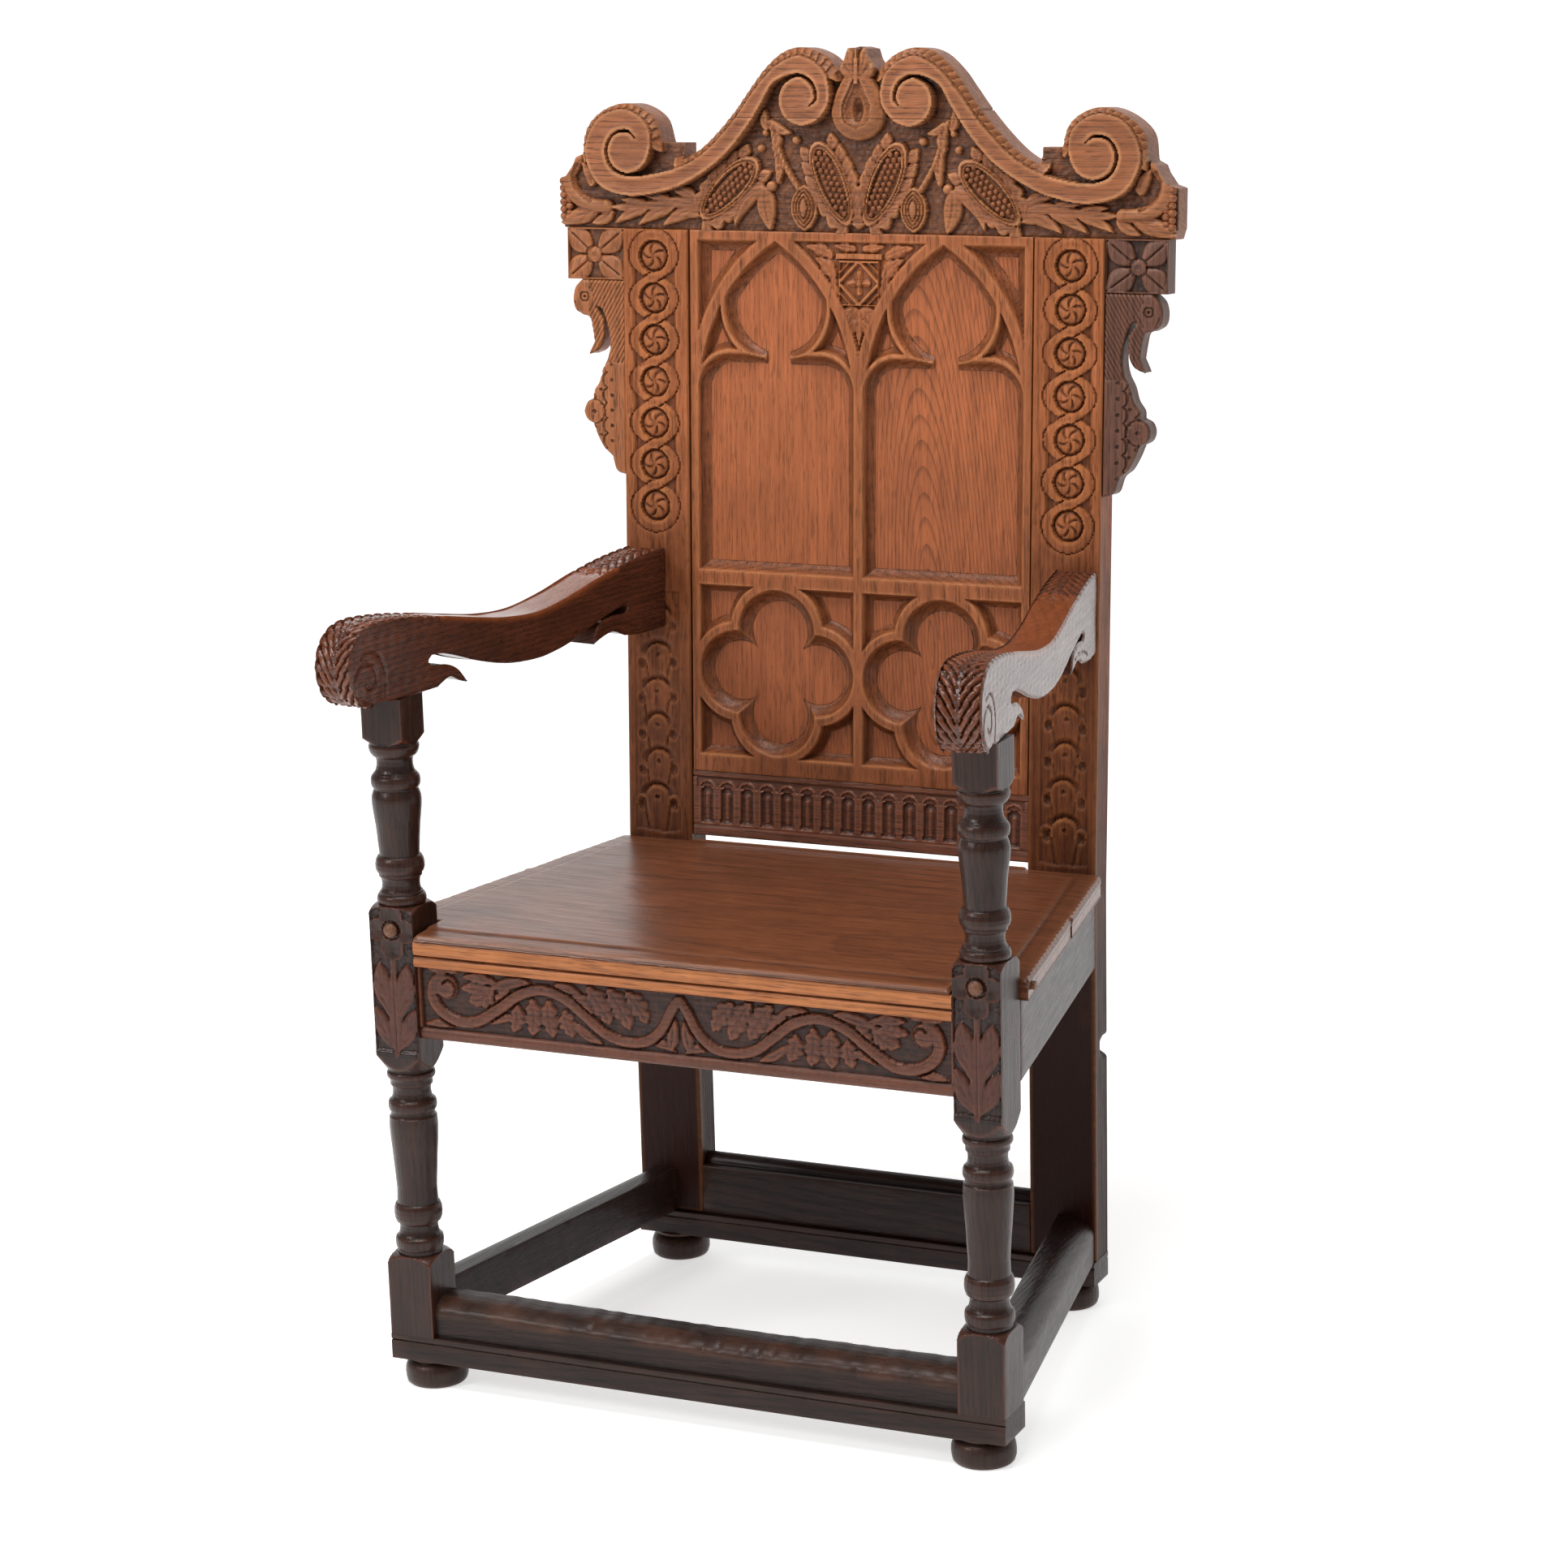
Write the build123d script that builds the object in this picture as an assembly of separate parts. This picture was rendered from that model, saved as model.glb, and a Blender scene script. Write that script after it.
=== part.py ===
from build123d import *
import math
import os

# Joined oak armchair with a raked panelled back, a scrolled crest and turned front posts.
# Construction axes: X to the viewer's right, Y from front to back, Z up from the floor.
# The finished assembly is moved so that its origin is the middle of its box on the floor.
# "Upright" pieces of the back are drawn vertical and then leaned back together.

# ------------------------------------------------------------------ driving sizes, in mm
# Plan of the frame
FRONT_WIDTH = 628.0
REAR_WIDTH = 502.0
SIDE_RUN = 412.5
FRONT_POST_WIDTH = 46.0
FRONT_POST_DEPTH = 48.0
REAR_POST_WIDTH = 70.0
REAR_POST_DEPTH = 33.0

# Heights above the floor
FOOT_HEIGHT = 28.0
PLINTH_HEIGHT = 24.8
LOWER_BLOCK_TOP = 122.0
SIDE_RAIL_BOTTOM = 356.5
FRONT_RAIL_BOTTOM = 349.0
SEAT_TOP = 453.0
SEAT_THICKNESS = 22.0
ARM_SEAT = 671.0
BACK_TOP = 1056.0
RAKE = 3.16

# Feet
FOOT_RADIUS = 30.0
FOOT_INSET = 32.0
FOOT_FRONT_Y = 28.4
SPIGOT_RADIUS = 10.0
SPIGOT_LENGTH = 12.0

# Plinths and stretchers
FRONT_PLINTH_DEPTH = 50.0
REAR_PLINTH_DEPTH = 41.0
REAR_PLINTH_LEAD = 6.5
PLINTH_GROOVE = 1.6
PLINTH_GROOVE_DROP = 5.0
STRETCHER_DEPTH = 38.0
STRETCHER_SETBACK = 6.0
SIDE_STRETCHER_SETBACK = 2.0
STRETCHER_FLAT_TOP = 80.0
STRETCHER_TOP = 98.0
STRETCHER_ROUND = 25.0
REAR_STRETCHER_DEPTH = 22.0
REAR_STRETCHER_TOP = 114.4
REAR_STRETCHER_STEP = 10.0

# Joints
TENON_LENGTH = 15.0
TENON_THICKNESS = 12.0
TENON_CLEARANCE = 0.2
POST_TENON_RADIUS = 9.0
POST_TENON_LENGTH = 10.0
ARM_SPIGOT_LENGTH = 26.0
SHADOW_GAP = 1.0

# Rails under the seat
RAIL_THICKNESS = 25.0
FRONT_RAIL_SETBACK = 4.5
RAIL_FIELD_DEPTH = 4.0
RAIL_BEAD_HEIGHT = 12.0
STRIP_BOTTOM = 420.0
STRIP_TOP = 445.0
STRIP_THICKNESS = 10.0
STRIP_LEAD = 1.0
STRIP_BEAD = 10.0

# Seat
SEAT_NOSE = 2.0
SEAT_OVERHANG = 8.0
SEAT_SPLIT = 256.0
SEAT_LAP = 5.5
SEAT_CORNER_RADIUS = 7.0
THUMBNAIL_WIDTH = 23.0
THUMBNAIL_DEPTH = 1.5
PEG_RADIUS = 4.0
PEG_LENGTH = 24.0
PEG_STANDOUT = 4.0
PEG_BEHIND_POST = 14.0

# Turned radii shared by both turned runs of a front post
NECK_RADIUS = 21.0
BEAD_RADIUS = 22.9
VASE_RADIUS = 22.9
SQUARE_REACH = 36.0
SHOULDER_RISE = 10.0
TAPER_RISE = 21.0
CUP_BLOCK = 42.0
CUP_RISE = 11.0
CUP_BLOCK_HEIGHT = 33.0
SEAT_BLOCK_FOOT = 314.0
SEAT_BLOCK_TOP = 470.0
BOSS_RADIUS = 7.0
BOSS_STANDOUT = 5.0

# Arms, drawn along their own length from the front post's middle
ARM_FRONT_INSET = 25.0
ARM_REAR_INSET = 20.6
ARM_THICKNESS = 42.0
ARM_TENON_WIDTH = 14.0
ARM_TENON_BOTTOM = 682.0
ARM_TENON_HEIGHT = 44.0

# Back: arcade rail, panels and tracery, measured as depth behind the rear posts' faces
NULLED_RAIL_BOTTOM = 455.5
NULLED_RAIL_TOP = 522.0
NULLED_RAIL_SETBACK = 3.0
NULLED_RAIL_DEPTH = 22.0
FLUTE_COUNT = 16
FLUTE_MARGIN = 5.0
FLUTE_WIDTH = 14.5
FLUTE_FOOT = 13.5
FLUTE_HEAD = 15.0
FLUTE_DEPTH = 3.0
TRACERY_SETBACK = 2.0
TRACERY_DEPTH = 11.0
TRACERY_SIDE_GAP = 2.0
PANEL_THICKNESS = 9.0
PANEL_TONGUE = 6.0
PANEL_GAP = 0.5

# Tracery of the two bays
STILE_WIDTH = 7.5
MULLION_WIDTH = 9.0
BOTTOM_RAIL_HEIGHT = 17.0
MID_RAIL_HEIGHT = 14.0
TOP_RAIL_HEIGHT = 8.5
CHAMFER = 9.0
ARCH_MARGIN = 1.5
ARCH_BAND = 10.0
SHOULDER_RISE = 5.0
CUSP_GAP = 15.5
RIDGE_WIDTH = 3.0
EYE_CHAMFER = 7.0
LOBE_MARGIN = 2.0
LOBE_BAND = 7.5
LOBE_PARTING = 0.35
ORNAMENT_RECESS = 2.5

# Crest, drawn as the viewer's left half and mirrored
CREST_OVERHANG = 70.0
CREST_LEAD = 8.0
CREST_GROUND = 7.0
POST_TOP_TENON = 28.0

# Ears on the rear posts' outer sides
EAR_DEPTH = 22.0
EAR_SETBACK = 2.0
EAR_BLOCK_WIDTH = 62.5
EAR_BLOCK_HEIGHT = 50.0
EAR_TONGUE = 6.0
EAR_TONGUE_THICKNESS = 8.0

# ------------------------------------------------------------------ sizes that follow
PLINTH_TOP = FOOT_HEIGHT + PLINTH_HEIGHT
SEAT_UNDERSIDE = SEAT_TOP - SEAT_THICKNESS
FRONT_HALF = FRONT_WIDTH / 2
REAR_HALF = REAR_WIDTH / 2
FRONT_CLEAR_HALF = FRONT_HALF - FRONT_POST_WIDTH
REAR_CLEAR_HALF = REAR_HALF - REAR_POST_WIDTH
FRONT_POST_X = FRONT_HALF - FRONT_POST_WIDTH / 2
FRONT_POST_Y = FRONT_POST_DEPTH / 2
REAR_POST_X = REAR_HALF - REAR_POST_WIDTH / 2
REAR_POST_Y = SIDE_RUN + REAR_POST_DEPTH / 2
RAKE_AXIS = Axis((0, SIDE_RUN, SEAT_UNDERSIDE), (1, 0, 0))
TENON_INSET = (RAIL_THICKNESS - TENON_THICKNESS) / 2
PANEL_FRONT = TRACERY_SETBACK + TRACERY_DEPTH
EAR_TONGUE_FRONT = EAR_SETBACK + (EAR_DEPTH - EAR_TONGUE_THICKNESS) / 2
FOOT_FRONT_X = FRONT_HALF - FOOT_INSET
FLUTE_PITCH = 2 * (REAR_CLEAR_HALF - FLUTE_MARGIN) / FLUTE_COUNT
ARM_FRONT_X = FRONT_HALF - ARM_FRONT_INSET
ARM_REAR_X = REAR_HALF - ARM_REAR_INSET
ARM_RUN = math.dist((ARM_FRONT_X, FRONT_POST_Y), (ARM_REAR_X, SIDE_RUN))

# A bay of the tracery takes half of what the stiles and the mullion leave. Its arch and
# the round head and shoulders under it keep their shares of the bay.
BAY_HALF = (REAR_CLEAR_HALF - TRACERY_SIDE_GAP - STILE_WIDTH - MULLION_WIDTH / 2) / 2
BAY_CENTRE = BAY_HALF + MULLION_WIDTH / 2
ARCH_CENTRE_OUT = 1.15 * BAY_HALF
ARCH_RADIUS = ARCH_CENTRE_OUT + BAY_HALF - ARCH_MARGIN
ARCH_RISE = math.sqrt(ARCH_RADIUS**2 - ARCH_CENTRE_OUT**2)
TOP_RAIL_BOTTOM = BACK_TOP - TOP_RAIL_HEIGHT
ARCH_SPRING = TOP_RAIL_BOTTOM - ARCH_RISE
HEAD_CENTRE = ARCH_SPRING + 0.58 * ARCH_RISE
HEAD_RADIUS = 0.66 * BAY_HALF
SHOULDER_CENTRE = ARCH_SPRING + SHOULDER_RISE
SHOULDER_RADIUS = 0.43 * BAY_HALF

# A quatrefoil fills its square, and the mid rail stands on that square. Neighbouring
# lobes run into each other at the front and just part at the back.
LOBE_RADIUS = BAY_HALF / 2
LOBE_CHAMFER = LOBE_RADIUS * (1 - math.sqrt(0.5)) + LOBE_PARTING
QUATREFOIL_HUB = 0.6 * LOBE_RADIUS
BOTTOM_RAIL_TOP = NULLED_RAIL_TOP + BOTTOM_RAIL_HEIGHT
MID_RAIL_BOTTOM = BOTTOM_RAIL_TOP + 4 * LOBE_RADIUS + 2 * LOBE_MARGIN
MID_RAIL_TOP = MID_RAIL_BOTTOM + MID_RAIL_HEIGHT

# Drawn outlines and the real size that each is brought to
ARM_SCALE = ARM_RUN / 393
CREST_SCALE = (REAR_HALF + CREST_OVERHANG) / 321
EAR_SCALE = EAR_BLOCK_WIDTH / 62.5
BIRD_TOP = BACK_TOP - EAR_BLOCK_HEIGHT
BIRD_FOOT = BIRD_TOP - 191.5 * EAR_SCALE
CREST_SEAM = BACK_TOP + 108 * CREST_SCALE
CREST_SEAM_HALF = 125 * CREST_SCALE


# ------------------------------------------------------------------ general helpers
def slab(x_range, y_range, z_range):
    """Rectangular block between two limits along each axis."""
    ranges = (x_range, y_range, z_range)
    lengths = [high - low for low, high in ranges]
    middles = [(high + low) / 2 for low, high in ranges]
    return Pos(*middles) * Box(*lengths)


def grown(limits, amount):
    """A range widened by the same amount at both ends."""
    return (limits[0] - amount, limits[1] + amount)


def mirrored(shape):
    """The same piece on the other side of the chair's middle plane."""
    return mirror(shape, about=Plane.YZ)


def raked(shape):
    """Lean an upright piece of the back to the posts' slope."""
    return shape.rotate(RAKE_AXIS, -RAKE)


def upright_face(face, depth):
    """Place an outline drawn as (x, height) at a depth behind the rear posts' faces."""
    plane = Plane(origin=(0, SIDE_RUN + depth, 0), x_dir=(1, 0, 0), z_dir=(0, -1, 0))
    return plane * face


def upright_solid(face, front, back):
    """Solid between two depths behind the rear posts' faces, from an (x, height) outline."""
    return extrude(upright_face(face, back), amount=back - front)


def upright_slab(x_range, depth_range, z_range):
    """Block of the back, given by x, depth behind the rear posts' faces and height."""
    return slab(x_range, (SIDE_RUN + depth_range[0], SIDE_RUN + depth_range[1]), z_range)


def arc_about(centre, start, end, turn):
    """Arc about a centre, anticlockwise where turn is 1 and clockwise where it is -1."""
    radius = math.dist(centre, start)
    first = math.atan2(start[1] - centre[1], start[0] - centre[0])
    last = math.atan2(end[1] - centre[1], end[0] - centre[0])
    sweep = (turn * (last - first)) % math.tau
    middle = first + turn * sweep / 2
    crown = (centre[0] + radius * math.cos(middle), centre[1] + radius * math.sin(middle))
    return ThreePointArc(start, crown, end)


def circles_meet(centre_a, radius_a, centre_b, radius_b, side):
    """Where two circles cross: side 1 is left of the way from a to b, side -1 right of it."""
    span = math.dist(centre_a, centre_b)
    ux = (centre_b[0] - centre_a[0]) / span
    uy = (centre_b[1] - centre_a[1]) / span
    along = (radius_a**2 - radius_b**2 + span**2) / (2 * span)
    across = side * math.sqrt(radius_a**2 - along**2)
    return (centre_a[0] + along * ux - across * uy, centre_a[1] + along * uy + across * ux)


def flipped(point):
    """The mirror image of an (x, height) point."""
    return (-point[0], point[1])


def polar(centre, radius, degrees):
    """Point at a distance and direction from a centre."""
    angle = math.radians(degrees)
    return (centre[0] + radius * math.cos(angle), centre[1] + radius * math.sin(angle))


def scaled(points, size):
    """Points of a drawing brought to real size."""
    return [(across * size, up * size) for across, up in points]


# ------------------------------------------------------------------ feet and plinths
def foot(x, y, height):
    """Turned bun foot with a spigot that goes up into a plinth."""
    waist = FOOT_RADIUS - 7
    rim = FOOT_RADIUS - 4
    base = FOOT_RADIUS - 5
    belly = ThreePointArc((base, 0), (FOOT_RADIUS, height * 0.4), (base, height * 0.78))
    outline = Polyline(
        (base, height * 0.78),
        (waist, height * 0.84),
        (rim, height * 0.9),
        (rim, height),
        (SPIGOT_RADIUS, height),
        (SPIGOT_RADIUS, height + SPIGOT_LENGTH),
        (0, height + SPIGOT_LENGTH),
        (0, 0),
        (base, 0),
    )
    section = Plane.XZ * make_face([belly, outline])
    return Pos(x, y, 0) * revolve(section, Axis.Z)


def round_socket(x, y, z_range, radius):
    """Round hole for a spigot, with clearance."""
    depth = z_range[1] - z_range[0]
    return Pos(x, y, sum(z_range) / 2) * Cylinder(radius + TENON_CLEARANCE, depth)


def plinth(half_width, y_range, foot_place, post_place, groove_faces):
    """Flat board under a pair of posts, with a scored line near its top edge."""
    body = slab((-half_width, half_width), y_range, (FOOT_HEIGHT, PLINTH_TOP))
    groove_top = PLINTH_TOP - PLINTH_GROOVE_DROP
    groove = (groove_top - PLINTH_GROOVE, groove_top)
    beyond = grown((-half_width, half_width), 1)
    for face_y in groove_faces:
        body -= slab(beyond, grown((face_y, face_y), PLINTH_GROOVE), groove)
    spigot_hole = (FOOT_HEIGHT, FOOT_HEIGHT + SPIGOT_LENGTH + TENON_CLEARANCE)
    tenon_hole = (PLINTH_TOP - POST_TENON_LENGTH - TENON_CLEARANCE, PLINTH_TOP)
    for side in (-1, 1):
        body -= round_socket(side * foot_place[0], foot_place[1], spigot_hole, SPIGOT_RADIUS)
        body -= round_socket(side * post_place[0], post_place[1], tenon_hole, POST_TENON_RADIUS)
    return body


# ------------------------------------------------------------------ stretchers and rails
def member_plane(start, end):
    """Plane across a member: first direction inwards, second up, normal along the member."""
    run = Vector(end[0] - start[0], end[1] - start[1], 0).normalized()
    inward = Vector(-run.Y, run.X, 0)
    return Plane(origin=(start[0], start[1], 0), x_dir=inward, z_dir=run)


def cross_member(section, y_front, half_length):
    """Member between the two sides, its outer face at y_front and its section drawn inwards."""
    plane = Plane(origin=(-half_length, y_front, 0), x_dir=(0, 1, 0), z_dir=(1, 0, 0))
    return extrude(plane * section, amount=2 * half_length)


def side_member(section, setback):
    """Member along the right side, between the front post's back and the rear post's face."""
    start = (FRONT_HALF - setback, FRONT_POST_DEPTH)
    end = (REAR_HALF - setback, SIDE_RUN)
    length = math.dist(start, end)
    spare = STRETCHER_DEPTH
    plane = member_plane(start, end)
    long_bar = extrude(plane.offset(-spare) * section, amount=length + 2 * spare)
    room = slab((0, FRONT_WIDTH), (FRONT_POST_DEPTH, SIDE_RUN), (0, BACK_TOP))
    return long_bar & room


def stretcher_section():
    """Flat outer face with a quarter-ellipse rounding to the flat top."""
    rounding = EllipticalCenterArc(
        (STRETCHER_ROUND, STRETCHER_FLAT_TOP),
        STRETCHER_ROUND,
        STRETCHER_TOP - STRETCHER_FLAT_TOP,
        start_angle=90,
        arc_size=90,
    )
    rest = Polyline(
        (0, STRETCHER_FLAT_TOP),
        (0, PLINTH_TOP),
        (STRETCHER_DEPTH, PLINTH_TOP),
        (STRETCHER_DEPTH, STRETCHER_TOP),
        (STRETCHER_ROUND, STRETCHER_TOP),
    )
    return make_face([rounding, rest])


def rear_stretcher_section():
    """Tall board with a stepped and rounded top."""
    step = REAR_STRETCHER_STEP
    cap = ThreePointArc(
        (step, REAR_STRETCHER_TOP - step),
        (step * 1.3, REAR_STRETCHER_TOP - step * 0.3),
        (step * 2, REAR_STRETCHER_TOP),
    )
    rest = Polyline(
        (step * 2, REAR_STRETCHER_TOP),
        (REAR_STRETCHER_DEPTH, REAR_STRETCHER_TOP),
        (REAR_STRETCHER_DEPTH, PLINTH_TOP),
        (0, PLINTH_TOP),
        (0, REAR_STRETCHER_TOP - step),
        (step, REAR_STRETCHER_TOP - step),
    )
    return make_face([cap, rest])


def tenon_height(z_low, z_high):
    """Height range of a tenon, shouldered above and below."""
    shoulder = (z_high - z_low) / 5
    return (z_low + shoulder, z_high - shoulder)


def cross_tenons(clear_half, y_low, z_range, spare):
    """Tenons at both ends of a member that runs across; spare grows them into mortises."""
    tongue = slab(
        (clear_half, clear_half + TENON_LENGTH + spare),
        grown((y_low, y_low + TENON_THICKNESS), spare),
        grown(z_range, spare),
    )
    return tongue + mirrored(tongue)


def side_tenons(front_x, rear_x, z_range, spare):
    """Tenons of a right side member into the front and rear posts."""
    front = slab(
        grown((front_x, front_x + TENON_THICKNESS), spare),
        (FRONT_POST_DEPTH - TENON_LENGTH - spare, FRONT_POST_DEPTH),
        grown(z_range, spare),
    )
    rear = slab(
        grown((rear_x, rear_x + TENON_THICKNESS), spare),
        (SIDE_RUN, SIDE_RUN + TENON_LENGTH + spare),
        grown(z_range, spare),
    )
    return front + rear


def side_tenon_places(setback, thickness):
    """Where a side member's tenons start in x, centred in its thickness at each end."""
    middle = setback + (thickness + TENON_THICKNESS) / 2
    return (FRONT_HALF - middle, REAR_HALF - middle)


def front_stretcher_tenons(spare):
    height = tenon_height(PLINTH_TOP, STRETCHER_FLAT_TOP)
    return cross_tenons(FRONT_CLEAR_HALF, STRETCHER_SETBACK + TENON_INSET, height, spare)


def rear_stretcher_tenons(spare):
    height = tenon_height(PLINTH_TOP, REAR_STRETCHER_TOP)
    y_low = SIDE_RUN + REAR_STRETCHER_STEP
    tongue_room = REAR_STRETCHER_DEPTH - REAR_STRETCHER_STEP
    y_low += (tongue_room - TENON_THICKNESS) / 2
    return cross_tenons(REAR_CLEAR_HALF, y_low, height, spare)


def side_stretcher_tenons(spare):
    height = tenon_height(PLINTH_TOP, STRETCHER_FLAT_TOP)
    front_x, rear_x = side_tenon_places(SIDE_STRETCHER_SETBACK, STRETCHER_DEPTH)
    front_x += (FRONT_POST_WIDTH - STRETCHER_DEPTH) / 2
    return side_tenons(front_x, rear_x, height, spare)


def front_rail_tenons(spare):
    height = tenon_height(FRONT_RAIL_BOTTOM, STRIP_BOTTOM)
    return cross_tenons(FRONT_CLEAR_HALF, FRONT_RAIL_SETBACK + TENON_INSET, height, spare)


def rear_rail_tenons(spare):
    height = tenon_height(SIDE_RAIL_BOTTOM, SEAT_UNDERSIDE)
    return cross_tenons(REAR_CLEAR_HALF, SIDE_RUN + TENON_INSET, height, spare)


def side_rail_tenons(spare):
    height = tenon_height(SIDE_RAIL_BOTTOM, SEAT_UNDERSIDE)
    front_x, rear_x = side_tenon_places(0, RAIL_THICKNESS)
    return side_tenons(front_x, rear_x, height, spare)


def rectangle_section(thickness, z_low, z_high):
    return make_face(
        Polyline((0, z_low), (thickness, z_low), (thickness, z_high), (0, z_high), close=True)
    )


def front_seat_rail():
    """Rail with a sunk field for the carved vine and a rebate for the reeded strip."""
    section = rectangle_section(RAIL_THICKNESS, FRONT_RAIL_BOTTOM, SEAT_UNDERSIDE)
    rail = cross_member(section, FRONT_RAIL_SETBACK, FRONT_CLEAR_HALF)
    width = grown((-FRONT_CLEAR_HALF, FRONT_CLEAR_HALF), 1)
    strip_back = STRIP_THICKNESS - STRIP_LEAD
    rail -= slab(width, (0, strip_back), (STRIP_BOTTOM, SEAT_UNDERSIDE))
    field = (FRONT_RAIL_BOTTOM + RAIL_BEAD_HEIGHT, STRIP_BOTTOM)
    field_half = FRONT_CLEAR_HALF - RAIL_BEAD_HEIGHT
    rail -= slab((-field_half, field_half), (0, FRONT_RAIL_SETBACK + RAIL_FIELD_DEPTH), field)
    return rail + front_rail_tenons(0)


def front_seat_moulding():
    """Reeded strip in the rebate under the seat's nose."""
    half = FRONT_CLEAR_HALF - SHADOW_GAP / 2
    strip_range = (-STRIP_LEAD, STRIP_THICKNESS - STRIP_LEAD)
    strip = slab((-half, half), strip_range, (STRIP_BOTTOM, STRIP_TOP))
    bead_top = STRIP_BOTTOM + STRIP_BEAD
    quirk_height = (bead_top, bead_top + STRIP_LEAD)
    strip -= slab(grown((-half, half), 1), (-2 * STRIP_LEAD, STRIP_LEAD), quirk_height)
    front_edges = strip.edges().filter_by(Axis.X).group_by(Axis.Y)[0]
    return fillet(front_edges, STRIP_LEAD * 0.6)


def side_seat_rail():
    section = rectangle_section(RAIL_THICKNESS, SIDE_RAIL_BOTTOM, SEAT_UNDERSIDE)
    return side_member(section, 0) + side_rail_tenons(0)


def rear_seat_rail():
    section = rectangle_section(RAIL_THICKNESS, SIDE_RAIL_BOTTOM, SEAT_UNDERSIDE)
    return cross_member(section, SIDE_RUN, REAR_CLEAR_HALF) + rear_rail_tenons(0)


# ------------------------------------------------------------------ seat
def side_line(y, out):
    """x of the right side's outer line at depth y, moved outwards by out."""
    slope = (REAR_HALF - FRONT_HALF) / (SIDE_RUN - FRONT_POST_DEPTH)
    return FRONT_HALF + out + slope * (y - FRONT_POST_DEPTH)


def seat_outline(inset):
    """Right half of the whole seat's plan, moved in from its moulded edges by inset."""
    nose = -SEAT_NOSE + inset
    notch_x = FRONT_CLEAR_HALF - SHADOW_GAP
    notch_y = FRONT_POST_DEPTH + SHADOW_GAP
    out = SEAT_OVERHANG - inset
    back = SIDE_RUN - inset
    return Polyline(
        (0, nose),
        (notch_x - inset, nose),
        (notch_x - inset, notch_y + inset),
        (side_line(notch_y + inset, out), notch_y + inset),
        (side_line(back, out), back),
        (0, back),
        close=True,
    )


def whole_seat():
    """The seat as one board: rounded edges and a sunk line inside them."""
    half = extrude(make_face(seat_outline(0)), amount=SEAT_THICKNESS)
    uprights = half.edges().filter_by(Axis.Z)
    corner = uprights.sort_by(lambda edge: edge.center().X + edge.center().Y)[-1]
    half = fillet(corner, SEAT_CORNER_RADIUS)
    board = Pos(0, 0, SEAT_UNDERSIDE) * (half + mirrored(half))
    raised = make_face(seat_outline(THUMBNAIL_WIDTH))
    raised = Pos(0, 0, SEAT_TOP) * extrude(raised + mirrored(raised), amount=-THUMBNAIL_DEPTH)
    top_layer = slab(
        (-FRONT_WIDTH, FRONT_WIDTH),
        (-SIDE_RUN, 2 * SIDE_RUN),
        (SEAT_TOP - THUMBNAIL_DEPTH, SEAT_TOP),
    )
    board -= top_layer - raised
    lap = slab(
        (-REAR_CLEAR_HALF + SHADOW_GAP, REAR_CLEAR_HALF - SHADOW_GAP),
        (SIDE_RUN - SEAT_CORNER_RADIUS, SIDE_RUN + SEAT_LAP),
        (SEAT_UNDERSIDE, SEAT_TOP - THUMBNAIL_DEPTH),
    )
    return board + lap


def seat_boards():
    """Front and rear boards, split across the grain line, with the front strip's rebate."""
    board = whole_seat()
    far = (-FRONT_WIDTH, FRONT_WIDTH)
    height = grown((SEAT_UNDERSIDE, SEAT_TOP), 1)
    rebate_back = STRIP_THICKNESS - STRIP_LEAD
    rebate = slab(far, (-SIDE_RUN, rebate_back), (SEAT_UNDERSIDE, STRIP_TOP))
    peg_holes = seat_peg(TENON_CLEARANCE) + mirrored(seat_peg(TENON_CLEARANCE))
    front = board & slab(far, (-SIDE_RUN, SEAT_SPLIT), height)
    front = front - rebate - peg_holes
    rear = board & slab(far, (SEAT_SPLIT, 2 * SIDE_RUN), height)
    return front, rear


def seat_peg(spare):
    """Round peg driven into the right edge of the seat behind the front post."""
    y = FRONT_POST_DEPTH + PEG_BEHIND_POST
    outer = side_line(y, SEAT_OVERHANG) + PEG_STANDOUT
    middle = (outer - PEG_LENGTH / 2, y, SEAT_UNDERSIDE + SEAT_THICKNESS / 2)
    return Pos(*middle) * Rot(0, 90, 0) * Cylinder(PEG_RADIUS + spare, PEG_LENGTH + 2 * spare)


# ------------------------------------------------------------------ turned front posts
# Each step of a turning: rise, end radius, and the radius half way up for a curved step.
LOWER_FOOT_STEPS = (
    (3.7, NECK_RADIUS, None),
    (12.7, NECK_RADIUS + 0.5, BEAD_RADIUS),
    (13.8, 19.5, 18.2),
    (19.6, 19.5, BEAD_RADIUS),
    (14.7, 19.0, None),
)
LOWER_HEAD_STEPS = (
    (5.6, NECK_RADIUS, 20.8),
    (11.0, NECK_RADIUS, BEAD_RADIUS),
    (15.0, 20.0, 17.9),
    (4.0, 20.0, None),
    (2.5, NECK_RADIUS, None),
    (7.1, NECK_RADIUS, BEAD_RADIUS),
    (1.4, NECK_RADIUS + 0.5, None),
)
UPPER_FOOT_STEPS = (
    (9.6, 20.0, BEAD_RADIUS),
    (1.4, 20.0, None),
    (15.0, 20.0, 17.5),
    (3.0, 20.0, None),
    (17.0, 18.6, BEAD_RADIUS),
    (1.0, 18.6, None),
)
UPPER_HEAD_STEPS = (
    (1.3, NECK_RADIUS, None),
    (11.6, NECK_RADIUS, BEAD_RADIUS),
    (1.8, 20.0, None),
    (15.9, 18.5, 16.7),
    (11.7, 22.0, BEAD_RADIUS),
    (1.0, 22.0, None),
)
LOWER_VASE_TOP = 22.3
UPPER_VASE_TOP = 20.5


def turning_edges(radius, z, steps):
    """Edges of a turned outline built upwards from a radius and height."""
    edges = []
    for rise, end_radius, middle_radius in steps:
        start = (radius, z)
        end = (end_radius, z + rise)
        if middle_radius is None:
            edges.append(Line(start, end))
        else:
            edges.append(ThreePointArc(start, (middle_radius, z + rise / 2), end))
        radius, z = end
    return edges, radius, z


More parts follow.
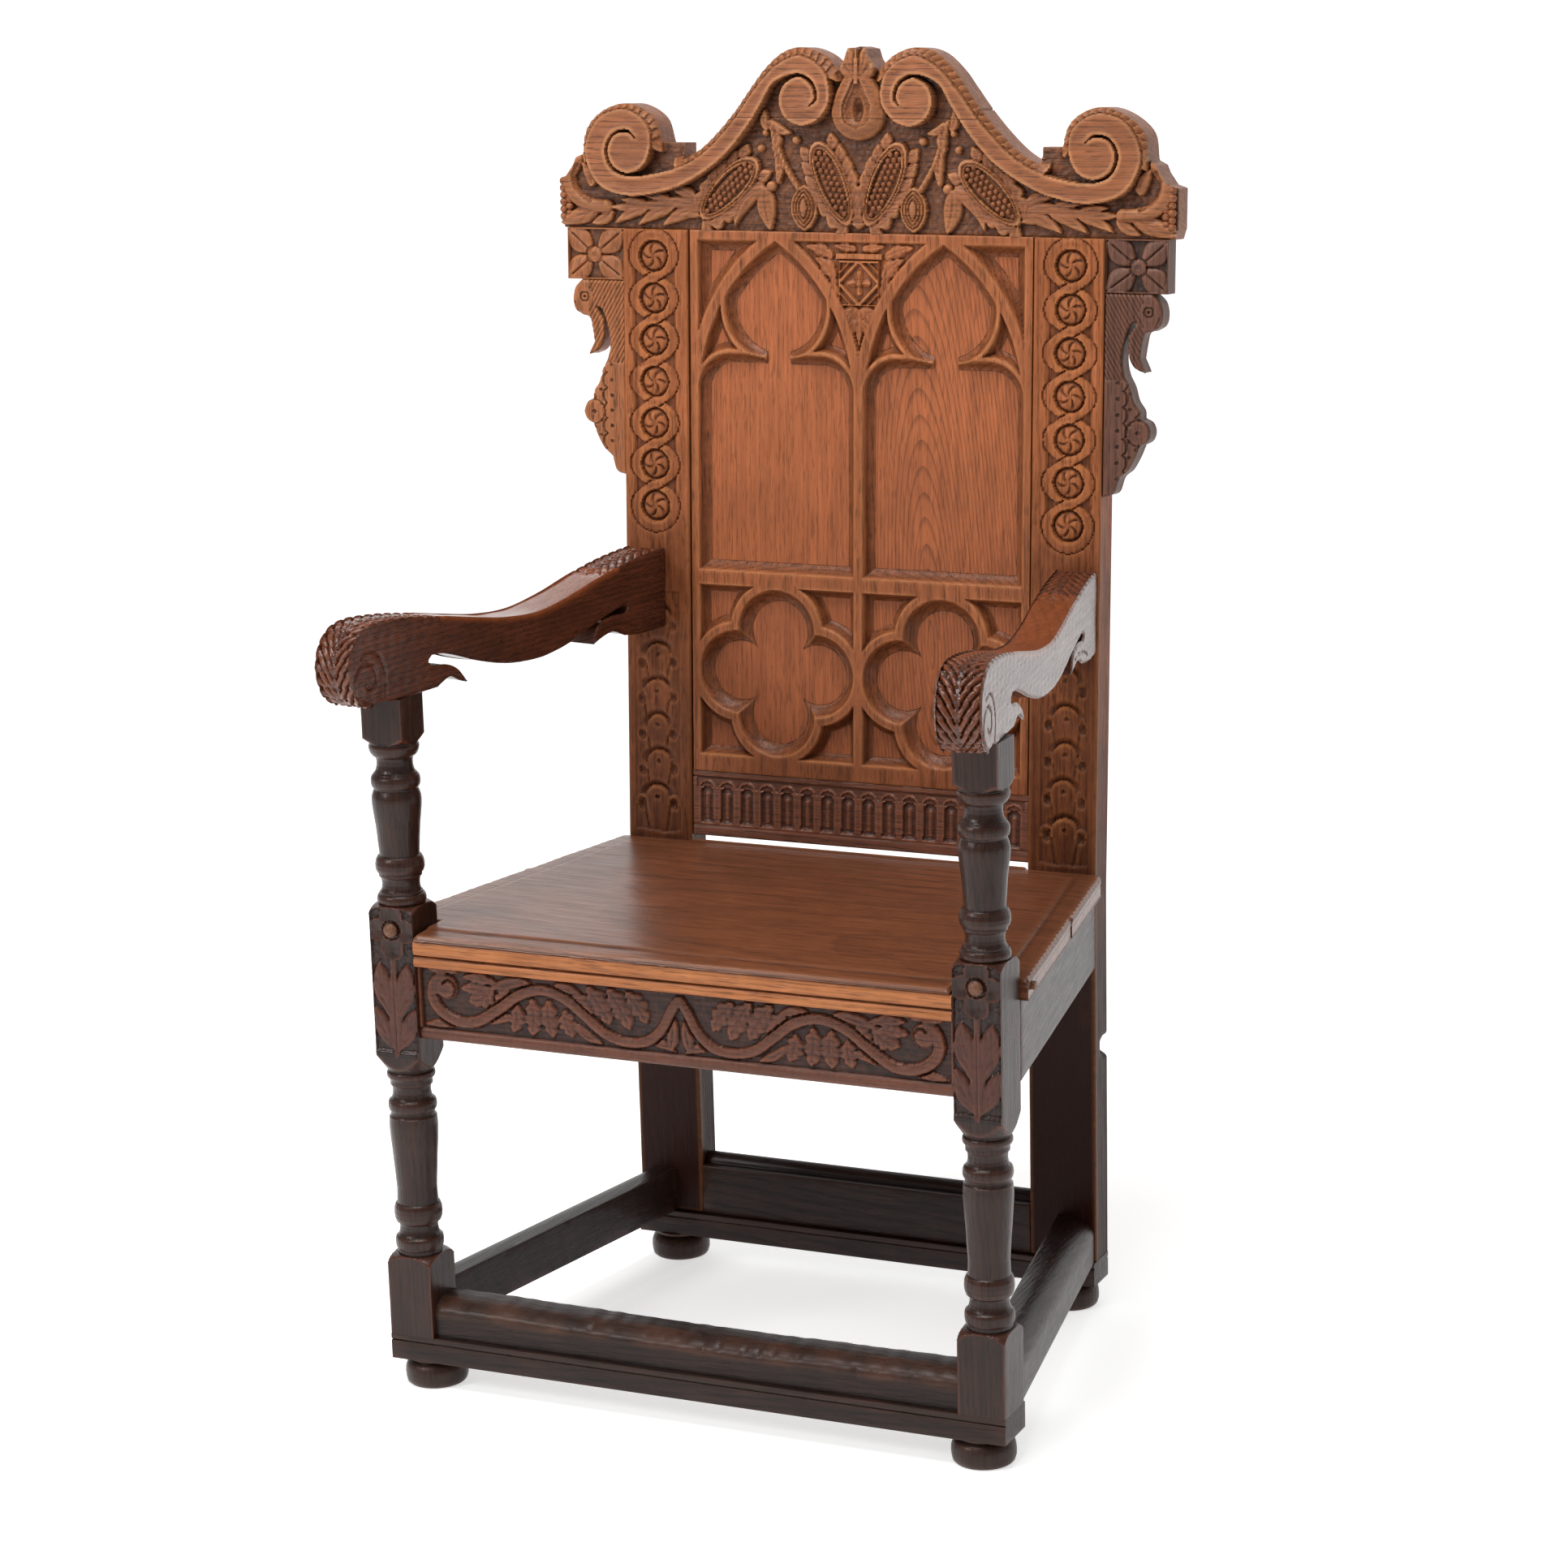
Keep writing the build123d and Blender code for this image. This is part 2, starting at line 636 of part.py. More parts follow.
def steps_rise(steps):
    return sum(step[0] for step in steps)


def vase_edge(start, end, belly_at):
    """Slender vase that swells to its widest just under its top."""
    rise = end[1] - start[1]
    waist = (start[0] + (VASE_RADIUS - start[0]) * 0.45, start[1] + rise * 0.4)
    belly = (VASE_RADIUS, start[1] + rise * belly_at)
    return Spline(start, waist, belly, end)


def turned_run(z_low, z_high, foot_steps, head_steps, vase_top, belly_at):
    """Turned length between two square blocks: the vase takes what the mouldings leave."""
    foot_edges, radius, z = turning_edges(NECK_RADIUS, z_low, foot_steps)
    vase_end = (vase_top, z_high - steps_rise(head_steps))
    vase = vase_edge((radius, z), vase_end, belly_at)
    head_edges, radius, z = turning_edges(*vase_end, head_steps)
    return foot_edges + [vase] + head_edges, radius


def block_shoulder(z):
    """Quarter-round from a square block in to the turning above it."""
    drop = SQUARE_REACH - NECK_RADIUS
    crown = (NECK_RADIUS + drop * math.sqrt(0.5), z + SHOULDER_RISE * math.sqrt(0.5))
    return ThreePointArc((SQUARE_REACH, z), crown, (NECK_RADIUS, z + SHOULDER_RISE))


def front_post_turning():
    """Whole turned outline from the bottom tenon to the spigot in the arm, revolved."""
    tenon_foot = PLINTH_TOP - POST_TENON_LENGTH
    spigot_top = ARM_SEAT + ARM_SPIGOT_LENGTH
    seat_shoulder = SEAT_BLOCK_TOP - SHOULDER_RISE / 2
    cup_foot = ARM_SEAT - CUP_BLOCK_HEIGHT - CUP_RISE
    lower_run, lower_end = turned_run(
        LOWER_BLOCK_TOP + SHOULDER_RISE,
        SEAT_BLOCK_FOOT,
        LOWER_FOOT_STEPS,
        LOWER_HEAD_STEPS,
        LOWER_VASE_TOP,
        0.86,
    )
    upper_run, upper_end = turned_run(
        seat_shoulder + SHOULDER_RISE,
        cup_foot,
        UPPER_FOOT_STEPS,
        UPPER_HEAD_STEPS,
        UPPER_VASE_TOP,
        0.86,
    )
    base = Polyline(
        (0, tenon_foot),
        (POST_TENON_RADIUS, tenon_foot),
        (POST_TENON_RADIUS, PLINTH_TOP),
        (SQUARE_REACH, PLINTH_TOP),
        (SQUARE_REACH, LOWER_BLOCK_TOP),
    )
    seat_block = Polyline(
        (lower_end, SEAT_BLOCK_FOOT),
        (SQUARE_REACH, SEAT_BLOCK_FOOT + TAPER_RISE),
        (SQUARE_REACH, seat_shoulder),
    )
    cup = Polyline(
        (upper_end, cup_foot),
        (SQUARE_REACH, cup_foot + CUP_RISE),
        (SQUARE_REACH, ARM_SEAT),
        (POST_TENON_RADIUS, ARM_SEAT),
        (POST_TENON_RADIUS, spigot_top),
        (0, spigot_top),
        (0, tenon_foot),
    )
    outline = [base, block_shoulder(LOWER_BLOCK_TOP)] + lower_run
    outline += [seat_block, block_shoulder(seat_shoulder)] + upper_run + [cup]
    return revolve(Plane.XZ * make_face(outline), Axis.Z)


def front_post():
    """Right front post: the turning within its square, with the mortises of its rails."""
    cup_split = ARM_SEAT - CUP_BLOCK_HEIGHT - CUP_RISE
    wide = slab(
        (-FRONT_POST_WIDTH / 2, FRONT_POST_WIDTH / 2),
        (-FRONT_POST_DEPTH / 2, FRONT_POST_DEPTH / 2),
        (0, cup_split),
    )
    narrow = slab(
        (-CUP_BLOCK / 2, CUP_BLOCK / 2),
        (-CUP_BLOCK / 2, CUP_BLOCK / 2),
        (cup_split, BACK_TOP),
    )
    post = Pos(FRONT_POST_X, FRONT_POST_Y, 0) * (front_post_turning() & (wide + narrow))
    post -= front_stretcher_tenons(TENON_CLEARANCE)
    post -= side_stretcher_tenons(TENON_CLEARANCE)
    post -= front_rail_tenons(TENON_CLEARANCE)
    post -= side_rail_tenons(TENON_CLEARANCE)
    return post - boss_hole()


def boss_hole():
    """Round hole in the right post's seat block for the boss's stem."""
    y_range = (0, 2 * BOSS_RADIUS)
    hole = Cylinder(BOSS_RADIUS / 2 + TENON_CLEARANCE, y_range[1])
    return Pos(FRONT_POST_X, BOSS_RADIUS, SEAT_TOP) * Rot(90, 0, 0) * hole


def post_boss():
    """Turned button on the right post's seat block, with a stem let into the block."""
    width = 4 * BOSS_RADIUS
    front_half = Pos(0, 0, width / 2) * Box(width, width, width)
    dome = scale(Sphere(BOSS_RADIUS) & front_half, by=(1, 1, BOSS_STANDOUT / BOSS_RADIUS))
    stem = Pos(0, 0, -BOSS_RADIUS) * Cylinder(BOSS_RADIUS / 2, 2 * BOSS_RADIUS)
    place = Plane(origin=(FRONT_POST_X, 0, SEAT_TOP), x_dir=(1, 0, 0), z_dir=(0, -1, 0))
    return place * (stem + dome)


# ------------------------------------------------------------------ rear posts
def rear_post():
    """Right rear post: vertical to the seat, raked above, grooved for panel and ear."""
    bend = math.tan(math.radians(RAKE) / 2) * REAR_POST_DEPTH
    straight = slab(
        (REAR_CLEAR_HALF, REAR_HALF),
        (SIDE_RUN, SIDE_RUN + REAR_POST_DEPTH),
        (PLINTH_TOP, SEAT_UNDERSIDE - bend),
    )
    knee = Plane.YZ * make_face(
        Polyline(
            (SIDE_RUN, SEAT_UNDERSIDE - bend),
            (SIDE_RUN + REAR_POST_DEPTH, SEAT_UNDERSIDE - bend),
            (SIDE_RUN, SEAT_UNDERSIDE),
            close=True,
        )
    )
    knee = extrude(Pos(REAR_CLEAR_HALF, 0, 0) * knee, amount=REAR_POST_WIDTH)
    lower = straight + knee
    upper_outline = Polyline(
        (SIDE_RUN, SEAT_UNDERSIDE),
        (SIDE_RUN + REAR_POST_DEPTH, SEAT_UNDERSIDE - bend),
        (SIDE_RUN + REAR_POST_DEPTH, BACK_TOP),
        (SIDE_RUN, BACK_TOP),
        close=True,
    )
    upper_face = Pos(REAR_CLEAR_HALF, 0, 0) * (Plane.YZ * make_face(upper_outline))
    upper = extrude(upper_face, amount=REAR_POST_WIDTH)
    post = lower + raked(upper - panel_groove() - ear_groove() + crest_tenon(0))
    post += Pos(REAR_POST_X, REAR_POST_Y, PLINTH_TOP - POST_TENON_LENGTH / 2) * Cylinder(
        POST_TENON_RADIUS, POST_TENON_LENGTH
    )
    post -= rear_stretcher_tenons(TENON_CLEARANCE)
    post -= side_stretcher_tenons(TENON_CLEARANCE)
    post -= rear_rail_tenons(TENON_CLEARANCE)
    post -= side_rail_tenons(TENON_CLEARANCE)
    post -= raked(nulled_rail_tenons(TENON_CLEARANCE))
    return post - raked(arm_tenon(TENON_CLEARANCE))


def panel_groove():
    """Groove down the right post's inner side that takes the panel's edge."""
    return upright_slab(
        (REAR_CLEAR_HALF, REAR_CLEAR_HALF + PANEL_TONGUE + TENON_CLEARANCE),
        grown((PANEL_FRONT, PANEL_FRONT + PANEL_THICKNESS), TENON_CLEARANCE),
        (NULLED_RAIL_TOP - PANEL_TONGUE, BACK_TOP),
    )


def ear_groove():
    """Groove down the right post's outer side that takes the ear pieces' tongues."""
    return upright_slab(
        (REAR_HALF - EAR_TONGUE - TENON_CLEARANCE, REAR_HALF),
        grown((EAR_TONGUE_FRONT, EAR_TONGUE_FRONT + EAR_TONGUE_THICKNESS), TENON_CLEARANCE),
        (BIRD_FOOT, BACK_TOP),
    )


def crest_tenon(spare):
    """Tenon on top of the right post that holds the crest."""
    half = REAR_POST_WIDTH / 4 + spare
    middle = REAR_POST_DEPTH / 2
    return upright_slab(
        (REAR_POST_X - half, REAR_POST_X + half),
        grown((middle - TENON_THICKNESS / 2, middle + TENON_THICKNESS / 2), spare),
        (BACK_TOP, BACK_TOP + POST_TOP_TENON + spare),
    )


def arm_tenon(spare):
    """Tenon of the right arm, let into the rear post's face."""
    half = ARM_TENON_WIDTH / 2 + spare
    return upright_slab(
        (ARM_REAR_X - half, ARM_REAR_X + half),
        (0, TENON_LENGTH + spare),
        grown((ARM_TENON_BOTTOM, ARM_TENON_BOTTOM + ARM_TENON_HEIGHT), spare),
    )


# ------------------------------------------------------------------ arms
def arm_curve(*points):
    """Smooth edge of the arm's drawing, brought to real size."""
    return Spline(scaled(points, ARM_SCALE))


def arm_arc(*points):
    """Arc of the arm's drawing through three points, brought to real size."""
    return ThreePointArc(*scaled(points, ARM_SCALE))


def arm_outline():
    """Side of an arm as (distance behind the front post's middle, height above its seat)."""
    top = arm_curve(
        (-58, -2),
        (-76, 10),
        (-85, 34),
        (-80, 57),
        (-65, 71),
        (-45, 76),
        (0, 73.5),
        (50, 66),
        (100, 56.5),
        (150, 48),
        (200, 45),
        (250, 51),
        (300, 61),
        (350, 69),
        (400, 73),
        (450, 74),
    )
    rear = Polyline(*scaled([(450, 74), (450, -7), (400, -6)], ARM_SCALE))
    rear_foot = arm_curve((400, -6), (365, -6), (340, -3))
    rear_scroll = arm_curve((340, -3), (320, 4), (300, 1), (286, -3.5))
    rear_lip = arm_curve((286, -3.5), (290, 9), (300, 17), (320, 20), (340, 19))
    rear_slot = arm_arc((340, 19), (345, 23), (338, 27))
    sweep = arm_curve(
        (338, 27),
        (300, 19),
        (250, 6),
        (225, 2),
        (200, 0),
        (150, 3.5),
        (100, 15.5),
        (75, 24),
        (50, 31),
        (35, 32),
    )
    front_slot = arm_arc((35, 32), (30, 27), (35, 22))
    front_lip = arm_curve((35, 22), (55, 20), (72, 13), (88, -3))
    front_scroll = arm_curve((88, -3), (75, 1), (62, 7), (50, 4), (40, 0))
    seat = Line(*scaled([(40, 0), (-24, 0)], ARM_SCALE))
    chin = arm_curve((-24, 0), (-40, 3), (-50, 1), (-58, -2))
    rear_end = [rear, rear_foot, rear_scroll, rear_lip, rear_slot]
    front_end = [front_slot, front_lip, front_scroll, seat, chin]
    return make_face([top] + rear_end + [sweep] + front_end)


def arm():
    """Right arm: a shaped board on edge, tenoned behind and bored for the post's spigot."""
    run = Vector(ARM_REAR_X - ARM_FRONT_X, SIDE_RUN - FRONT_POST_Y, 0).normalized()
    plane = Plane(
        origin=(ARM_FRONT_X, FRONT_POST_Y, ARM_SEAT),
        x_dir=run,
        z_dir=Vector(run.Y, -run.X, 0),
    )
    body = extrude(plane * arm_outline(), amount=ARM_THICKNESS / 2, both=True)
    behind = upright_slab((-FRONT_WIDTH, FRONT_WIDTH), (0, SIDE_RUN), (0, 2 * BACK_TOP))
    body -= raked(behind)
    body += raked(arm_tenon(0))
    socket_range = (ARM_SEAT, ARM_SEAT + ARM_SPIGOT_LENGTH + TENON_CLEARANCE)
    return body - round_socket(FRONT_POST_X, FRONT_POST_Y, socket_range, POST_TENON_RADIUS)


# ------------------------------------------------------------------ arcade rail and panels
def nulled_rail_tenons(spare):
    """Tenons of the arcade rail into both rear posts."""
    tongue_front = NULLED_RAIL_SETBACK + TENON_INSET
    tongue = upright_slab(
        (REAR_CLEAR_HALF, REAR_CLEAR_HALF + TENON_LENGTH + spare),
        grown((tongue_front, tongue_front + TENON_THICKNESS), spare),
        grown(tenon_height(NULLED_RAIL_BOTTOM, NULLED_RAIL_TOP), spare),
    )
    return tongue + mirrored(tongue)


def flute_outline(x):
    """One upright flute with a round head."""
    half = FLUTE_WIDTH / 2
    low = NULLED_RAIL_BOTTOM + FLUTE_FOOT
    spring = NULLED_RAIL_TOP - FLUTE_HEAD - half
    sides = Polyline((x - half, spring), (x - half, low), (x + half, low), (x + half, spring))
    head = ThreePointArc((x + half, spring), (x, spring + half), (x - half, spring))
    return make_face([sides, head])


def nulled_rail():
    """Rail with a row of round-headed flutes, grooved on top for the panels."""
    depth = (NULLED_RAIL_SETBACK, NULLED_RAIL_SETBACK + NULLED_RAIL_DEPTH)
    rail = upright_slab((-REAR_CLEAR_HALF, REAR_CLEAR_HALF), depth, (NULLED_RAIL_BOTTOM, NULLED_RAIL_TOP))
    rail += nulled_rail_tenons(0)
    rail -= upright_slab(
        grown((-REAR_CLEAR_HALF, REAR_CLEAR_HALF), 1),
        grown((PANEL_FRONT, PANEL_FRONT + PANEL_THICKNESS), TENON_CLEARANCE),
        (NULLED_RAIL_TOP - PANEL_TONGUE - TENON_CLEARANCE, NULLED_RAIL_TOP),
    )
    first = -(FLUTE_COUNT - 1) / 2 * FLUTE_PITCH
    for index in range(FLUTE_COUNT):
        outline = flute_outline(first + index * FLUTE_PITCH)
        rail -= upright_solid(outline, 0, NULLED_RAIL_SETBACK + FLUTE_DEPTH)
    return raked(rail)


def back_panel():
    """Right panel board behind the tracery, its edges in the post, rail and crest."""
    return raked(
        upright_slab(
            (PANEL_GAP / 2, REAR_CLEAR_HALF + PANEL_TONGUE),
            (PANEL_FRONT, PANEL_FRONT + PANEL_THICKNESS),
            (NULLED_RAIL_TOP - PANEL_TONGUE, BACK_TOP + PANEL_TONGUE),
        )
    )


# ------------------------------------------------------------------ tracery
def bevelled_cut(outline, chamfer):
    """Opening whose walls slope in from its outline at the front to a smaller one behind.

    outline is a function that draws the opening moved in by a distance.
    """
    front = upright_face(outline(0), TRACERY_SETBACK)
    back = upright_face(outline(chamfer), PANEL_FRONT)
    return loft([front, back], ruled=True)


def arch_centre(side):
    """Centre of the arc that forms one side of a pointed arch."""
    return (-side * ARCH_CENTRE_OUT, ARCH_SPRING)


def light_head(inset):
    """Round head of the light, drawn up to a point under the arch."""
    radius = HEAD_RADIUS - inset
    arch_radius = ARCH_RADIUS - inset
    centre = (0, HEAD_CENTRE)
    join = circles_meet(arch_centre(1), arch_radius, centre, radius, 1)
    apex = (0, ARCH_SPRING + math.sqrt(arch_radius**2 - ARCH_CENTRE_OUT**2))
    return make_face(
        [
            arc_about(centre, join, flipped(join), -1),
            arc_about(arch_centre(-1), flipped(join), apex, -1),
            arc_about(arch_centre(1), apex, join, -1),
        ]
    )


def light_body(inset):
    """Tall lower part of the light with rounded shoulders."""
    half = BAY_HALF - inset
    low = MID_RAIL_TOP + inset
    top = SHOULDER_CENTRE + SHOULDER_RADIUS - inset
    turn = BAY_HALF - SHOULDER_RADIUS
    right = arc_about((turn, SHOULDER_CENTRE), (half, SHOULDER_CENTRE), (turn, top), 1)
    left = arc_about((-turn, SHOULDER_CENTRE), (-turn, top), (-half, SHOULDER_CENTRE), 1)
    sides = Polyline((-half, SHOULDER_CENTRE), (-half, low), (half, low), (half, SHOULDER_CENTRE))
    return make_face([right, Line((turn, top), (-turn, top)), left, sides])


def eye(inset, side):
    """Three-cornered recess between the arch, the head's ridge and the shoulder's ridge."""
    head = (0, HEAD_CENTRE)
    head_radius = HEAD_RADIUS + RIDGE_WIDTH + inset
    shoulder = (BAY_HALF - SHOULDER_RADIUS, SHOULDER_CENTRE)
    shoulder_radius = SHOULDER_RADIUS + RIDGE_WIDTH + inset
    arch_radius = ARCH_RADIUS - inset
    top = circles_meet(arch_centre(1), arch_radius, head, head_radius, -1)
    outer = circles_meet(arch_centre(1), arch_radius, shoulder, shoulder_radius, 1)
    inner = circles_meet(head, head_radius, shoulder, shoulder_radius, 1)
    face = make_face(
        [
            arc_about(arch_centre(1), top, outer, -1),
            arc_about(shoulder, outer, inner, 1),
            arc_about(head, inner, top, 1),
        ]
    )
    return face if side > 0 else mirror(face, about=Plane.YZ)


def spandrel(inset, side):
    """Corner recess outside the arch, next to the stile."""
    centre = arch_centre(1)
    radius = ARCH_RADIUS + ARCH_BAND + inset
    edge = BAY_HALF - inset
    top = TOP_RAIL_BOTTOM - inset
    low_point = (edge, ARCH_SPRING + math.sqrt(radius**2 - (edge - centre[0]) ** 2))
    top_point = (centre[0] + math.sqrt(radius**2 - (top - ARCH_SPRING) ** 2), top)
    face = make_face(
        [
            arc_about(centre, low_point, top_point, 1),
            Polyline(top_point, (edge, top), low_point),
        ]
    )
    return face if side > 0 else mirror(face, about=Plane.YZ)


def foil_corner(inset, side_x, side_z):
    """Recess in one corner of a quatrefoil's square, outside two neighbouring lobes."""
    radius = LOBE_RADIUS + LOBE_BAND + inset
    half_height = (MID_RAIL_BOTTOM - BOTTOM_RAIL_TOP) / 2 - inset
    half_width = BAY_HALF - inset
    upper_lobe = (0, LOBE_RADIUS)
    outer_lobe = (LOBE_RADIUS, 0)
    top_point = (math.sqrt(radius**2 - (half_height - LOBE_RADIUS) ** 2), half_height)
    side_point = (half_width, math.sqrt(radius**2 - (half_width - LOBE_RADIUS) ** 2))
    crotch = circles_meet(upper_lobe, radius, outer_lobe, radius, 1)
    face = make_face(
        [
            arc_about(upper_lobe, top_point, crotch, -1),
            arc_about(outer_lobe, crotch, side_point, -1),
            Polyline(side_point, (half_width, half_height), top_point),
        ]
    )
    if side_x < 0:
        face = mirror(face, about=Plane.YZ)
    if side_z < 0:
        face = mirror(face, about=Plane.XZ)
    return Pos(0, quatrefoil_middle()) * face


def quatrefoil_middle():
    return (BOTTOM_RAIL_TOP + MID_RAIL_BOTTOM) / 2


def foil_lobe(angle):
    """Round lobe of the quatrefoil, narrowing to the back."""
    x, z = polar((0, quatrefoil_middle()), LOBE_RADIUS, angle)
    plane = Plane(origin=(x, SIDE_RUN + TRACERY_SETBACK, z), x_dir=(1, 0, 0), z_dir=(0, 1, 0))
    cone = Cone(
        LOBE_RADIUS,
        LOBE_RADIUS - LOBE_CHAMFER,
        TRACERY_DEPTH,
        align=(Align.CENTER, Align.CENTER, Align.MIN),
    )
    return plane * cone


def bay_cuts():
    """Everything cut away in one bay of the tracery, about the bay's middle line."""
    depth = (TRACERY_SETBACK, PANEL_FRONT)
    cuts = [
        bevelled_cut(light_head, CHAMFER),
        bevelled_cut(light_body, CHAMFER),
        upright_slab(
            (-CUSP_GAP, CUSP_GAP),
            depth,
            (SHOULDER_CENTRE, HEAD_CENTRE - HEAD_RADIUS / 2),
        ),
    ]
    for side in (-1, 1):
        cuts.append(bevelled_cut(lambda inset: eye(inset, side), EYE_CHAMFER))
        cuts.append(bevelled_cut(lambda inset: foil_corner(inset, side, 1), EYE_CHAMFER))
        cuts.append(bevelled_cut(lambda inset: foil_corner(inset, side, -1), EYE_CHAMFER))
    for angle in (0, 90, 180, 270):
        cuts.append(foil_lobe(angle))
    hub = upright_face(Pos(0, quatrefoil_middle()) * Circle(QUATREFOIL_HUB), PANEL_FRONT)
    cuts.append(extrude(hub, amount=TRACERY_DEPTH))
    return cuts


def ornament_field():
    """Sunk field between the two arches, over the mullion."""
    radius = ARCH_RADIUS + ARCH_BAND
    centre = (-BAY_CENTRE - ARCH_CENTRE_OUT, ARCH_SPRING)
    foot_point = (0, ARCH_SPRING + math.sqrt(radius**2 - centre[0] ** 2))
    height = TOP_RAIL_BOTTOM - ARCH_SPRING
    left_top = (centre[0] + math.sqrt(radius**2 - height**2), TOP_RAIL_BOTTOM)
    return make_face(
        [
            arc_about(centre, left_top, foot_point, -1),
            arc_about(flipped(centre), foot_point, flipped(left_top), -1),
            Line(flipped(left_top), left_top),
        ]
    )


def tracery_frame():
    """Pierced frame of two pointed lights over two quatrefoils, carved from one board."""
    half = REAR_CLEAR_HALF - TRACERY_SIDE_GAP
    frame = upright_slab((-half, half), (TRACERY_SETBACK, PANEL_FRONT), (NULLED_RAIL_TOP, BACK_TOP))
    for side in (-1, 1):
        outer_corner = bevelled_cut(lambda inset: spandrel(inset, side), CHAMFER)
        for cut in bay_cuts() + [outer_corner]:
            frame -= Pos(side * BAY_CENTRE, 0, 0) * cut
    frame -= upright_solid(ornament_field(), TRACERY_SETBACK, TRACERY_SETBACK + ORNAMENT_RECESS)
    return raked(frame)


# ------------------------------------------------------------------ crest
def crest_points(*points):
    """Points of the crest's drawing, as (x, rise above the posts), at real size."""
    return [(x, BACK_TOP + rise) for x, rise in scaled(points, CREST_SCALE)]


def outer_coil(*steps):
    """Points round the left outer volute, each as (direction, distance from its eye)."""
    return crest_points(*[polar((-242, 76), radius, angle) for angle, radius in steps])


def inner_coil(*steps):
    """Points round the left inner volute, each as (direction, distance from its eye)."""
    return crest_points(*[polar((-58, 125), radius, angle) for angle, radius in steps])


def crest_silhouette():
    """Left half of the crest's outline, closed along the middle line."""
    foot_line = Polyline(*crest_points((0, 0), (-318, 0), (-321, 10), (-321, 47)))
    end_piece = Polyline(
        *crest_points((-321, 47), (-312, 50), (-304, 61), (-301, 68), (-293, 72)),
    )
    coil = outer_coil((155, 51), (120, 46), (90, 44), (50, 40), (12, 35))
    outer_scroll = Spline(crest_points((-293, 72)) + coil)
    tab_outer, tab_foot = crest_points((-186, 0), (-186, 66))
    tab = Polyline(coil[-1], (tab_outer[0], coil[-1][1]), tab_foot)
    climb = crest_points((-186, 66), (-165, 78), (-145, 96), (-127, 116), (-110, 138))
    summit = inner_coil((145, 49), (115, 49), (90, 49), (60, 47), (35, 46))
    slope = Spline(climb + summit)
    crown = Polyline(summit[-1], *crest_points((-12, 164), (-9, 173), (0, 175), (0, 0)))
    return make_face([foot_line, end_piece, outer_scroll, tab, slope, crown])


def scroll_band():
    """Face of the left S-scroll: one closed ribbon that coils into both volutes."""
    outer_end = outer_coil((48, 14.5))
    inner_end = inner_coil((-35, 12))
    lower_edge = list(outer_end)
    lower_edge += outer_coil((90, 16), (135, 18.5), (180, 20), (225, 20.5), (270, 21))
    lower_edge += outer_coil((315, 22.5), (0, 25), (45, 32), (90, 38), (135, 43))
    lower_edge += outer_coil((180, 46), (225, 46), (270, 44))
    lower_edge += crest_points((-200, 37), (-170, 49), (-140, 69), (-115, 96))
    lower_edge += crest_points((-98, 120), (-84, 141))
    lower_edge += inner_coil((90, 24), (45, 21), (0, 18)) + inner_end
    upper_edge = list(inner_end)
    upper_edge += inner_coil((0, 14), (45, 16), (90, 18), (135, 19), (180, 20), (225, 22))
    upper_edge += inner_coil((270, 24), (315, 27), (0, 32), (45, 37), (90, 41))
    upper_edge += crest_points((-82, 157), (-105, 134), (-122, 112), (-140, 92))
    upper_edge += crest_points((-160, 74), (-182, 61.5), (-215, 53))
    upper_edge += outer_coil((270, 24), (225, 25), (180, 24.5), (135, 22), (90, 19.5))
    upper_edge += outer_end
    return make_face([Spline(lower_edge), Spline(upper_edge)])


def finial():
    """Pear-shaped drop between the inner volutes, standing proud of the ground."""
    round_part = [polar((0, 115), 28, angle) for angle in (210, 180, 145)]
    low, side, shoulder, tip, bottom = crest_points(*round_part, (-6, 160), (0, 87))
    left = Spline([low, side, shoulder, tip])
    right = Spline([flipped(low), flipped(side), flipped(shoulder), flipped(tip)])
    belly = ThreePointArc(low, bottom, flipped(low))
    drop = make_face([belly, left, Line(tip, flipped(tip)), right])
    return upright_solid(drop, -CREST_LEAD / 2, CREST_GROUND)


def whole_crest():
    """Crest before its seam: ground board, raised scrolls and finial, mortised below."""
    half = upright_solid(crest_silhouette(), CREST_GROUND, REAR_POST_DEPTH)
    half += upright_solid(scroll_band(), -CREST_LEAD, CREST_GROUND)
    crest = half + mirrored(half) + finial()
    crest -= upright_slab(
        grown((-REAR_CLEAR_HALF, REAR_CLEAR_HALF), PANEL_TONGUE + TENON_CLEARANCE),
        grown((PANEL_FRONT, PANEL_FRONT + PANEL_THICKNESS), TENON_CLEARANCE),
        (BACK_TOP, BACK_TOP + PANEL_TONGUE + TENON_CLEARANCE),
    )
    mortise = crest_tenon(TENON_CLEARANCE)
    return crest - mortise - mirrored(mortise)


def crest_boards():
    """The crest as built: a lower board and a shorter upper board glued on top of it."""
    crest = whole_crest()
    over_seam = upright_slab(
        (-CREST_SEAM_HALF, CREST_SEAM_HALF),
        (-REAR_POST_DEPTH, 2 * REAR_POST_DEPTH),
        (CREST_SEAM, 2 * BACK_TOP),
    )
    return raked(crest - over_seam), raked(crest & over_seam)


# ------------------------------------------------------------------ ears
def ear_tongue(z_range):
    """Tongue on an ear piece that goes into the right post's outer groove."""
    return upright_slab(
        (REAR_HALF - EAR_TONGUE, REAR_HALF),
        (EAR_TONGUE_FRONT, EAR_TONGUE_FRONT + EAR_TONGUE_THICKNESS),
        z_range,
    )


def ear_block():
    """Square block with a four-petalled flower, beside the right post's head."""
    depth = (EAR_SETBACK, EAR_SETBACK + EAR_DEPTH)
    height = (BIRD_TOP, BACK_TOP)
    block = upright_slab((REAR_HALF, REAR_HALF + EAR_BLOCK_WIDTH), depth, height)
    return raked(block + ear_tongue(height))


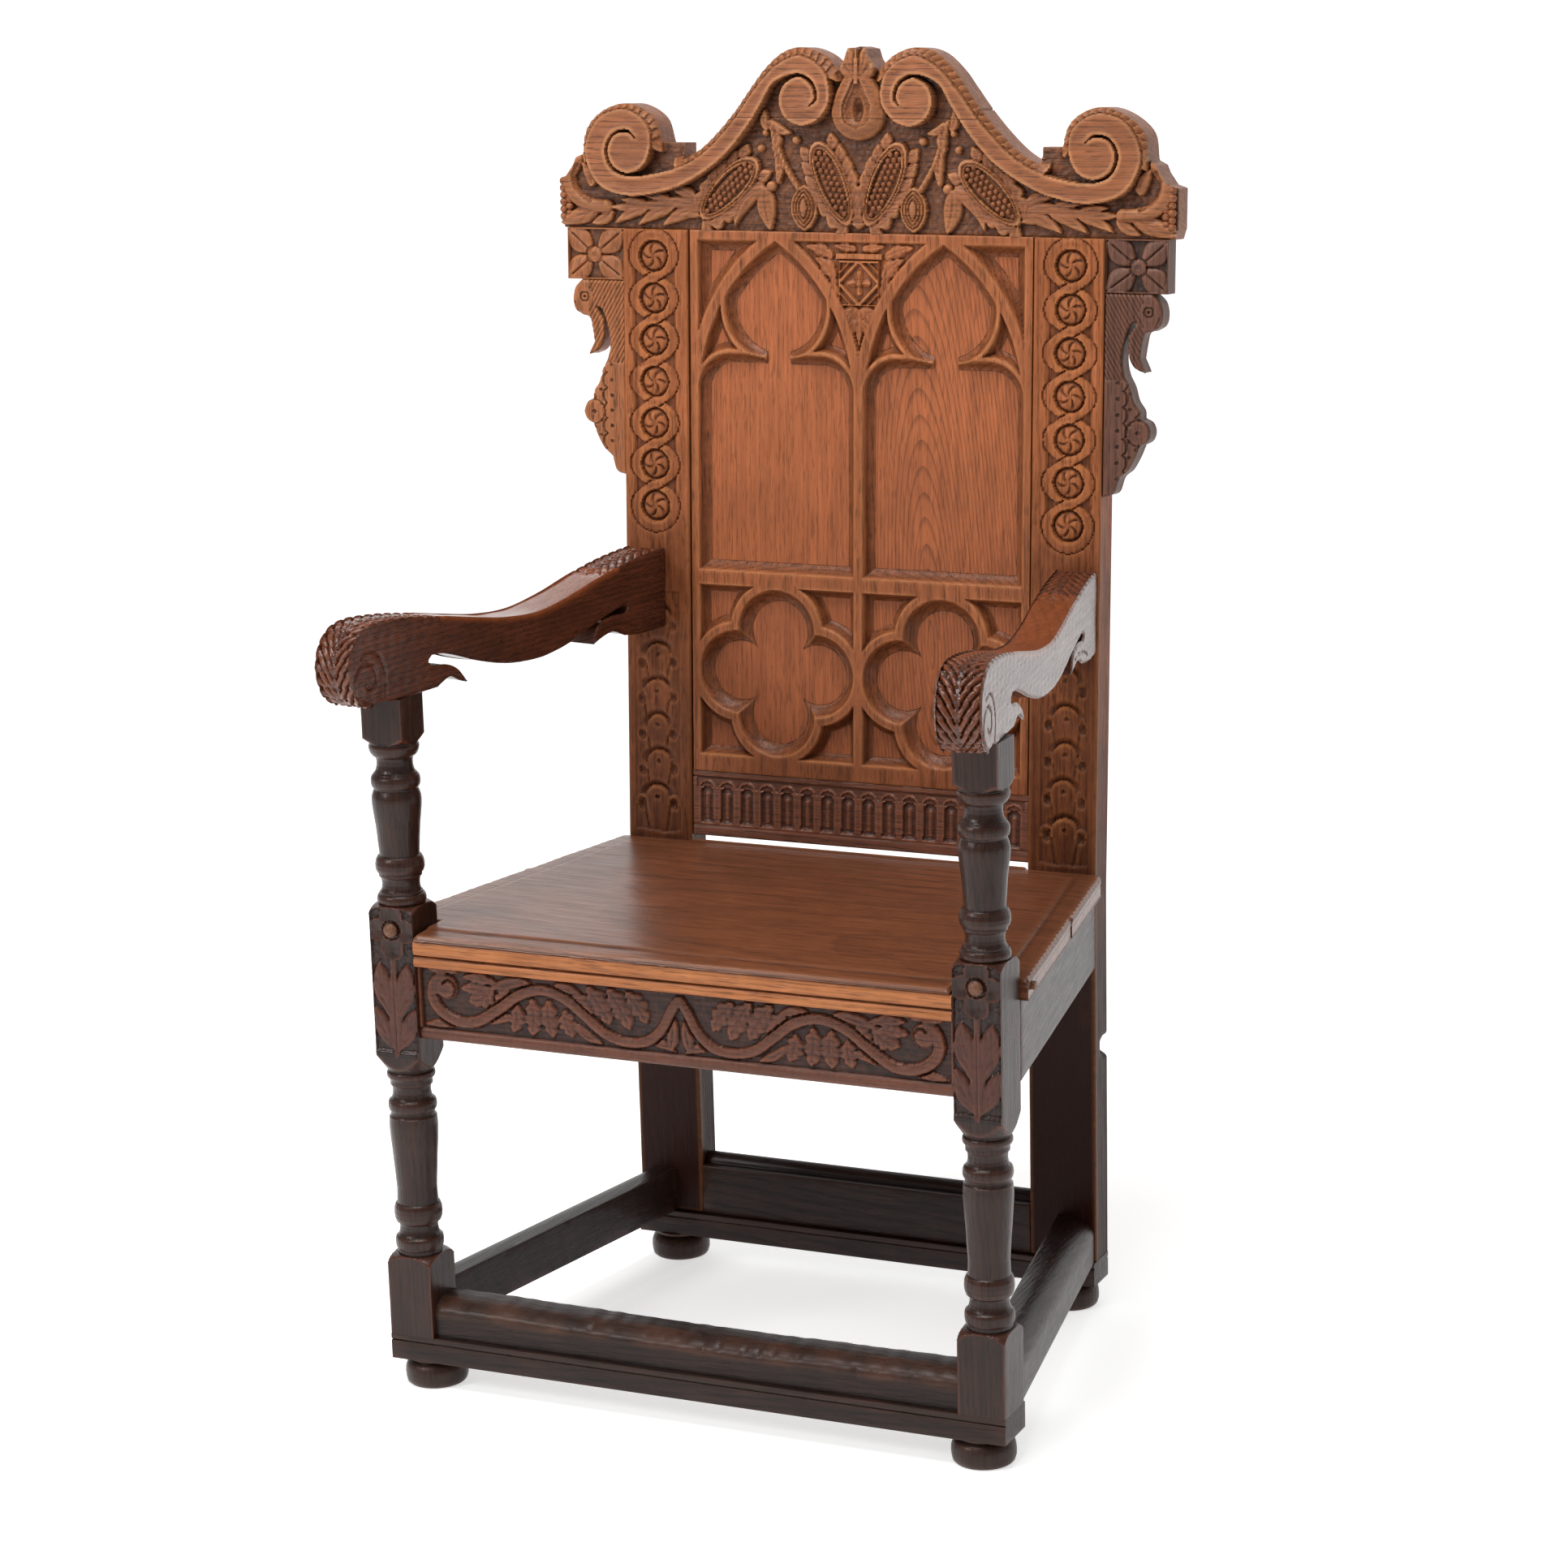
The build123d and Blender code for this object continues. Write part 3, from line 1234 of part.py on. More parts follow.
def bird_curve(*points):
    """Smooth edge of the bird, drawn as (out from the post, drop below the block)."""
    real = scaled(points, EAR_SCALE)
    return Spline([(REAR_HALF + out, BIRD_TOP - drop) for out, drop in real])


def bird_outline():
    """Long-necked bird's head bending down over a scrolled bracket."""
    head = bird_curve((47, 0), (55, 8), (57.5, 21), (55, 30), (47, 35))
    throat = bird_curve((47, 35), (40, 37), (37, 48), (35, 61))
    beak = bird_curve((35, 61), (39, 69), (41, 74))
    bill = bird_curve((41, 74), (30, 69), (24, 57), (24, 39))
    notch = bird_curve((24, 39), (29, 31), (31, 27), (26, 29))
    neck = bird_curve(
        (26, 29),
        (21, 42),
        (17.5, 61),
        (20, 76),
        (26, 88),
        (30, 101),
        (36, 110),
        (36.5, 117),
    )
    knob = bird_curve((36.5, 117), (44, 121), (47, 130), (44, 138), (37, 142))
    tail = bird_curve((37, 142), (32, 154), (25, 166), (17, 173), (11, 188), (0, 191.5))
    crown = Polyline(tail @ 1, (REAR_HALF, BIRD_TOP), head @ 0)
    return make_face([head, throat, beak, bill, notch, neck, knob, tail, crown])


def bird_bracket():
    depth = (EAR_SETBACK, EAR_SETBACK + EAR_DEPTH)
    bracket = upright_solid(bird_outline(), *depth)
    return raked(bracket + ear_tongue((BIRD_FOOT, BIRD_TOP)))


# ------------------------------------------------------------------ assembly
def pair(name, piece):
    """A right-hand piece and its mirror image, as two named nodes."""
    return {"right_" + name: piece, "left_" + name: mirrored(piece)}


def joined_solids(*solids):
    """Loose identical pieces that share one node."""
    return Compound(children=[part for solid in solids for part in solid.solids()])


def chair():
    """Every piece of the chair by name, in construction axes."""
    nodes = {}
    nodes.update(pair("front_foot", foot(FOOT_FRONT_X, FOOT_FRONT_Y, FOOT_HEIGHT)))
    nodes.update(pair("rear_foot", foot(REAR_POST_X, REAR_POST_Y, FOOT_HEIGHT)))
    nodes["front_plinth"] = plinth(
        FRONT_HALF,
        (0, FRONT_PLINTH_DEPTH),
        (FOOT_FRONT_X, FOOT_FRONT_Y),
        (FRONT_POST_X, FRONT_POST_Y),
        (0,),
    )
    rear_front = SIDE_RUN - REAR_PLINTH_LEAD
    nodes["rear_plinth"] = plinth(
        REAR_HALF,
        (rear_front, rear_front + REAR_PLINTH_DEPTH),
        (REAR_POST_X, REAR_POST_Y),
        (REAR_POST_X, REAR_POST_Y),
        (rear_front, rear_front + REAR_PLINTH_DEPTH),
    )
    nodes.update(pair("front_post", front_post()))
    nodes.update(pair("rear_post", rear_post()))
    front_bar = cross_member(stretcher_section(), STRETCHER_SETBACK, FRONT_CLEAR_HALF)
    nodes["front_stretcher"] = front_bar + front_stretcher_tenons(0)
    rear_bar = cross_member(rear_stretcher_section(), SIDE_RUN, REAR_CLEAR_HALF)
    nodes["rear_stretcher"] = rear_bar + rear_stretcher_tenons(0)
    side_bar = side_member(stretcher_section(), SIDE_STRETCHER_SETBACK)
    nodes.update(pair("stretcher", side_bar + side_stretcher_tenons(0)))
    nodes["front_seat_rail"] = front_seat_rail()
    nodes["front_seat_moulding"] = front_seat_moulding()
    nodes["rear_seat_rail"] = rear_seat_rail()
    nodes.update(pair("seat_rail", side_seat_rail()))
    nodes["seat_front_board"], nodes["seat_rear_board"] = seat_boards()
    nodes["seat_pegs"] = joined_solids(seat_peg(0), mirrored(seat_peg(0)))
    nodes.update(pair("post_boss", post_boss()))
    nodes.update(pair("arm", arm()))
    nodes["nulled_rail"] = nulled_rail()
    nodes.update(pair("back_panel", back_panel()))
    nodes["tracery_frame"] = tracery_frame()
    nodes["crest_lower_board"], nodes["crest_upper_board"] = crest_boards()
    nodes.update(pair("ear_block", ear_block()))
    nodes.update(pair("bird_bracket", bird_bracket()))
    return nodes


def main():
    os.makedirs("parts", exist_ok=True)
    nodes = chair()
    boxes = [shape.bounding_box() for shape in nodes.values()]
    front = min(box.min.Y for box in boxes)
    back = max(box.max.Y for box in boxes)
    to_origin = Pos(0, -(front + back) / 2, 0)
    for name, shape in nodes.items():
        export_step(to_origin * shape, f"parts/{name}.step")


main()
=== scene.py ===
"""Joined oak wainscot chair: carved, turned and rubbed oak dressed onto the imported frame.

Every drawing here is in millimetres. x runs to the viewer's right, y from the front posts'
faces to the back, z up from the floor. A piece of the back is drawn upright, as x, height
and depth behind the rear posts' faces, and is then leaned with the posts.
"""

import logging
import math
from dataclasses import dataclass, field, replace
from enum import Enum
from functools import partial
from typing import Callable, Sequence

import bmesh
import bpy
import numpy as np
from mathutils import Matrix, Vector
from mathutils.geometry import tessellate_polygon


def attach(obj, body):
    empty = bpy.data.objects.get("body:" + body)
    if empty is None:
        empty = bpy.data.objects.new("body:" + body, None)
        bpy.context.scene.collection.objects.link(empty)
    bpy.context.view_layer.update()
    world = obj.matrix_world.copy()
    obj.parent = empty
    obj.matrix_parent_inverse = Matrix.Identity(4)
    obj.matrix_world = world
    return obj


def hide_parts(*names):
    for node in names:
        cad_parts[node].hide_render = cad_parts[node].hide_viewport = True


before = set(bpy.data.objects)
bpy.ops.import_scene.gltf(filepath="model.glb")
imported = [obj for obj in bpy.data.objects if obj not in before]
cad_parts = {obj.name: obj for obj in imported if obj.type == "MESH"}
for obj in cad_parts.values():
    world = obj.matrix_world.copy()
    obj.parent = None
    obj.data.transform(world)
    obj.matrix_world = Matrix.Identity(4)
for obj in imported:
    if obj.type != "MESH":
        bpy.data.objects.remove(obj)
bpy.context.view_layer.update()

LOG = logging.getLogger("wainscot_chair")
Array = np.ndarray
Point = tuple[float, float]
Tree = bpy.types.NodeTree
Socket = bpy.types.NodeSocket
Object = bpy.types.Object
Place = Callable[[Array, Array, Array], Array]
Outline = Callable[[Array, Array], Array]

MM = 1000.0
FAR = 1e9
FINE_CELL = 64
SHARP_ANGLE = math.radians(42)
ARRIS_ANGLE = math.radians(28)
MOST_FACES = 60000

# Sizes that the whole chair shares, as in the part's source
ORIGIN_Y = 213.1416
FRONT_HALF = 314.0
REAR_HALF = 251.0
REAR_CLEAR_HALF = 181.0
SIDE_RUN = 412.5
FRONT_POST_DEPTH = 48.0
FRONT_POST_WIDTH = 46.0
SEAT_TOP = 453.0
SEAT_UNDERSIDE = 431.0
PLINTH_TOP = 52.8
ARM_SEAT = 671.0
BACK_TOP = 1056.0
RAKE = math.radians(3.16)


# ------------------------------------------------------------------ places in the chair
def in_chair(x: Array, y: Array, z: Array) -> Array:
    """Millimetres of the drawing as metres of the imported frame.

    Args:
        x, y, z: coordinates of the points.
    Returns:
        One row of three metres for each point.
    """
    x, y, z = np.broadcast_arrays(x, y, z)
    return np.stack([x, y - ORIGIN_Y, z], axis=-1).reshape(-1, 3) / MM


def on_back(x: Array, z: Array, depth: Array) -> Array:
    """Points of the leaning back, from x, height and depth behind the posts' faces.

    Args:
        x: across the chair.
        z: height from the floor, measured up the leaning back.
        depth: how far behind the posts' faces.
    Returns:
        One row of three metres for each point.
    """
    rise = z - SEAT_UNDERSIDE
    y = SIDE_RUN + depth * math.cos(RAKE) + rise * math.sin(RAKE)
    return in_chair(x, y, SEAT_UNDERSIDE + rise * math.cos(RAKE) - depth * math.sin(RAKE))


def on_rear_post(x: Array, z: Array, depth: Array) -> Array:
    """Points of a rear post, which is plumb under the seat and leans above it.

    Args:
        x: across the chair.
        z: height from the floor, measured along the post.
        depth: how far behind its face.
    Returns:
        One row of three metres for each point.
    """
    leaning = on_back(x, z, depth)
    plumb = in_chair(x, SIDE_RUN + depth, z)
    above = np.broadcast_to(z, np.broadcast(x, z, depth).shape).reshape(-1) > SEAT_UNDERSIDE
    return np.where(above[:, None], leaning, plumb)


def on_front(setback: float) -> Place:
    """Place for a board that faces forwards, its face a setback behind the post faces."""
    return lambda x, z, depth: in_chair(x, setback + depth, z)


def on_seat(x: Array, y: Array, depth: Array) -> Array:
    """Points of the seat, with depth measured down from its top."""
    return in_chair(x, y, SEAT_TOP - depth)


# ------------------------------------------------------------------ drawing
def smooth_path(points: Sequence[Point], per: int = 8) -> Array:
    """Rounded line through points.

    Args:
        points: the places that it passes through.
        per: short steps in each span.
    Returns:
        The line's points, one row each.
    """
    p = np.asarray(points, float)
    p = np.vstack([2 * p[0] - p[1], p, 2 * p[-1] - p[-2]])
    out = []
    for a, b, c, d in zip(p[:-3], p[1:-2], p[2:-1], p[3:]):
        ta = 0.0
        tb = ta + max(np.hypot(*(b - a)), 1e-6) ** 0.5
        tc = tb + max(np.hypot(*(c - b)), 1e-6) ** 0.5
        td = tc + max(np.hypot(*(d - c)), 1e-6) ** 0.5
        t = np.linspace(tb, tc, per, endpoint=False)[:, None]
        a1 = (tb - t) / (tb - ta) * a + (t - ta) / (tb - ta) * b
        a2 = (tc - t) / (tc - tb) * b + (t - tb) / (tc - tb) * c
        a3 = (td - t) / (td - tc) * c + (t - tc) / (td - tc) * d
        b1 = (tc - t) / (tc - ta) * a1 + (t - ta) / (tc - ta) * a2
        b2 = (td - t) / (td - tb) * a2 + (t - tb) / (td - tb) * a3
        out.append((tc - t) / (tc - tb) * b1 + (t - tb) / (tc - tb) * b2)
    out.append(p[-2][None])
    return np.vstack(out)


def unit(value: Array) -> Array:
    """Value held between 0 and 1."""
    return np.clip(value, 0, 1)


def polar(centre: Point, radius: float, degrees: float) -> Point:
    """Point at a distance and direction from a centre."""
    a = math.radians(degrees)
    return (centre[0] + radius * math.cos(a), centre[1] + radius * math.sin(a))


def to_polygon(u: Array, v: Array, outline: Array) -> Array:
    """Signed distance to a closed outline, negative inside.

    Args:
        u, v: the points to measure from.
        outline: the corners in order, one row each.
    Returns:
        The distance of each point.
    """
    best = np.full(u.shape, FAR)
    inside = np.zeros(u.shape, bool)
    for (ax, ay), (bx, by) in zip(outline, np.roll(outline, -1, axis=0)):
        ex, ey = bx - ax, by - ay
        t = unit(((u - ax) * ex + (v - ay) * ey) / max(ex * ex + ey * ey, 1e-12))
        best = np.minimum(best, (u - ax - t * ex) ** 2 + (v - ay - t * ey) ** 2)
        if ay != by:
            crossed = (ay > v) != (by > v)
            inside ^= crossed & (u < ax + (v - ay) * ex / ey)
    return np.where(inside, -1.0, 1.0) * np.sqrt(best)


def to_path(u: Array, v: Array, path: Array) -> tuple[Array, Array, Array]:
    """Distance to an open line, with the way along it and the side.

    Args:
        u, v: the points to measure from.
        path: the line's points, one row each.
    Returns:
        Distance, length along the line, and 1 or -1 for the left or right side.
    """
    best = np.full(u.shape, FAR)
    along = np.zeros(u.shape)
    side = np.ones(u.shape)
    gone = 0.0
    for (ax, ay), (bx, by) in zip(path[:-1], path[1:]):
        ex, ey = bx - ax, by - ay
        length = math.hypot(ex, ey)
        t = unit(((u - ax) * ex + (v - ay) * ey) / max(length * length, 1e-12))
        d = np.hypot(u - ax - t * ex, v - ay - t * ey)
        near = d < best
        best = np.where(near, d, best)
        along = np.where(near, gone + t * length, along)
        side = np.where(near, np.where(ex * (v - ay) - ey * (u - ax) >= 0, 1.0, -1.0), side)
        gone += length
    return best, along, side


def to_box(u: Array, v: Array, low: Point, high: Point, corner: float = 0.0) -> Array:
    """Signed distance to an upright rectangle with rounded corners.

    Args:
        u, v: the points.
        low, high: opposite corners.
        corner: radius of its corners.
    Returns:
        The distance of each point.
    """
    du = np.abs(u - (low[0] + high[0]) / 2) - (high[0] - low[0]) / 2 + corner
    dv = np.abs(v - (low[1] + high[1]) / 2) - (high[1] - low[1]) / 2 + corner
    outside = np.hypot(np.maximum(du, 0), np.maximum(dv, 0))
    return outside + np.minimum(np.maximum(du, dv), 0) - corner


def to_disc(u: Array, v: Array, centre: Point, radius: float) -> Array:
    """Signed distance to a circle."""
    return np.hypot(u - centre[0], v - centre[1]) - radius


def ripple(u: Array, v: Array, size: float, seed: int) -> Array:
    """Uneven surface between -1 and 1 that a hand tool leaves.

    Args:
        u, v: the points.
        size: how far apart its swells are, in mm.
        seed: which surface.
    Returns:
        The swell at each point.
    """
    rng = np.random.default_rng(seed)
    total = np.zeros(np.broadcast(u, v).shape)
    for _ in range(7):
        angle, phase = rng.uniform(0, math.tau, 2)
        pitch = math.tau / (size * rng.uniform(0.7, 1.8))
        total = total + np.sin((u * math.cos(angle) + v * math.sin(angle)) * pitch + phase)
    return total / 4.0


def pricked(u: Array, v: Array, size: float, seed: int) -> Array:
    """Random value from 0 to 1 in cells of a size, smoothly joined, for a punched ground.

    Args:
        u, v: the points.
        size: width of a cell, in mm.
        seed: which table of values.
    Returns:
        The value at each point.
    """
    rng = np.random.default_rng(seed)
    table = rng.random((FINE_CELL, FINE_CELL))
    gu, gv = u / size, v / size
    iu, iv = np.floor(gu).astype(int), np.floor(gv).astype(int)
    fu, fv = gu - iu, gv - iv
    fu, fv = fu * fu * (3 - 2 * fu), fv * fv * (3 - 2 * fv)
    iu, iv, ju, jv = (k % FINE_CELL for k in (iu, iv, iu + 1, iv + 1))
    a = table[iu, iv] * (1 - fu) + table[ju, iv] * fu
    b = table[iu, jv] * (1 - fu) + table[ju, jv] * fu
    return a * (1 - fv) + b * fv


def blurred(values: Array, reach: int) -> Array:
    """Mean of each value's neighbours within a reach, in both directions.

    Args:
        values: a table.
        reach: how many neighbours on each side.
    Returns:
        The means, in the same shape.
    """
    out = values
    for axis in (0, 1):
        padded = np.pad(out, [(reach + 1, reach) if a == axis else (0, 0) for a in (0, 1)], mode="edge")
        total = np.cumsum(padded, axis=axis)
        n = out.shape[axis]
        high = np.take(total, np.arange(2 * reach + 1, 2 * reach + 1 + n), axis=axis)
        low = np.take(total, np.arange(0, n), axis=axis)
        out = (high - low) / (2 * reach + 1)
    return out


@dataclass
class Carving:
    """The height that a carver leaves over a board's face, in mm towards the viewer."""

    u: Array
    v: Array
    h: Array = field(init=False)

    def __post_init__(self) -> None:
        """Start from a flat face."""
        self.h = np.zeros(self.u.shape)

    def raise_to(self, inside: Array, height: Array) -> None:
        """Bring the face up to a height wherever it is lower."""
        self.h = np.where(inside, np.maximum(self.h, height), self.h)

    def sink_to(self, inside: Array, height: Array) -> None:
        """Cut the face down to a height wherever it is higher."""
        self.h = np.where(inside, np.minimum(self.h, height), self.h)

    def put(self, inside: Array, height: Array) -> None:
        """Set the face to a height, whatever it was."""
        self.h = np.where(inside, height, self.h)

    def cut(self, inside: Array, depth: Array) -> None:
        """Cut the face down by a depth."""
        self.h = np.where(inside, self.h - depth, self.h)

    def mound(self, distance: Array, width: float, base: float, rise: float) -> None:
        """Rounded form inside a signed distance.

        Args:
            distance: signed distance to its outline.
            width: how far in from the outline it stops rising.
            base: height that it stands up to at its outline.
            rise: how much higher its middle is.
        """
        t = unit(-distance / width)
        self.raise_to(distance < 0, base + rise * np.sqrt(1 - (1 - t) ** 2))

    def strap(self, path: Array, half: float, base: float, rise: float, taper: float = 0.0) -> None:
        """Rounded band along a line, thinner towards its end where it tapers.

        Args:
            path: its middle line.
            half: half of its width at the start.
            base, rise: height at its edge, and how much higher its middle is.
            taper: share of its width that is gone at the end.
        """
        d, along, _ = to_path(self.u, self.v, path)
        total = np.hypot(*np.diff(path, axis=0).T).sum()
        width = half * (1 - taper * along / total)
        t = unit(d / np.maximum(width, 1e-3))
        self.raise_to(d < width, base + rise * np.sqrt(1 - t * t))

    def rope(self, path: Array, half: float, base: float, rise: float, lay: float) -> None:
        """Twisted cord along a line, with strands that repeat at the lay.

        Args:
            path: its middle line.
            half: half of its width.
            base, rise: height at its edge, and how much higher its middle is.
            lay: length along it from strand to strand.
        """
        d, along, side = to_path(self.u, self.v, path)
        t = unit(d / half)
        strands = 0.5 + 0.5 * np.cos(math.tau * (along + side * d * 0.9) / lay)
        self.raise_to(d < half, base + rise * np.sqrt(1 - t * t) * (0.55 + 0.45 * strands))

    def leaf(
        self, base: Point, tip: Point, half: float, bend: float = 0.0, foot: float = 3.0, rise: float = 3.5,
        lobes: float = 0.0, veins: float = 0.0, full: float = 0.75,
    ) -> None:
        """Leaf from a base to a tip, veined and lobed, its middle line bowed sideways.

        Args:
            base, tip: where the leaf starts and ends.
            half: half of its greatest width.
            bend: how far its middle line bows to the left of the way to the tip.
            foot: height at its edge.
            rise: how much higher it is inside.
            lobes: number of lobes down each edge.
            veins: number of side veins.
            full: below 1 the leaf is widest near its base, above 1 near its tip.
        """
        dx, dz = tip[0] - base[0], tip[1] - base[1]
        length = math.hypot(dx, dz)
        near = (np.abs(self.u - (base[0] + tip[0]) / 2) < length) & (
            np.abs(self.v - (base[1] + tip[1]) / 2) < length
        )
        a = ((self.u - base[0]) * dx + (self.v - base[1]) * dz) / length**2
        s = (-(self.u - base[0]) * dz + (self.v - base[1]) * dx) / length
        on = near & (a > 0) & (a < 1)
        a = np.clip(a, 1e-4, 1 - 1e-4)
        s = s - bend * 4 * a * (1 - a)
        w = half * np.sin(math.pi * a**full) ** 0.7
        if lobes:
            w = w * (0.66 + 0.34 * np.abs(np.cos(math.pi * lobes * a)) ** 0.7)
        t = unit(np.abs(s) / np.maximum(w, 1e-3))
        h = foot + rise * np.sqrt(1 - t**2.2)
        h = h - 0.9 * np.exp(-((s / 0.9) ** 2)) * unit(half / 4)
        if veins:
            h = h - 0.55 * (0.5 + 0.5 * np.cos(math.tau * (a * veins - 0.9 * t))) ** 3 * (t > 0.12)
        self.raise_to(on & (t < 1), h)


# ------------------------------------------------------------------ meshes
@dataclass
class Skin:
    """A mesh in the making: metres, faces, how rubbed each point is, and its dirt and painted shade."""

    points: Array
    faces: list[tuple[int, ...]]
    rubbed: Array
    grime_and_shade: Array


@dataclass
class Board:
    """A board cut to an outline, carved on its face and, if wanted, on its back and edges.

    The face is a fine grid whose rim follows the outline. Depth runs from the face to the
    back, and a carved height comes off it. Soil and shade: the height under which the wood
    is darkened, for dirt and painted shade in the hollows, over what depth, and how much of it.
    Joint is 1 where the rim is a tight joint and stays square, and 0 elsewhere.
    """

    low: Point
    high: Point
    step: float
    depth: float
    place: Place
    outline: Outline
    carve: Callable[[Carving], None]
    back_carve: Callable[[Carving], None] | None = None
    edge_radius: float = 0.8
    columns: int = 1
    edge: Place | None = None
    relief: float = 1.6
    soil_and_shade: tuple[float, float, float] | None = None
    joint: Outline | None = None

    def grid(self) -> tuple[Array, Array, Array, Array, Array]:
        """Grid points brought onto the outline, which cells are used, and the way out.

        Returns:
            Both coordinates of each point, which cells are used, which points are on the
            rim, and the way out from the board at each point.
        """
        nu = max(2, round((self.high[0] - self.low[0]) / self.step) + 1)
        nv = max(2, round((self.high[1] - self.low[1]) / self.step) + 1)
        u, v = np.meshgrid(
            np.linspace(self.low[0], self.high[0], nu), np.linspace(self.low[1], self.high[1], nv),
            indexing="ij",
        )
        s = self.outline(u, v)
        cells = (s[:-1, :-1] + s[1:, :-1] + s[:-1, 1:] + s[1:, 1:]) / 4 < 0.02
        for _ in range(3):
            slant = cells[:-1, :-1] & cells[1:, 1:] & ~cells[1:, :-1] & ~cells[:-1, 1:]
            other = ~cells[:-1, :-1] & ~cells[1:, 1:] & cells[1:, :-1] & cells[:-1, 1:]
            cells[1:, :-1] |= slant
            cells[:-1, :-1] |= other
        gap = 0.05
        gu = (self.outline(u + gap, v) - self.outline(u - gap, v)) / (2 * gap)
        gv = (self.outline(u, v + gap) - self.outline(u, v - gap)) / (2 * gap)
        size = np.maximum(np.hypot(gu, gv), 1e-6)
        used = np.zeros((nu + 1, nv + 1), int)
        used[1:-1, 1:-1] = cells
        around = used[:-1, :-1] + used[1:, :-1] + used[:-1, 1:] + used[1:, 1:]
        rim = (around > 0) & (around < 4)
        shift = np.where(rim, np.clip(s, -self.step, self.step), 0.0)
        return u - shift * gu / size, v - shift * gv / size, cells, rim, np.stack([gu / size, gv / size])

    def skin(self) -> Skin:
        """The closed mesh of the board.

        Returns:
            Points, faces, wear, and dirt and painted shade, with the face's points first.
        """
        u, v, cells, rim, out = self.grid()
        s = np.where(rim, 0.0, self.outline(u, v))
        front = self.height(u, v, s, self.carve)
        used = np.zeros(u.shape, bool)
        for du, dv in ((0, 0), (0, 1), (1, 0), (1, 1)):
            used[du : du + cells.shape[0], dv : dv + cells.shape[1]] |= cells
        index = np.full(u.shape, -1)
        index[used] = np.arange(used.sum())
        count = int(used.sum())
        i, j = np.nonzero(cells)
        quads = np.stack([index[i, j], index[i + 1, j], index[i + 1, j + 1], index[i, j + 1]], axis=1)
        sets = [self.place(u[used], v[used], -front[used])]
        # Points below their neighbours are darkened, for dirt and painted shade in the hollows, and points
        # above them are rubbed lighter; under the set height the sunk ground darkens too
        change = front - blurred(front, 3)
        rubbed = unit(change / self.relief)
        grime_and_shade = unit(-change / self.relief)
        if self.soil_and_shade:
            level, reach, most = self.soil_and_shade
            grime_and_shade = np.maximum(grime_and_shade, most * unit((level - front) / reach))
        rubbed[rim] = np.maximum(rubbed[rim], 0.55)
        marks = [(rubbed[used], grime_and_shade[used])]
        faces = quads.tolist()
        loops = self.loops(cells, index)
        flat_u, flat_v = u[used], v[used]
        out_u, out_v = out[0][used], out[1][used]
        if self.back_carve:
            behind = self.height(u, v, s, self.back_carve)
            sets.append(self.place(u[used], v[used], self.depth + behind[used]))
            marks.append((rubbed[used] * 0, grime_and_shade[used] * 0))
            faces += (quads[:, ::-1] + count).tolist()
            back_of = {k: k + count for loop in loops for k in loop}
        else:
            at = np.array([k for loop in loops for k in loop])
            sets.append(self.place(flat_u[at], flat_v[at], np.full(len(at), self.depth)))
            marks.append((np.zeros(len(at)), np.zeros(len(at))))
            back_of = dict(zip(at.tolist(), range(count, count + len(at))))
            faces += self.filled(loops, flat_u, flat_v, count)
        front_depth = -front[used]
        for loop in loops:
            at = np.array(loop)
            rings = [at]
            for column in range(1, self.columns):
                t = column / self.columns
                push = self.edge(flat_u[at], flat_v[at], np.full(len(at), t)) if self.edge else 0.0
                depth = front_depth[at] * (1 - t) + self.depth * t
                base = sum(len(part) for part in sets)
                where = self.place(flat_u[at] + out_u[at] * push, flat_v[at] + out_v[at] * push, depth)
                sets.append(where)
                push = np.broadcast_to(push, at.shape)
                # Grooves in the edge are darkened, for dirt and painted shade; swells are rubbed lighter
                swell = push - blurred(push[:, None], 3)[:, 0]
                marks.append((unit(swell), unit(-swell)))
                rings.append(base + np.arange(len(at)))
            rings.append(np.array([back_of[k] for k in loop]))
            for a, b in zip(rings[:-1], rings[1:]):
                wall = np.stack([np.roll(a, -1), a, b, np.roll(b, -1)], axis=1)
                faces += wall.tolist()
        rubbed, grime_and_shade = (np.concatenate(values) for values in zip(*marks))
        return Skin(np.vstack(sets), faces, rubbed, grime_and_shade)

    def height(self, u: Array, v: Array, s: Array, carve: Callable[[Carving], None]) -> Array:
        """Carved height with its rim rounded over.

        Args:
            u, v: the points.
            s: signed distance of each to the outline.
            carve: what is carved there.
        Returns:
            The height of each point.
        """
        carving = Carving(u, v)
        carve(carving)
        if self.joint:
            s = np.minimum(s, -self.edge_radius * unit(self.joint(u, v)))
        t = unit(1 + s / self.edge_radius)
        return carving.h - self.edge_radius * (1 - np.sqrt(1 - t * t)) * (s <= 0.01)

    @staticmethod
    def filled(loops: list[list[int]], u: Array, v: Array, base: int) -> list[tuple[int, ...]]:
        """Flat back between the rims, holes and all, facing away from the front.

        Args:
            loops: the rims, as point numbers of the face.
            u, v: where the face's points are.
            base: number of the back's first point.
        Returns:
            Triangles of the back's points.
        """
        lines = [[Vector((u[k], v[k], 0.0)) for k in loop] for loop in loops]
        corners = np.array([k for loop in loops for k in loop])
        faces = []
        for a, b, c in tessellate_polygon(lines):
            p, q, r = corners[a], corners[b], corners[c]
            turn = (u[q] - u[p]) * (v[r] - v[p]) - (v[q] - v[p]) * (u[r] - u[p])
            faces.append((base + a, base + c, base + b) if turn > 0 else (base + a, base + b, base + c))
        return faces

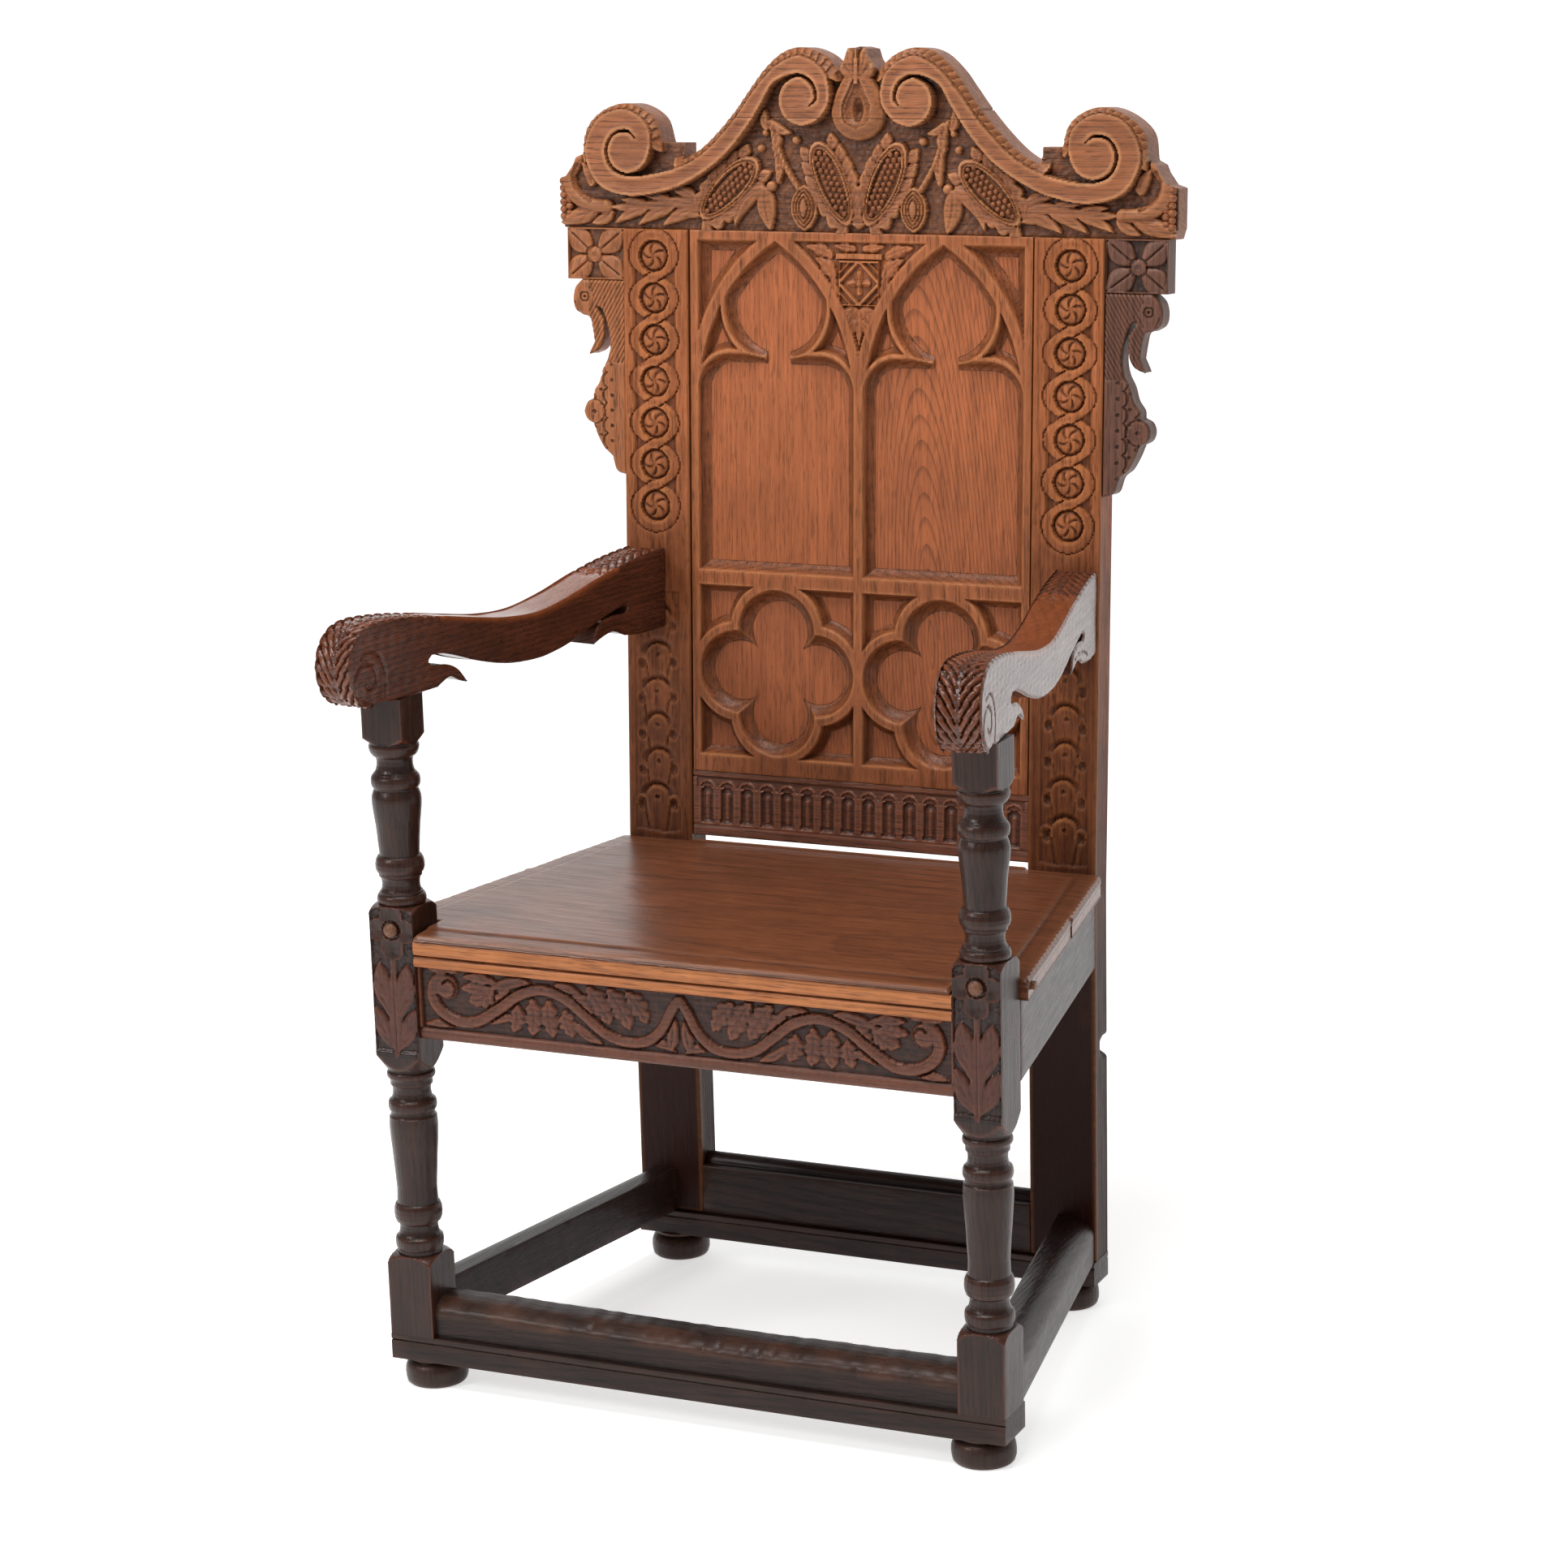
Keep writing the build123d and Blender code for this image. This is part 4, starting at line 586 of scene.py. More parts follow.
    @staticmethod
    def loops(cells: Array, index: Array) -> list[list[int]]:
        """The rim as closed rows of point numbers, each with the board on its left.

        Args:
            cells: which cells are used.
            index: each grid point's number.
        Returns:
            One row of point numbers for each rim.
        """
        pad = np.pad(cells, 1)
        follow: dict[int, int] = {}
        sides = (
            ((0, -1), (0, 0), (1, 0)), ((1, 0), (1, 0), (1, 1)), ((0, 1), (1, 1), (0, 1)),
            ((-1, 0), (0, 1), (0, 0)),
        )
        for (di, dj), start, end in sides:
            neighbour = pad[1 + di : pad.shape[0] - 1 + di, 1 + dj : pad.shape[1] - 1 + dj]
            i, j = np.nonzero(cells & ~neighbour)
            a = index[i + start[0], j + start[1]]
            b = index[i + end[0], j + end[1]]
            follow.update(zip(a.tolist(), b.tolist()))
        loops = []
        while follow:
            first, at = follow.popitem()
            loop = [first]
            while at != first:
                loop.append(at)
                at = follow.pop(at)
            loops.append(loop)
        return loops


def ring_skin(rings: Sequence[Array], rubbed: Array, grime_and_shade: Array) -> Skin:
    """Closed mesh over stacked rings of points, capped at both ends.

    Args:
        rings: equally many points in each, from the bottom up, anticlockwise from above.
        rubbed, and the darkening for dirt and painted shade: one value for each point of each ring.
    Returns:
        The mesh.
    """
    n = len(rings[0])
    faces: list[tuple[int, ...]] = [tuple(range(n))[::-1]]
    for row in range(len(rings) - 1):
        a = row * n + np.arange(n)
        b = np.roll(a, -1)
        faces += np.stack([a, b, b + n, a + n], axis=1).tolist()
    faces.append(tuple((len(rings) - 1) * n + k for k in range(n)))
    return Skin(np.vstack(rings), faces, rubbed.reshape(-1), grime_and_shade.reshape(-1))


def mesh_of(name: str, skin: Skin) -> Object:
    """A new object with a skin's mesh, and its wear and its dirt and painted shade as point attributes.

    Args:
        name: the new object's name.
        skin: its points, faces, wear, and dirt and painted shade.
    Returns:
        The new object.
    """
    mesh = bpy.data.meshes.new(name)
    mesh.from_pydata(skin.points.tolist(), [], skin.faces)
    for label, values in (("rubbed", skin.rubbed), ("grime_and_shade", skin.grime_and_shade)):
        mesh.attributes.new(label, "FLOAT", "POINT").data.foreach_set("value", values.astype(np.float32))
    mesh.shade_smooth()
    mesh.set_sharp_from_angle(angle=SHARP_ANGLE)
    obj = bpy.data.objects.new(name, mesh)
    bpy.context.scene.collection.objects.link(obj)
    return obj


def applied(obj: Object) -> None:
    """Make an object's modifiers part of its mesh.

    Args:
        obj: the object, whose modifiers are then removed.
    """
    graph = bpy.context.evaluated_depsgraph_get()
    mesh = bpy.data.meshes.new_from_object(obj.evaluated_get(graph))
    obj.modifiers.clear()
    obj.data = mesh


def mark_wear(mesh: bpy.types.Mesh, reach: float) -> None:
    """Rubbed values, and darkening for dirt and painted shade in hollows, from how far each
    point stands proud of its neighbours.

    Args:
        mesh: the mesh, whose faces point outwards.
        reach: standing proud by this much, in metres, counts as fully rubbed.
    """
    n = len(mesh.vertices)
    co = np.empty(n * 3)
    mesh.vertices.foreach_get("co", co)
    co = co.reshape(-1, 3)
    normal = np.empty(n * 3)
    mesh.vertex_normals.foreach_get("vector", normal)
    normal = normal.reshape(-1, 3)
    ends = np.empty(len(mesh.edges) * 2, int)
    mesh.edges.foreach_get("vertices", ends)
    a, b = ends.reshape(-1, 2).T
    total = np.zeros((n, 3))
    count = np.zeros(n)
    for p, q in ((a, b), (b, a)):
        step = co[q] - co[p]
        step /= np.maximum(np.linalg.norm(step, axis=1), 1e-9)[:, None]
        np.add.at(total, p, step)
        np.add.at(count, p, 1)
    proud = -(total / np.maximum(count, 1)[:, None] * normal).sum(axis=1)
    # Hollows darken, for dirt and painted shade; proud points are rubbed lighter
    for label, values in (("rubbed", proud / reach), ("grime_and_shade", -proud / reach)):
        attribute = mesh.attributes.get(label) or mesh.attributes.new(label, "FLOAT", "POINT")
        attribute.data.foreach_set("value", unit(values).astype(np.float32))


def worn_copy(name: str, node: str, radius: float = 1.2, cut: float = 12.0) -> Object:
    """A board like its CAD node, with its arrises rubbed round and its faces cut finer.

    Args:
        name: the new piece's name.
        node: the CAD node that it is copied from.
        radius: how far the arrises are rubbed back, in mm.
        cut: longest edge left when the faces are cut finer, in mm.
    Returns:
        The new object.
    """
    bm = bmesh.new()
    bm.from_mesh(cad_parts[node].data)
    bmesh.ops.remove_doubles(bm, verts=bm.verts, dist=1e-5)
    bmesh.ops.dissolve_limit(bm, angle_limit=math.radians(1), verts=bm.verts, edges=bm.edges)
    mesh = bpy.data.meshes.new(name)
    bm.to_mesh(mesh)
    bm.free()
    obj = bpy.data.objects.new(name, mesh)
    bpy.context.scene.collection.objects.link(obj)
    bevel = obj.modifiers.new("rubbed", "BEVEL")
    bevel.width = radius / MM
    bevel.segments = 2
    bevel.limit_method = "ANGLE"
    bevel.angle_limit = ARRIS_ANGLE
    applied(obj)
    bm = bmesh.new()
    bm.from_mesh(obj.data)
    bmesh.ops.triangulate(bm, faces=[f for f in bm.faces if len(f.verts) > 4])
    for _ in range(5):
        long_edges = [e for e in bm.edges if e.calc_length() > cut / MM]
        if not long_edges or len(bm.faces) > MOST_FACES:
            break
        bmesh.ops.subdivide_edges(bm, edges=long_edges, cuts=1)
        bmesh.ops.triangulate(bm, faces=[f for f in bm.faces if len(f.verts) > 4])
    bm.to_mesh(obj.data)
    bm.free()
    obj.data.shade_smooth()
    obj.data.set_sharp_from_angle(angle=SHARP_ANGLE)
    mark_wear(obj.data, 0.35)
    return obj


# ------------------------------------------------------------------ finishes
class Grain(Enum):
    """Which way a piece's grain runs in the chair."""

    ACROSS = (0.0, math.pi / 2, 0.0)
    DEPTH = (math.pi / 2, 0.0, 0.0)
    UPRIGHT = (0.0, 0.0, 0.0)


def linear(colour: str) -> tuple[float, float, float, float]:
    """An sRGB hex colour as linear light, opaque."""
    parts = [int(colour[k : k + 2], 16) / 255 for k in (1, 3, 5)]
    return (*[p / 12.92 if p <= 0.04045 else ((p + 0.055) / 1.055) ** 2.4 for p in parts], 1.0)


def add_node(
    tree: Tree, kind: str, inputs: dict[str | int, object] | None = None, **settings: object,
) -> bpy.types.Node:
    """One node with its settings, values and links.

    Args:
        tree: the tree that it goes into.
        kind: the node's type name.
        inputs: for each input, a value, or the output socket that feeds it.
        settings: the node's own properties.
    Returns:
        The node.
    """
    made = tree.nodes.new(kind)
    for label, value in settings.items():
        setattr(made, label, value)
    for label, value in (inputs or {}).items():
        if isinstance(value, Socket):
            tree.links.new(value, made.inputs[label])
        else:
            made.inputs[label].default_value = value
    return made


# Near black colour that the wood darkens to towards the bottom; with the default heights, only near the
# floor
BOTTOM_TONE = "#1f120d"
# Spacing of the wave texture's rings at scale 1, in mm
WAVE_SPACING = 314.0
# Noise scales, each 1000 over the size of a patch in mm: 1.6, 5.9, 71 and 8.3
PORE_SCALE = 620.0
STREAK_SCALE = 170.0
STAIN_SCALE = 14.0
SPOT_SCALE = 120.0


@dataclass(frozen=True)
class OakFinish:
    """Old oak, sawn or riven, planed by hand, then stained, waxed and rubbed by use.

    Wax gives it a low, slightly uneven gloss. Dirt and painted shade darken the hollows, and
    hands and feet have rubbed the arrises back to lighter wood.
    """

    label: str
    light: str
    dark: str
    # Colour that tints the pores, and the hollows for dirt and painted shade
    grime_and_shade_colour: str
    rubbed: str
    grain: Grain = Grain.UPRIGHT
    ring_mm: float = 5.0
    pores: float = 0.5
    wobble: float = 2.2
    heart: tuple[float, float, float] = (0.05, 0.09, 0.0)
    tilt: float = 0.05
    figure: float = 0.45
    roughness: float = 0.42
    wax: float = 0.12
    blotch: float = 0.45
    wear: float = 0.6
    # How strongly the hollows are darkened, for dirt and painted shade
    dirt_and_shade: float = 0.85
    # Between these two heights, in metres, the colour darkens towards the bottom colour below
    plain_above: float = 0.02
    darkest_below: float = -0.3
    gloss: float = 0.35
    bottom_tone: str = BOTTOM_TONE

    def material(self) -> bpy.types.Material:
        """The material, made once for each finish.

        Returns:
            The material of this finish's name, which every piece in it shares.
        """
        made = bpy.data.materials.get(self.label)
        if made:
            return made
        made = bpy.data.materials.new(self.label)
        made.use_nodes = True
        tree = made.node_tree
        tree.nodes.clear()
        place = add_node(tree, "ShaderNodeTexCoord").outputs["Object"]
        turned = add_node(
            tree, "ShaderNodeMapping",
            {"Vector": place, "Rotation": self.grain.value, "Location": self.heart},
        ).outputs["Vector"]
        colour, bump_height, streaks = self.figured(tree, turned)
        colour = self.aged(tree, place, colour)
        bump = add_node(
            tree, "ShaderNodeBump", {"Height": bump_height, "Strength": 0.55, "Distance": 0.0005},
        ).outputs["Normal"]
        gloss = add_node(
            tree, "ShaderNodeMapRange",
            {"Value": streaks, "To Min": self.roughness + 0.12, "To Max": self.roughness - 0.06},
        ).outputs["Result"]
        shader = add_node(
            tree, "ShaderNodeBsdfPrincipled",
            {
                "Base Color": colour, "Roughness": gloss, "Normal": bump, "IOR": 1.45,
                "Specular IOR Level": self.gloss, "Coat Weight": self.wax, "Coat Roughness": 0.25,
            },
        )
        add_node(tree, "ShaderNodeOutputMaterial", {"Surface": shader.outputs["BSDF"]})
        return made

    def figured(self, tree: Tree, turned: Socket) -> tuple[Socket, Socket, Socket]:
        """Growth rings round a heart behind the board, with open pores along them.

        Args:
            tree: the material's tree.
            turned: coordinates whose Z runs along the grain.
        Returns:
            Colour, height for the bump and the pores' own pattern.
        """
        sawn = add_node(
            tree, "ShaderNodeMapping", {"Vector": turned, "Rotation": (self.tilt, self.tilt * 0.3, 0.0)},
        ).outputs["Vector"]
        rings = add_node(
            tree, "ShaderNodeTexWave",
            {
                "Vector": sawn, "Scale": WAVE_SPACING / self.ring_mm, "Distortion": self.wobble,
                "Detail": 3.0, "Detail Scale": 0.25, "Detail Roughness": 0.55,
            },
            wave_type="RINGS", rings_direction="Z", wave_profile="SAW",
        ).outputs["Fac"]
        early = add_node(
            tree, "ShaderNodeMapRange",
            {"Value": rings, "From Min": 0.6, "From Max": 1.0, "To Max": self.figure},
            interpolation_type="SMOOTHSTEP",
        ).outputs["Result"]
        # Pores are a fifth of a millimetre wide and some millimetres long; they are drawn
        # about five times as coarse so that they show.
        along = add_node(
            tree, "ShaderNodeMapping", {"Vector": turned, "Scale": (1.0, 1.0, 0.06)},
        ).outputs["Vector"]
        pores = add_node(
            tree, "ShaderNodeTexNoise",
            {"Vector": along, "Scale": PORE_SCALE, "Detail": 1.5, "Roughness": 0.6},
        ).outputs["Fac"]
        streaks = add_node(
            tree, "ShaderNodeTexNoise",
            {"Vector": along, "Scale": STREAK_SCALE, "Detail": 4.0, "Roughness": 0.6},
        ).outputs["Fac"]
        edge = add_node(
            tree, "ShaderNodeMath", {0: early, 1: 0.10, 2: 0.43}, operation="MULTIPLY_ADD",
        ).outputs[0]
        inner = add_node(tree, "ShaderNodeMath", {0: edge, 1: 0.07}, operation="SUBTRACT").outputs[0]
        opened = add_node(
            tree, "ShaderNodeMapRange",
            {"Value": pores, "From Min": edge, "From Max": inner, "To Max": self.pores},
        ).outputs["Result"]
        tone = add_node(
            tree, "ShaderNodeMapRange",
            {"Value": streaks, "From Min": 0.32, "From Max": 0.66, "To Min": 0.35, "To Max": 1.0},
        ).outputs["Result"]
        tone = add_node(tree, "ShaderNodeMath", {0: tone, 1: early}, operation="SUBTRACT").outputs[0]
        colour = add_node(
            tree, "ShaderNodeMix", {"Factor": tone, 6: linear(self.dark), 7: linear(self.light)},
            data_type="RGBA", clamp_factor=True,
        ).outputs[2]
        colour = add_node(
            tree, "ShaderNodeMix", {"Factor": opened, 6: colour, 7: linear(self.grime_and_shade_colour)}, data_type="RGBA",
        ).outputs[2]
        height = add_node(tree, "ShaderNodeMath", {0: tone, 1: opened}, operation="SUBTRACT").outputs[0]
        return colour, height, streaks

    def aged(self, tree: Tree, place: Socket, colour: Socket) -> Socket:
        """Uneven stain, darkening towards the bottom, dirt and painted shade in the hollows and
        rubbed arrises over the wood's own colour.

        Args:
            tree: the material's tree.
            place: coordinates in the chair.
            colour: the wood's own colour.
        Returns:
            The colour that is seen.
        """
        cloud = add_node(
            tree, "ShaderNodeTexNoise",
            {"Vector": place, "Scale": STAIN_SCALE, "Detail": 5.0, "Roughness": 0.65},
        ).outputs["Fac"]
        stain = add_node(
            tree, "ShaderNodeMapRange",
            {"Value": cloud, "From Min": 0.35, "From Max": 0.62, "To Min": self.blotch, "To Max": 0.0},
        ).outputs["Result"]
        colour = add_node(
            tree, "ShaderNodeMix", {"Factor": stain, 6: colour, 7: linear(self.dark)}, data_type="RGBA",
        ).outputs[2]
        spots = add_node(
            tree, "ShaderNodeTexNoise", {"Vector": place, "Scale": SPOT_SCALE, "Detail": 3.0},
        ).outputs["Fac"]
        # Darker towards the bottom, by height, with a cloudy edge
        height = add_node(tree, "ShaderNodeSeparateXYZ", {"Vector": place}).outputs["Z"]
        height = add_node(
            tree, "ShaderNodeMath", {0: cloud, 1: 0.16, 2: height}, operation="MULTIPLY_ADD",
        ).outputs[0]
        bottom_tone = add_node(
            tree, "ShaderNodeMapRange",
            {"Value": height, "From Min": self.plain_above + 0.08, "From Max": self.darkest_below + 0.08},
        ).outputs["Result"]
        colour = add_node(
            tree, "ShaderNodeMix", {"Factor": bottom_tone, 6: colour, 7: linear(self.bottom_tone)}, data_type="RGBA",
        ).outputs[2]
        # The first mask darkens the hollows, for dirt and painted shade; the second lightens rubbed arrises
        for label, tint, strength, reach in (
            ("grime_and_shade", self.grime_and_shade_colour, self.dirt_and_shade, (0.1, 0.9)), ("rubbed", self.rubbed, self.wear, (0.25, 0.75)),
        ):
            mask = add_node(tree, "ShaderNodeAttribute", attribute_name=label).outputs["Fac"]
            broken = add_node(
                tree, "ShaderNodeMapRange", {"Value": spots, "To Min": reach[0], "To Max": reach[1] + 0.4},
            ).outputs["Result"]
            mask = add_node(
                tree, "ShaderNodeMath", {0: mask, 1: broken}, operation="MULTIPLY", use_clamp=True,
            ).outputs[0]
            mask = add_node(tree, "ShaderNodeMath", {0: mask, 1: strength}, operation="MULTIPLY").outputs[0]
            colour = add_node(
                tree, "ShaderNodeMix", {"Factor": mask, 6: colour, 7: linear(tint)}, data_type="RGBA",
            ).outputs[2]
        return colour


# Carved oak of the back: warm red brown, with near black dirt and painted shade in the carving,
# darker towards the bottom
BACK_OAK = OakFinish(
    "carved_oak_waxed", "#a8613a", "#74401f", "#1f0d07", "#c08050", heart=(0.02, 0.12, 0.0), wax=0.05,
    gloss=0.28, plain_above=0.85, darkest_below=-0.25, bottom_tone="#3a180a",
)
# Crest, sawn with the grain lying across the chair
CREST_OAK = OakFinish(
    "crest_oak_waxed", "#9c5f3c", "#6b3e23", "#1d0c07", "#c58a5c", Grain.ACROSS, heart=(0.0, 0.12, 0.03),
    wax=0.04, gloss=0.28, dirt_and_shade=0.95,
)
# Right panel: plain sawn close to the heart, so its rings make tall pointed loops
PANEL_OAK = OakFinish(
    "panel_oak_plain_sawn", "#ac6036", "#7a4222", "#3c1a0e", "#b26335", figure=0.6, blotch=0.15,
    ring_mm=3.6, heart=(-0.074, -0.224, -0.655), tilt=0.2, roughness=0.5, wax=0.03, pores=0.35, wobble=1.0,
    plain_above=0.85, darkest_below=-0.2, bottom_tone="#421a08",
)
# Left panel: the same oak, sawn nearer the quarter, so its rings are plain stripes
PANEL_OAK_QUIET = OakFinish(
    "panel_oak_quarter_sawn", "#ac6036", "#824624", "#40200f", "#b06236", figure=0.3, blotch=0.2,
    heart=(0.45, -0.3, 0.0), tilt=0.03, roughness=0.5, wax=0.03, pores=0.4, plain_above=0.85,
    darkest_below=-0.2, bottom_tone="#421a08",
)
# Rear posts: carved, handled, redder and darker towards the seat and black under it
POST_OAK = OakFinish(
    "post_oak_waxed", "#a5603b", "#6c3b20", "#1c0b06", "#bd7845", heart=(0.1, 0.2, 0.0), blotch=0.5,
    wax=0.02, plain_above=0.88, darkest_below=0.3, gloss=0.16, bottom_tone="#260d06",
)
# Left ear: the same oak, as clean as the crest
EAR_OAK = OakFinish(
    "ear_oak_waxed", "#a5633c", "#714020", "#1d0c07", "#bd7f50", heart=(0.1, 0.2, 0.0), wax=0.04, dirt_and_shade=0.95,
)
# Nulled rail: the back's oak with old varnish gone dark on it
NULLED_OAK = OakFinish(
    "nulled_oak_varnished", "#7a4732", "#4e2c1e", "#1c0c07", "#935c40", Grain.ACROSS,
    heart=(0.0, 0.25, 0.04),
)
# Right ear: never as well waxed as the left, and greyer
EAR_OAK_DARK = OakFinish(
    "ear_oak_dull", "#6a4232", "#42281d", "#150a06", "#85573d", heart=(0.06, 0.1, 0.0), roughness=0.5,
    dirt_and_shade=0.95,
)
# Turned posts: black from smoke and wax, with a dull shine round each bead
TURNED_OAK = OakFinish(
    "turned_oak_blackened", "#3c241c", "#20130e", "#080403", "#6b3826", roughness=0.28, wax=0.16,
    blotch=0.5, heart=(-0.25, 0.2, 0.0), gloss=0.26,
)
# Bosses and peg ends: end grain, paler than the posts
BOSS_OAK = OakFinish(
    "boss_oak_end_grain", "#7a5036", "#533322", "#1c0e08", "#96674a", Grain.DEPTH, roughness=0.4,
)
# Rail under the seat, redder and darker than the back
RAIL_OAK = OakFinish(
    "rail_oak_waxed", "#603322", "#351c13", "#0d0604", "#8a5136", Grain.ACROSS, heart=(0.0, 0.3, 0.05),
    wax=0.08, dirt_and_shade=0.95,
)
# Let-in strip under the seat's nose, of younger and paler oak
STRIP_OAK = OakFinish(
    "strip_oak_waxed", "#b8703f", "#83491f", "#33160b", "#cc8a55", Grain.ACROSS, heart=(0.0, 0.3, 0.1),
    wax=0.08,
)
# Seat boards, polished by clothes to a satin sheen
SEAT_OAK = OakFinish(
    "seat_oak_polished", "#7c482d", "#55301c", "#241009", "#8f5a3b", Grain.ACROSS, heart=(0.0, 0.1, 0.06),
    roughness=0.3, wax=0.22, figure=0.3, tilt=0.12, ring_mm=9.0,
)
# Frame near the floor, almost black from smoke, wax and boots
BASE_OAK = OakFinish(
    "frame_oak_blackened", "#33201a", "#180f0b", "#080403", "#64402f", roughness=0.36, wax=0.1, blotch=0.6,
    gloss=0.24,
)
BASE_OAK_ACROSS = replace(BASE_OAK, label="frame_oak_blackened_across", grain=Grain.ACROSS)
BASE_OAK_DEPTH = replace(BASE_OAK, label="frame_oak_blackened_depth", grain=Grain.DEPTH)
# Arms: dark at the sides and rubbed red on top and over the carved nose
ARM_OAK = OakFinish(
    "arm_oak_handled", "#643624", "#2e1811", "#0a0403", "#a8582c", Grain.DEPTH, roughness=0.22, wax=0.4,
)


# ------------------------------------------------------------------ putting pieces in
def dressed(obj: Object, finish: OakFinish, slot: str, *nodes: str) -> Object:
    """Give a new piece its finish and let it stand for its CAD nodes.

    Args:
        obj: the new piece.
        finish: its finish.
        slot: not used.
        nodes: the CAD nodes that it replaces, or none for trim.
    Returns:
        The same piece.
    """
    obj.data.materials.clear()
    obj.data.materials.append(finish.material())
    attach(obj, "root")
    if nodes:
        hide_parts(*nodes)
    LOG.info("%s: %d faces for %s", obj.name, len(obj.data.polygons), ", ".join(nodes) or "trim")
    return obj


def stud_tree(finish: OakFinish) -> Tree:
    """Geometry Nodes that set a small round bead on every point of a mesh.

    Args:
        finish: the beads' finish.
    Returns:
        The tree; its inputs are the mesh, the bead radius and the seed of its unevenness.
    """
    tree = bpy.data.node_groups.new("beads_on_points", "GeometryNodeTree")
    face = tree.interface
    face.new_socket("Points", in_out="INPUT", socket_type="NodeSocketGeometry")
    face.new_socket("Bead radius", in_out="INPUT", socket_type="NodeSocketFloat").default_value = 0.002
    face.new_socket("Seed", in_out="INPUT", socket_type="NodeSocketInt").default_value = 1
    face.new_socket("Beads", in_out="OUTPUT", socket_type="NodeSocketGeometry")
    inside = add_node(tree, "NodeGroupInput").outputs
    ball = add_node(
        tree, "GeometryNodeMeshIcoSphere", {"Radius": inside["Bead radius"], "Subdivisions": 2},
    ).outputs["Mesh"]
    own = add_node(
        tree, "GeometryNodeInputNamedAttribute", {"Name": "bead"}, data_type="FLOAT",
    ).outputs["Attribute"]
    uneven = add_node(
        tree, "FunctionNodeRandomValue", {2: 0.92, 3: 1.08, "Seed": inside["Seed"]}, data_type="FLOAT",
    ).outputs[1]
    scale = add_node(tree, "ShaderNodeMath", {0: own, 1: uneven}, operation="MULTIPLY").outputs[0]
    placed = add_node(
        tree, "GeometryNodeInstanceOnPoints",
        {"Points": inside["Points"], "Instance": ball, "Scale": scale},
    ).outputs["Instances"]
    real = add_node(tree, "GeometryNodeRealizeInstances", {"Geometry": placed}).outputs["Geometry"]
    smooth = add_node(tree, "GeometryNodeSetShadeSmooth", {"Geometry": real}).outputs["Geometry"]
    done = add_node(
        tree, "GeometryNodeSetMaterial", {"Geometry": smooth, "Material": finish.material()},
    ).outputs["Geometry"]
    add_node(tree, "NodeGroupOutput", {"Beads": done})
    return tree


def studded(name: str, where: Array, radii: Array, finish: OakFinish, slot: str) -> Object:
    """Carved beads at given places, made by Geometry Nodes and kept as a plain mesh.

    Args:
        name: the new piece's name.
        where: the beads' centres in metres.
        radii: their radii in metres.
        finish: their finish.
        slot: a slot name, handed on to dressed.
    Returns:
        The new object.
    """
    mesh = bpy.data.meshes.new(name)
    mesh.from_pydata(where.tolist(), [], [])
    radius = float(np.mean(radii))
    share = mesh.attributes.new("bead", "FLOAT", "POINT")
    share.data.foreach_set("value", (radii / radius).astype(np.float32))
    obj = bpy.data.objects.new(name, mesh)
    bpy.context.scene.collection.objects.link(obj)
    tree = stud_tree(finish)
    modifier = obj.modifiers.new("beads", "NODES")
    modifier.node_group = tree
    sockets = {item.name: item.identifier for item in tree.interface.items_tree if item.in_out == "INPUT"}
    modifier[sockets["Bead radius"]] = radius
    modifier[sockets["Seed"]] = 4
    applied(obj)
    return dressed(obj, finish, slot)


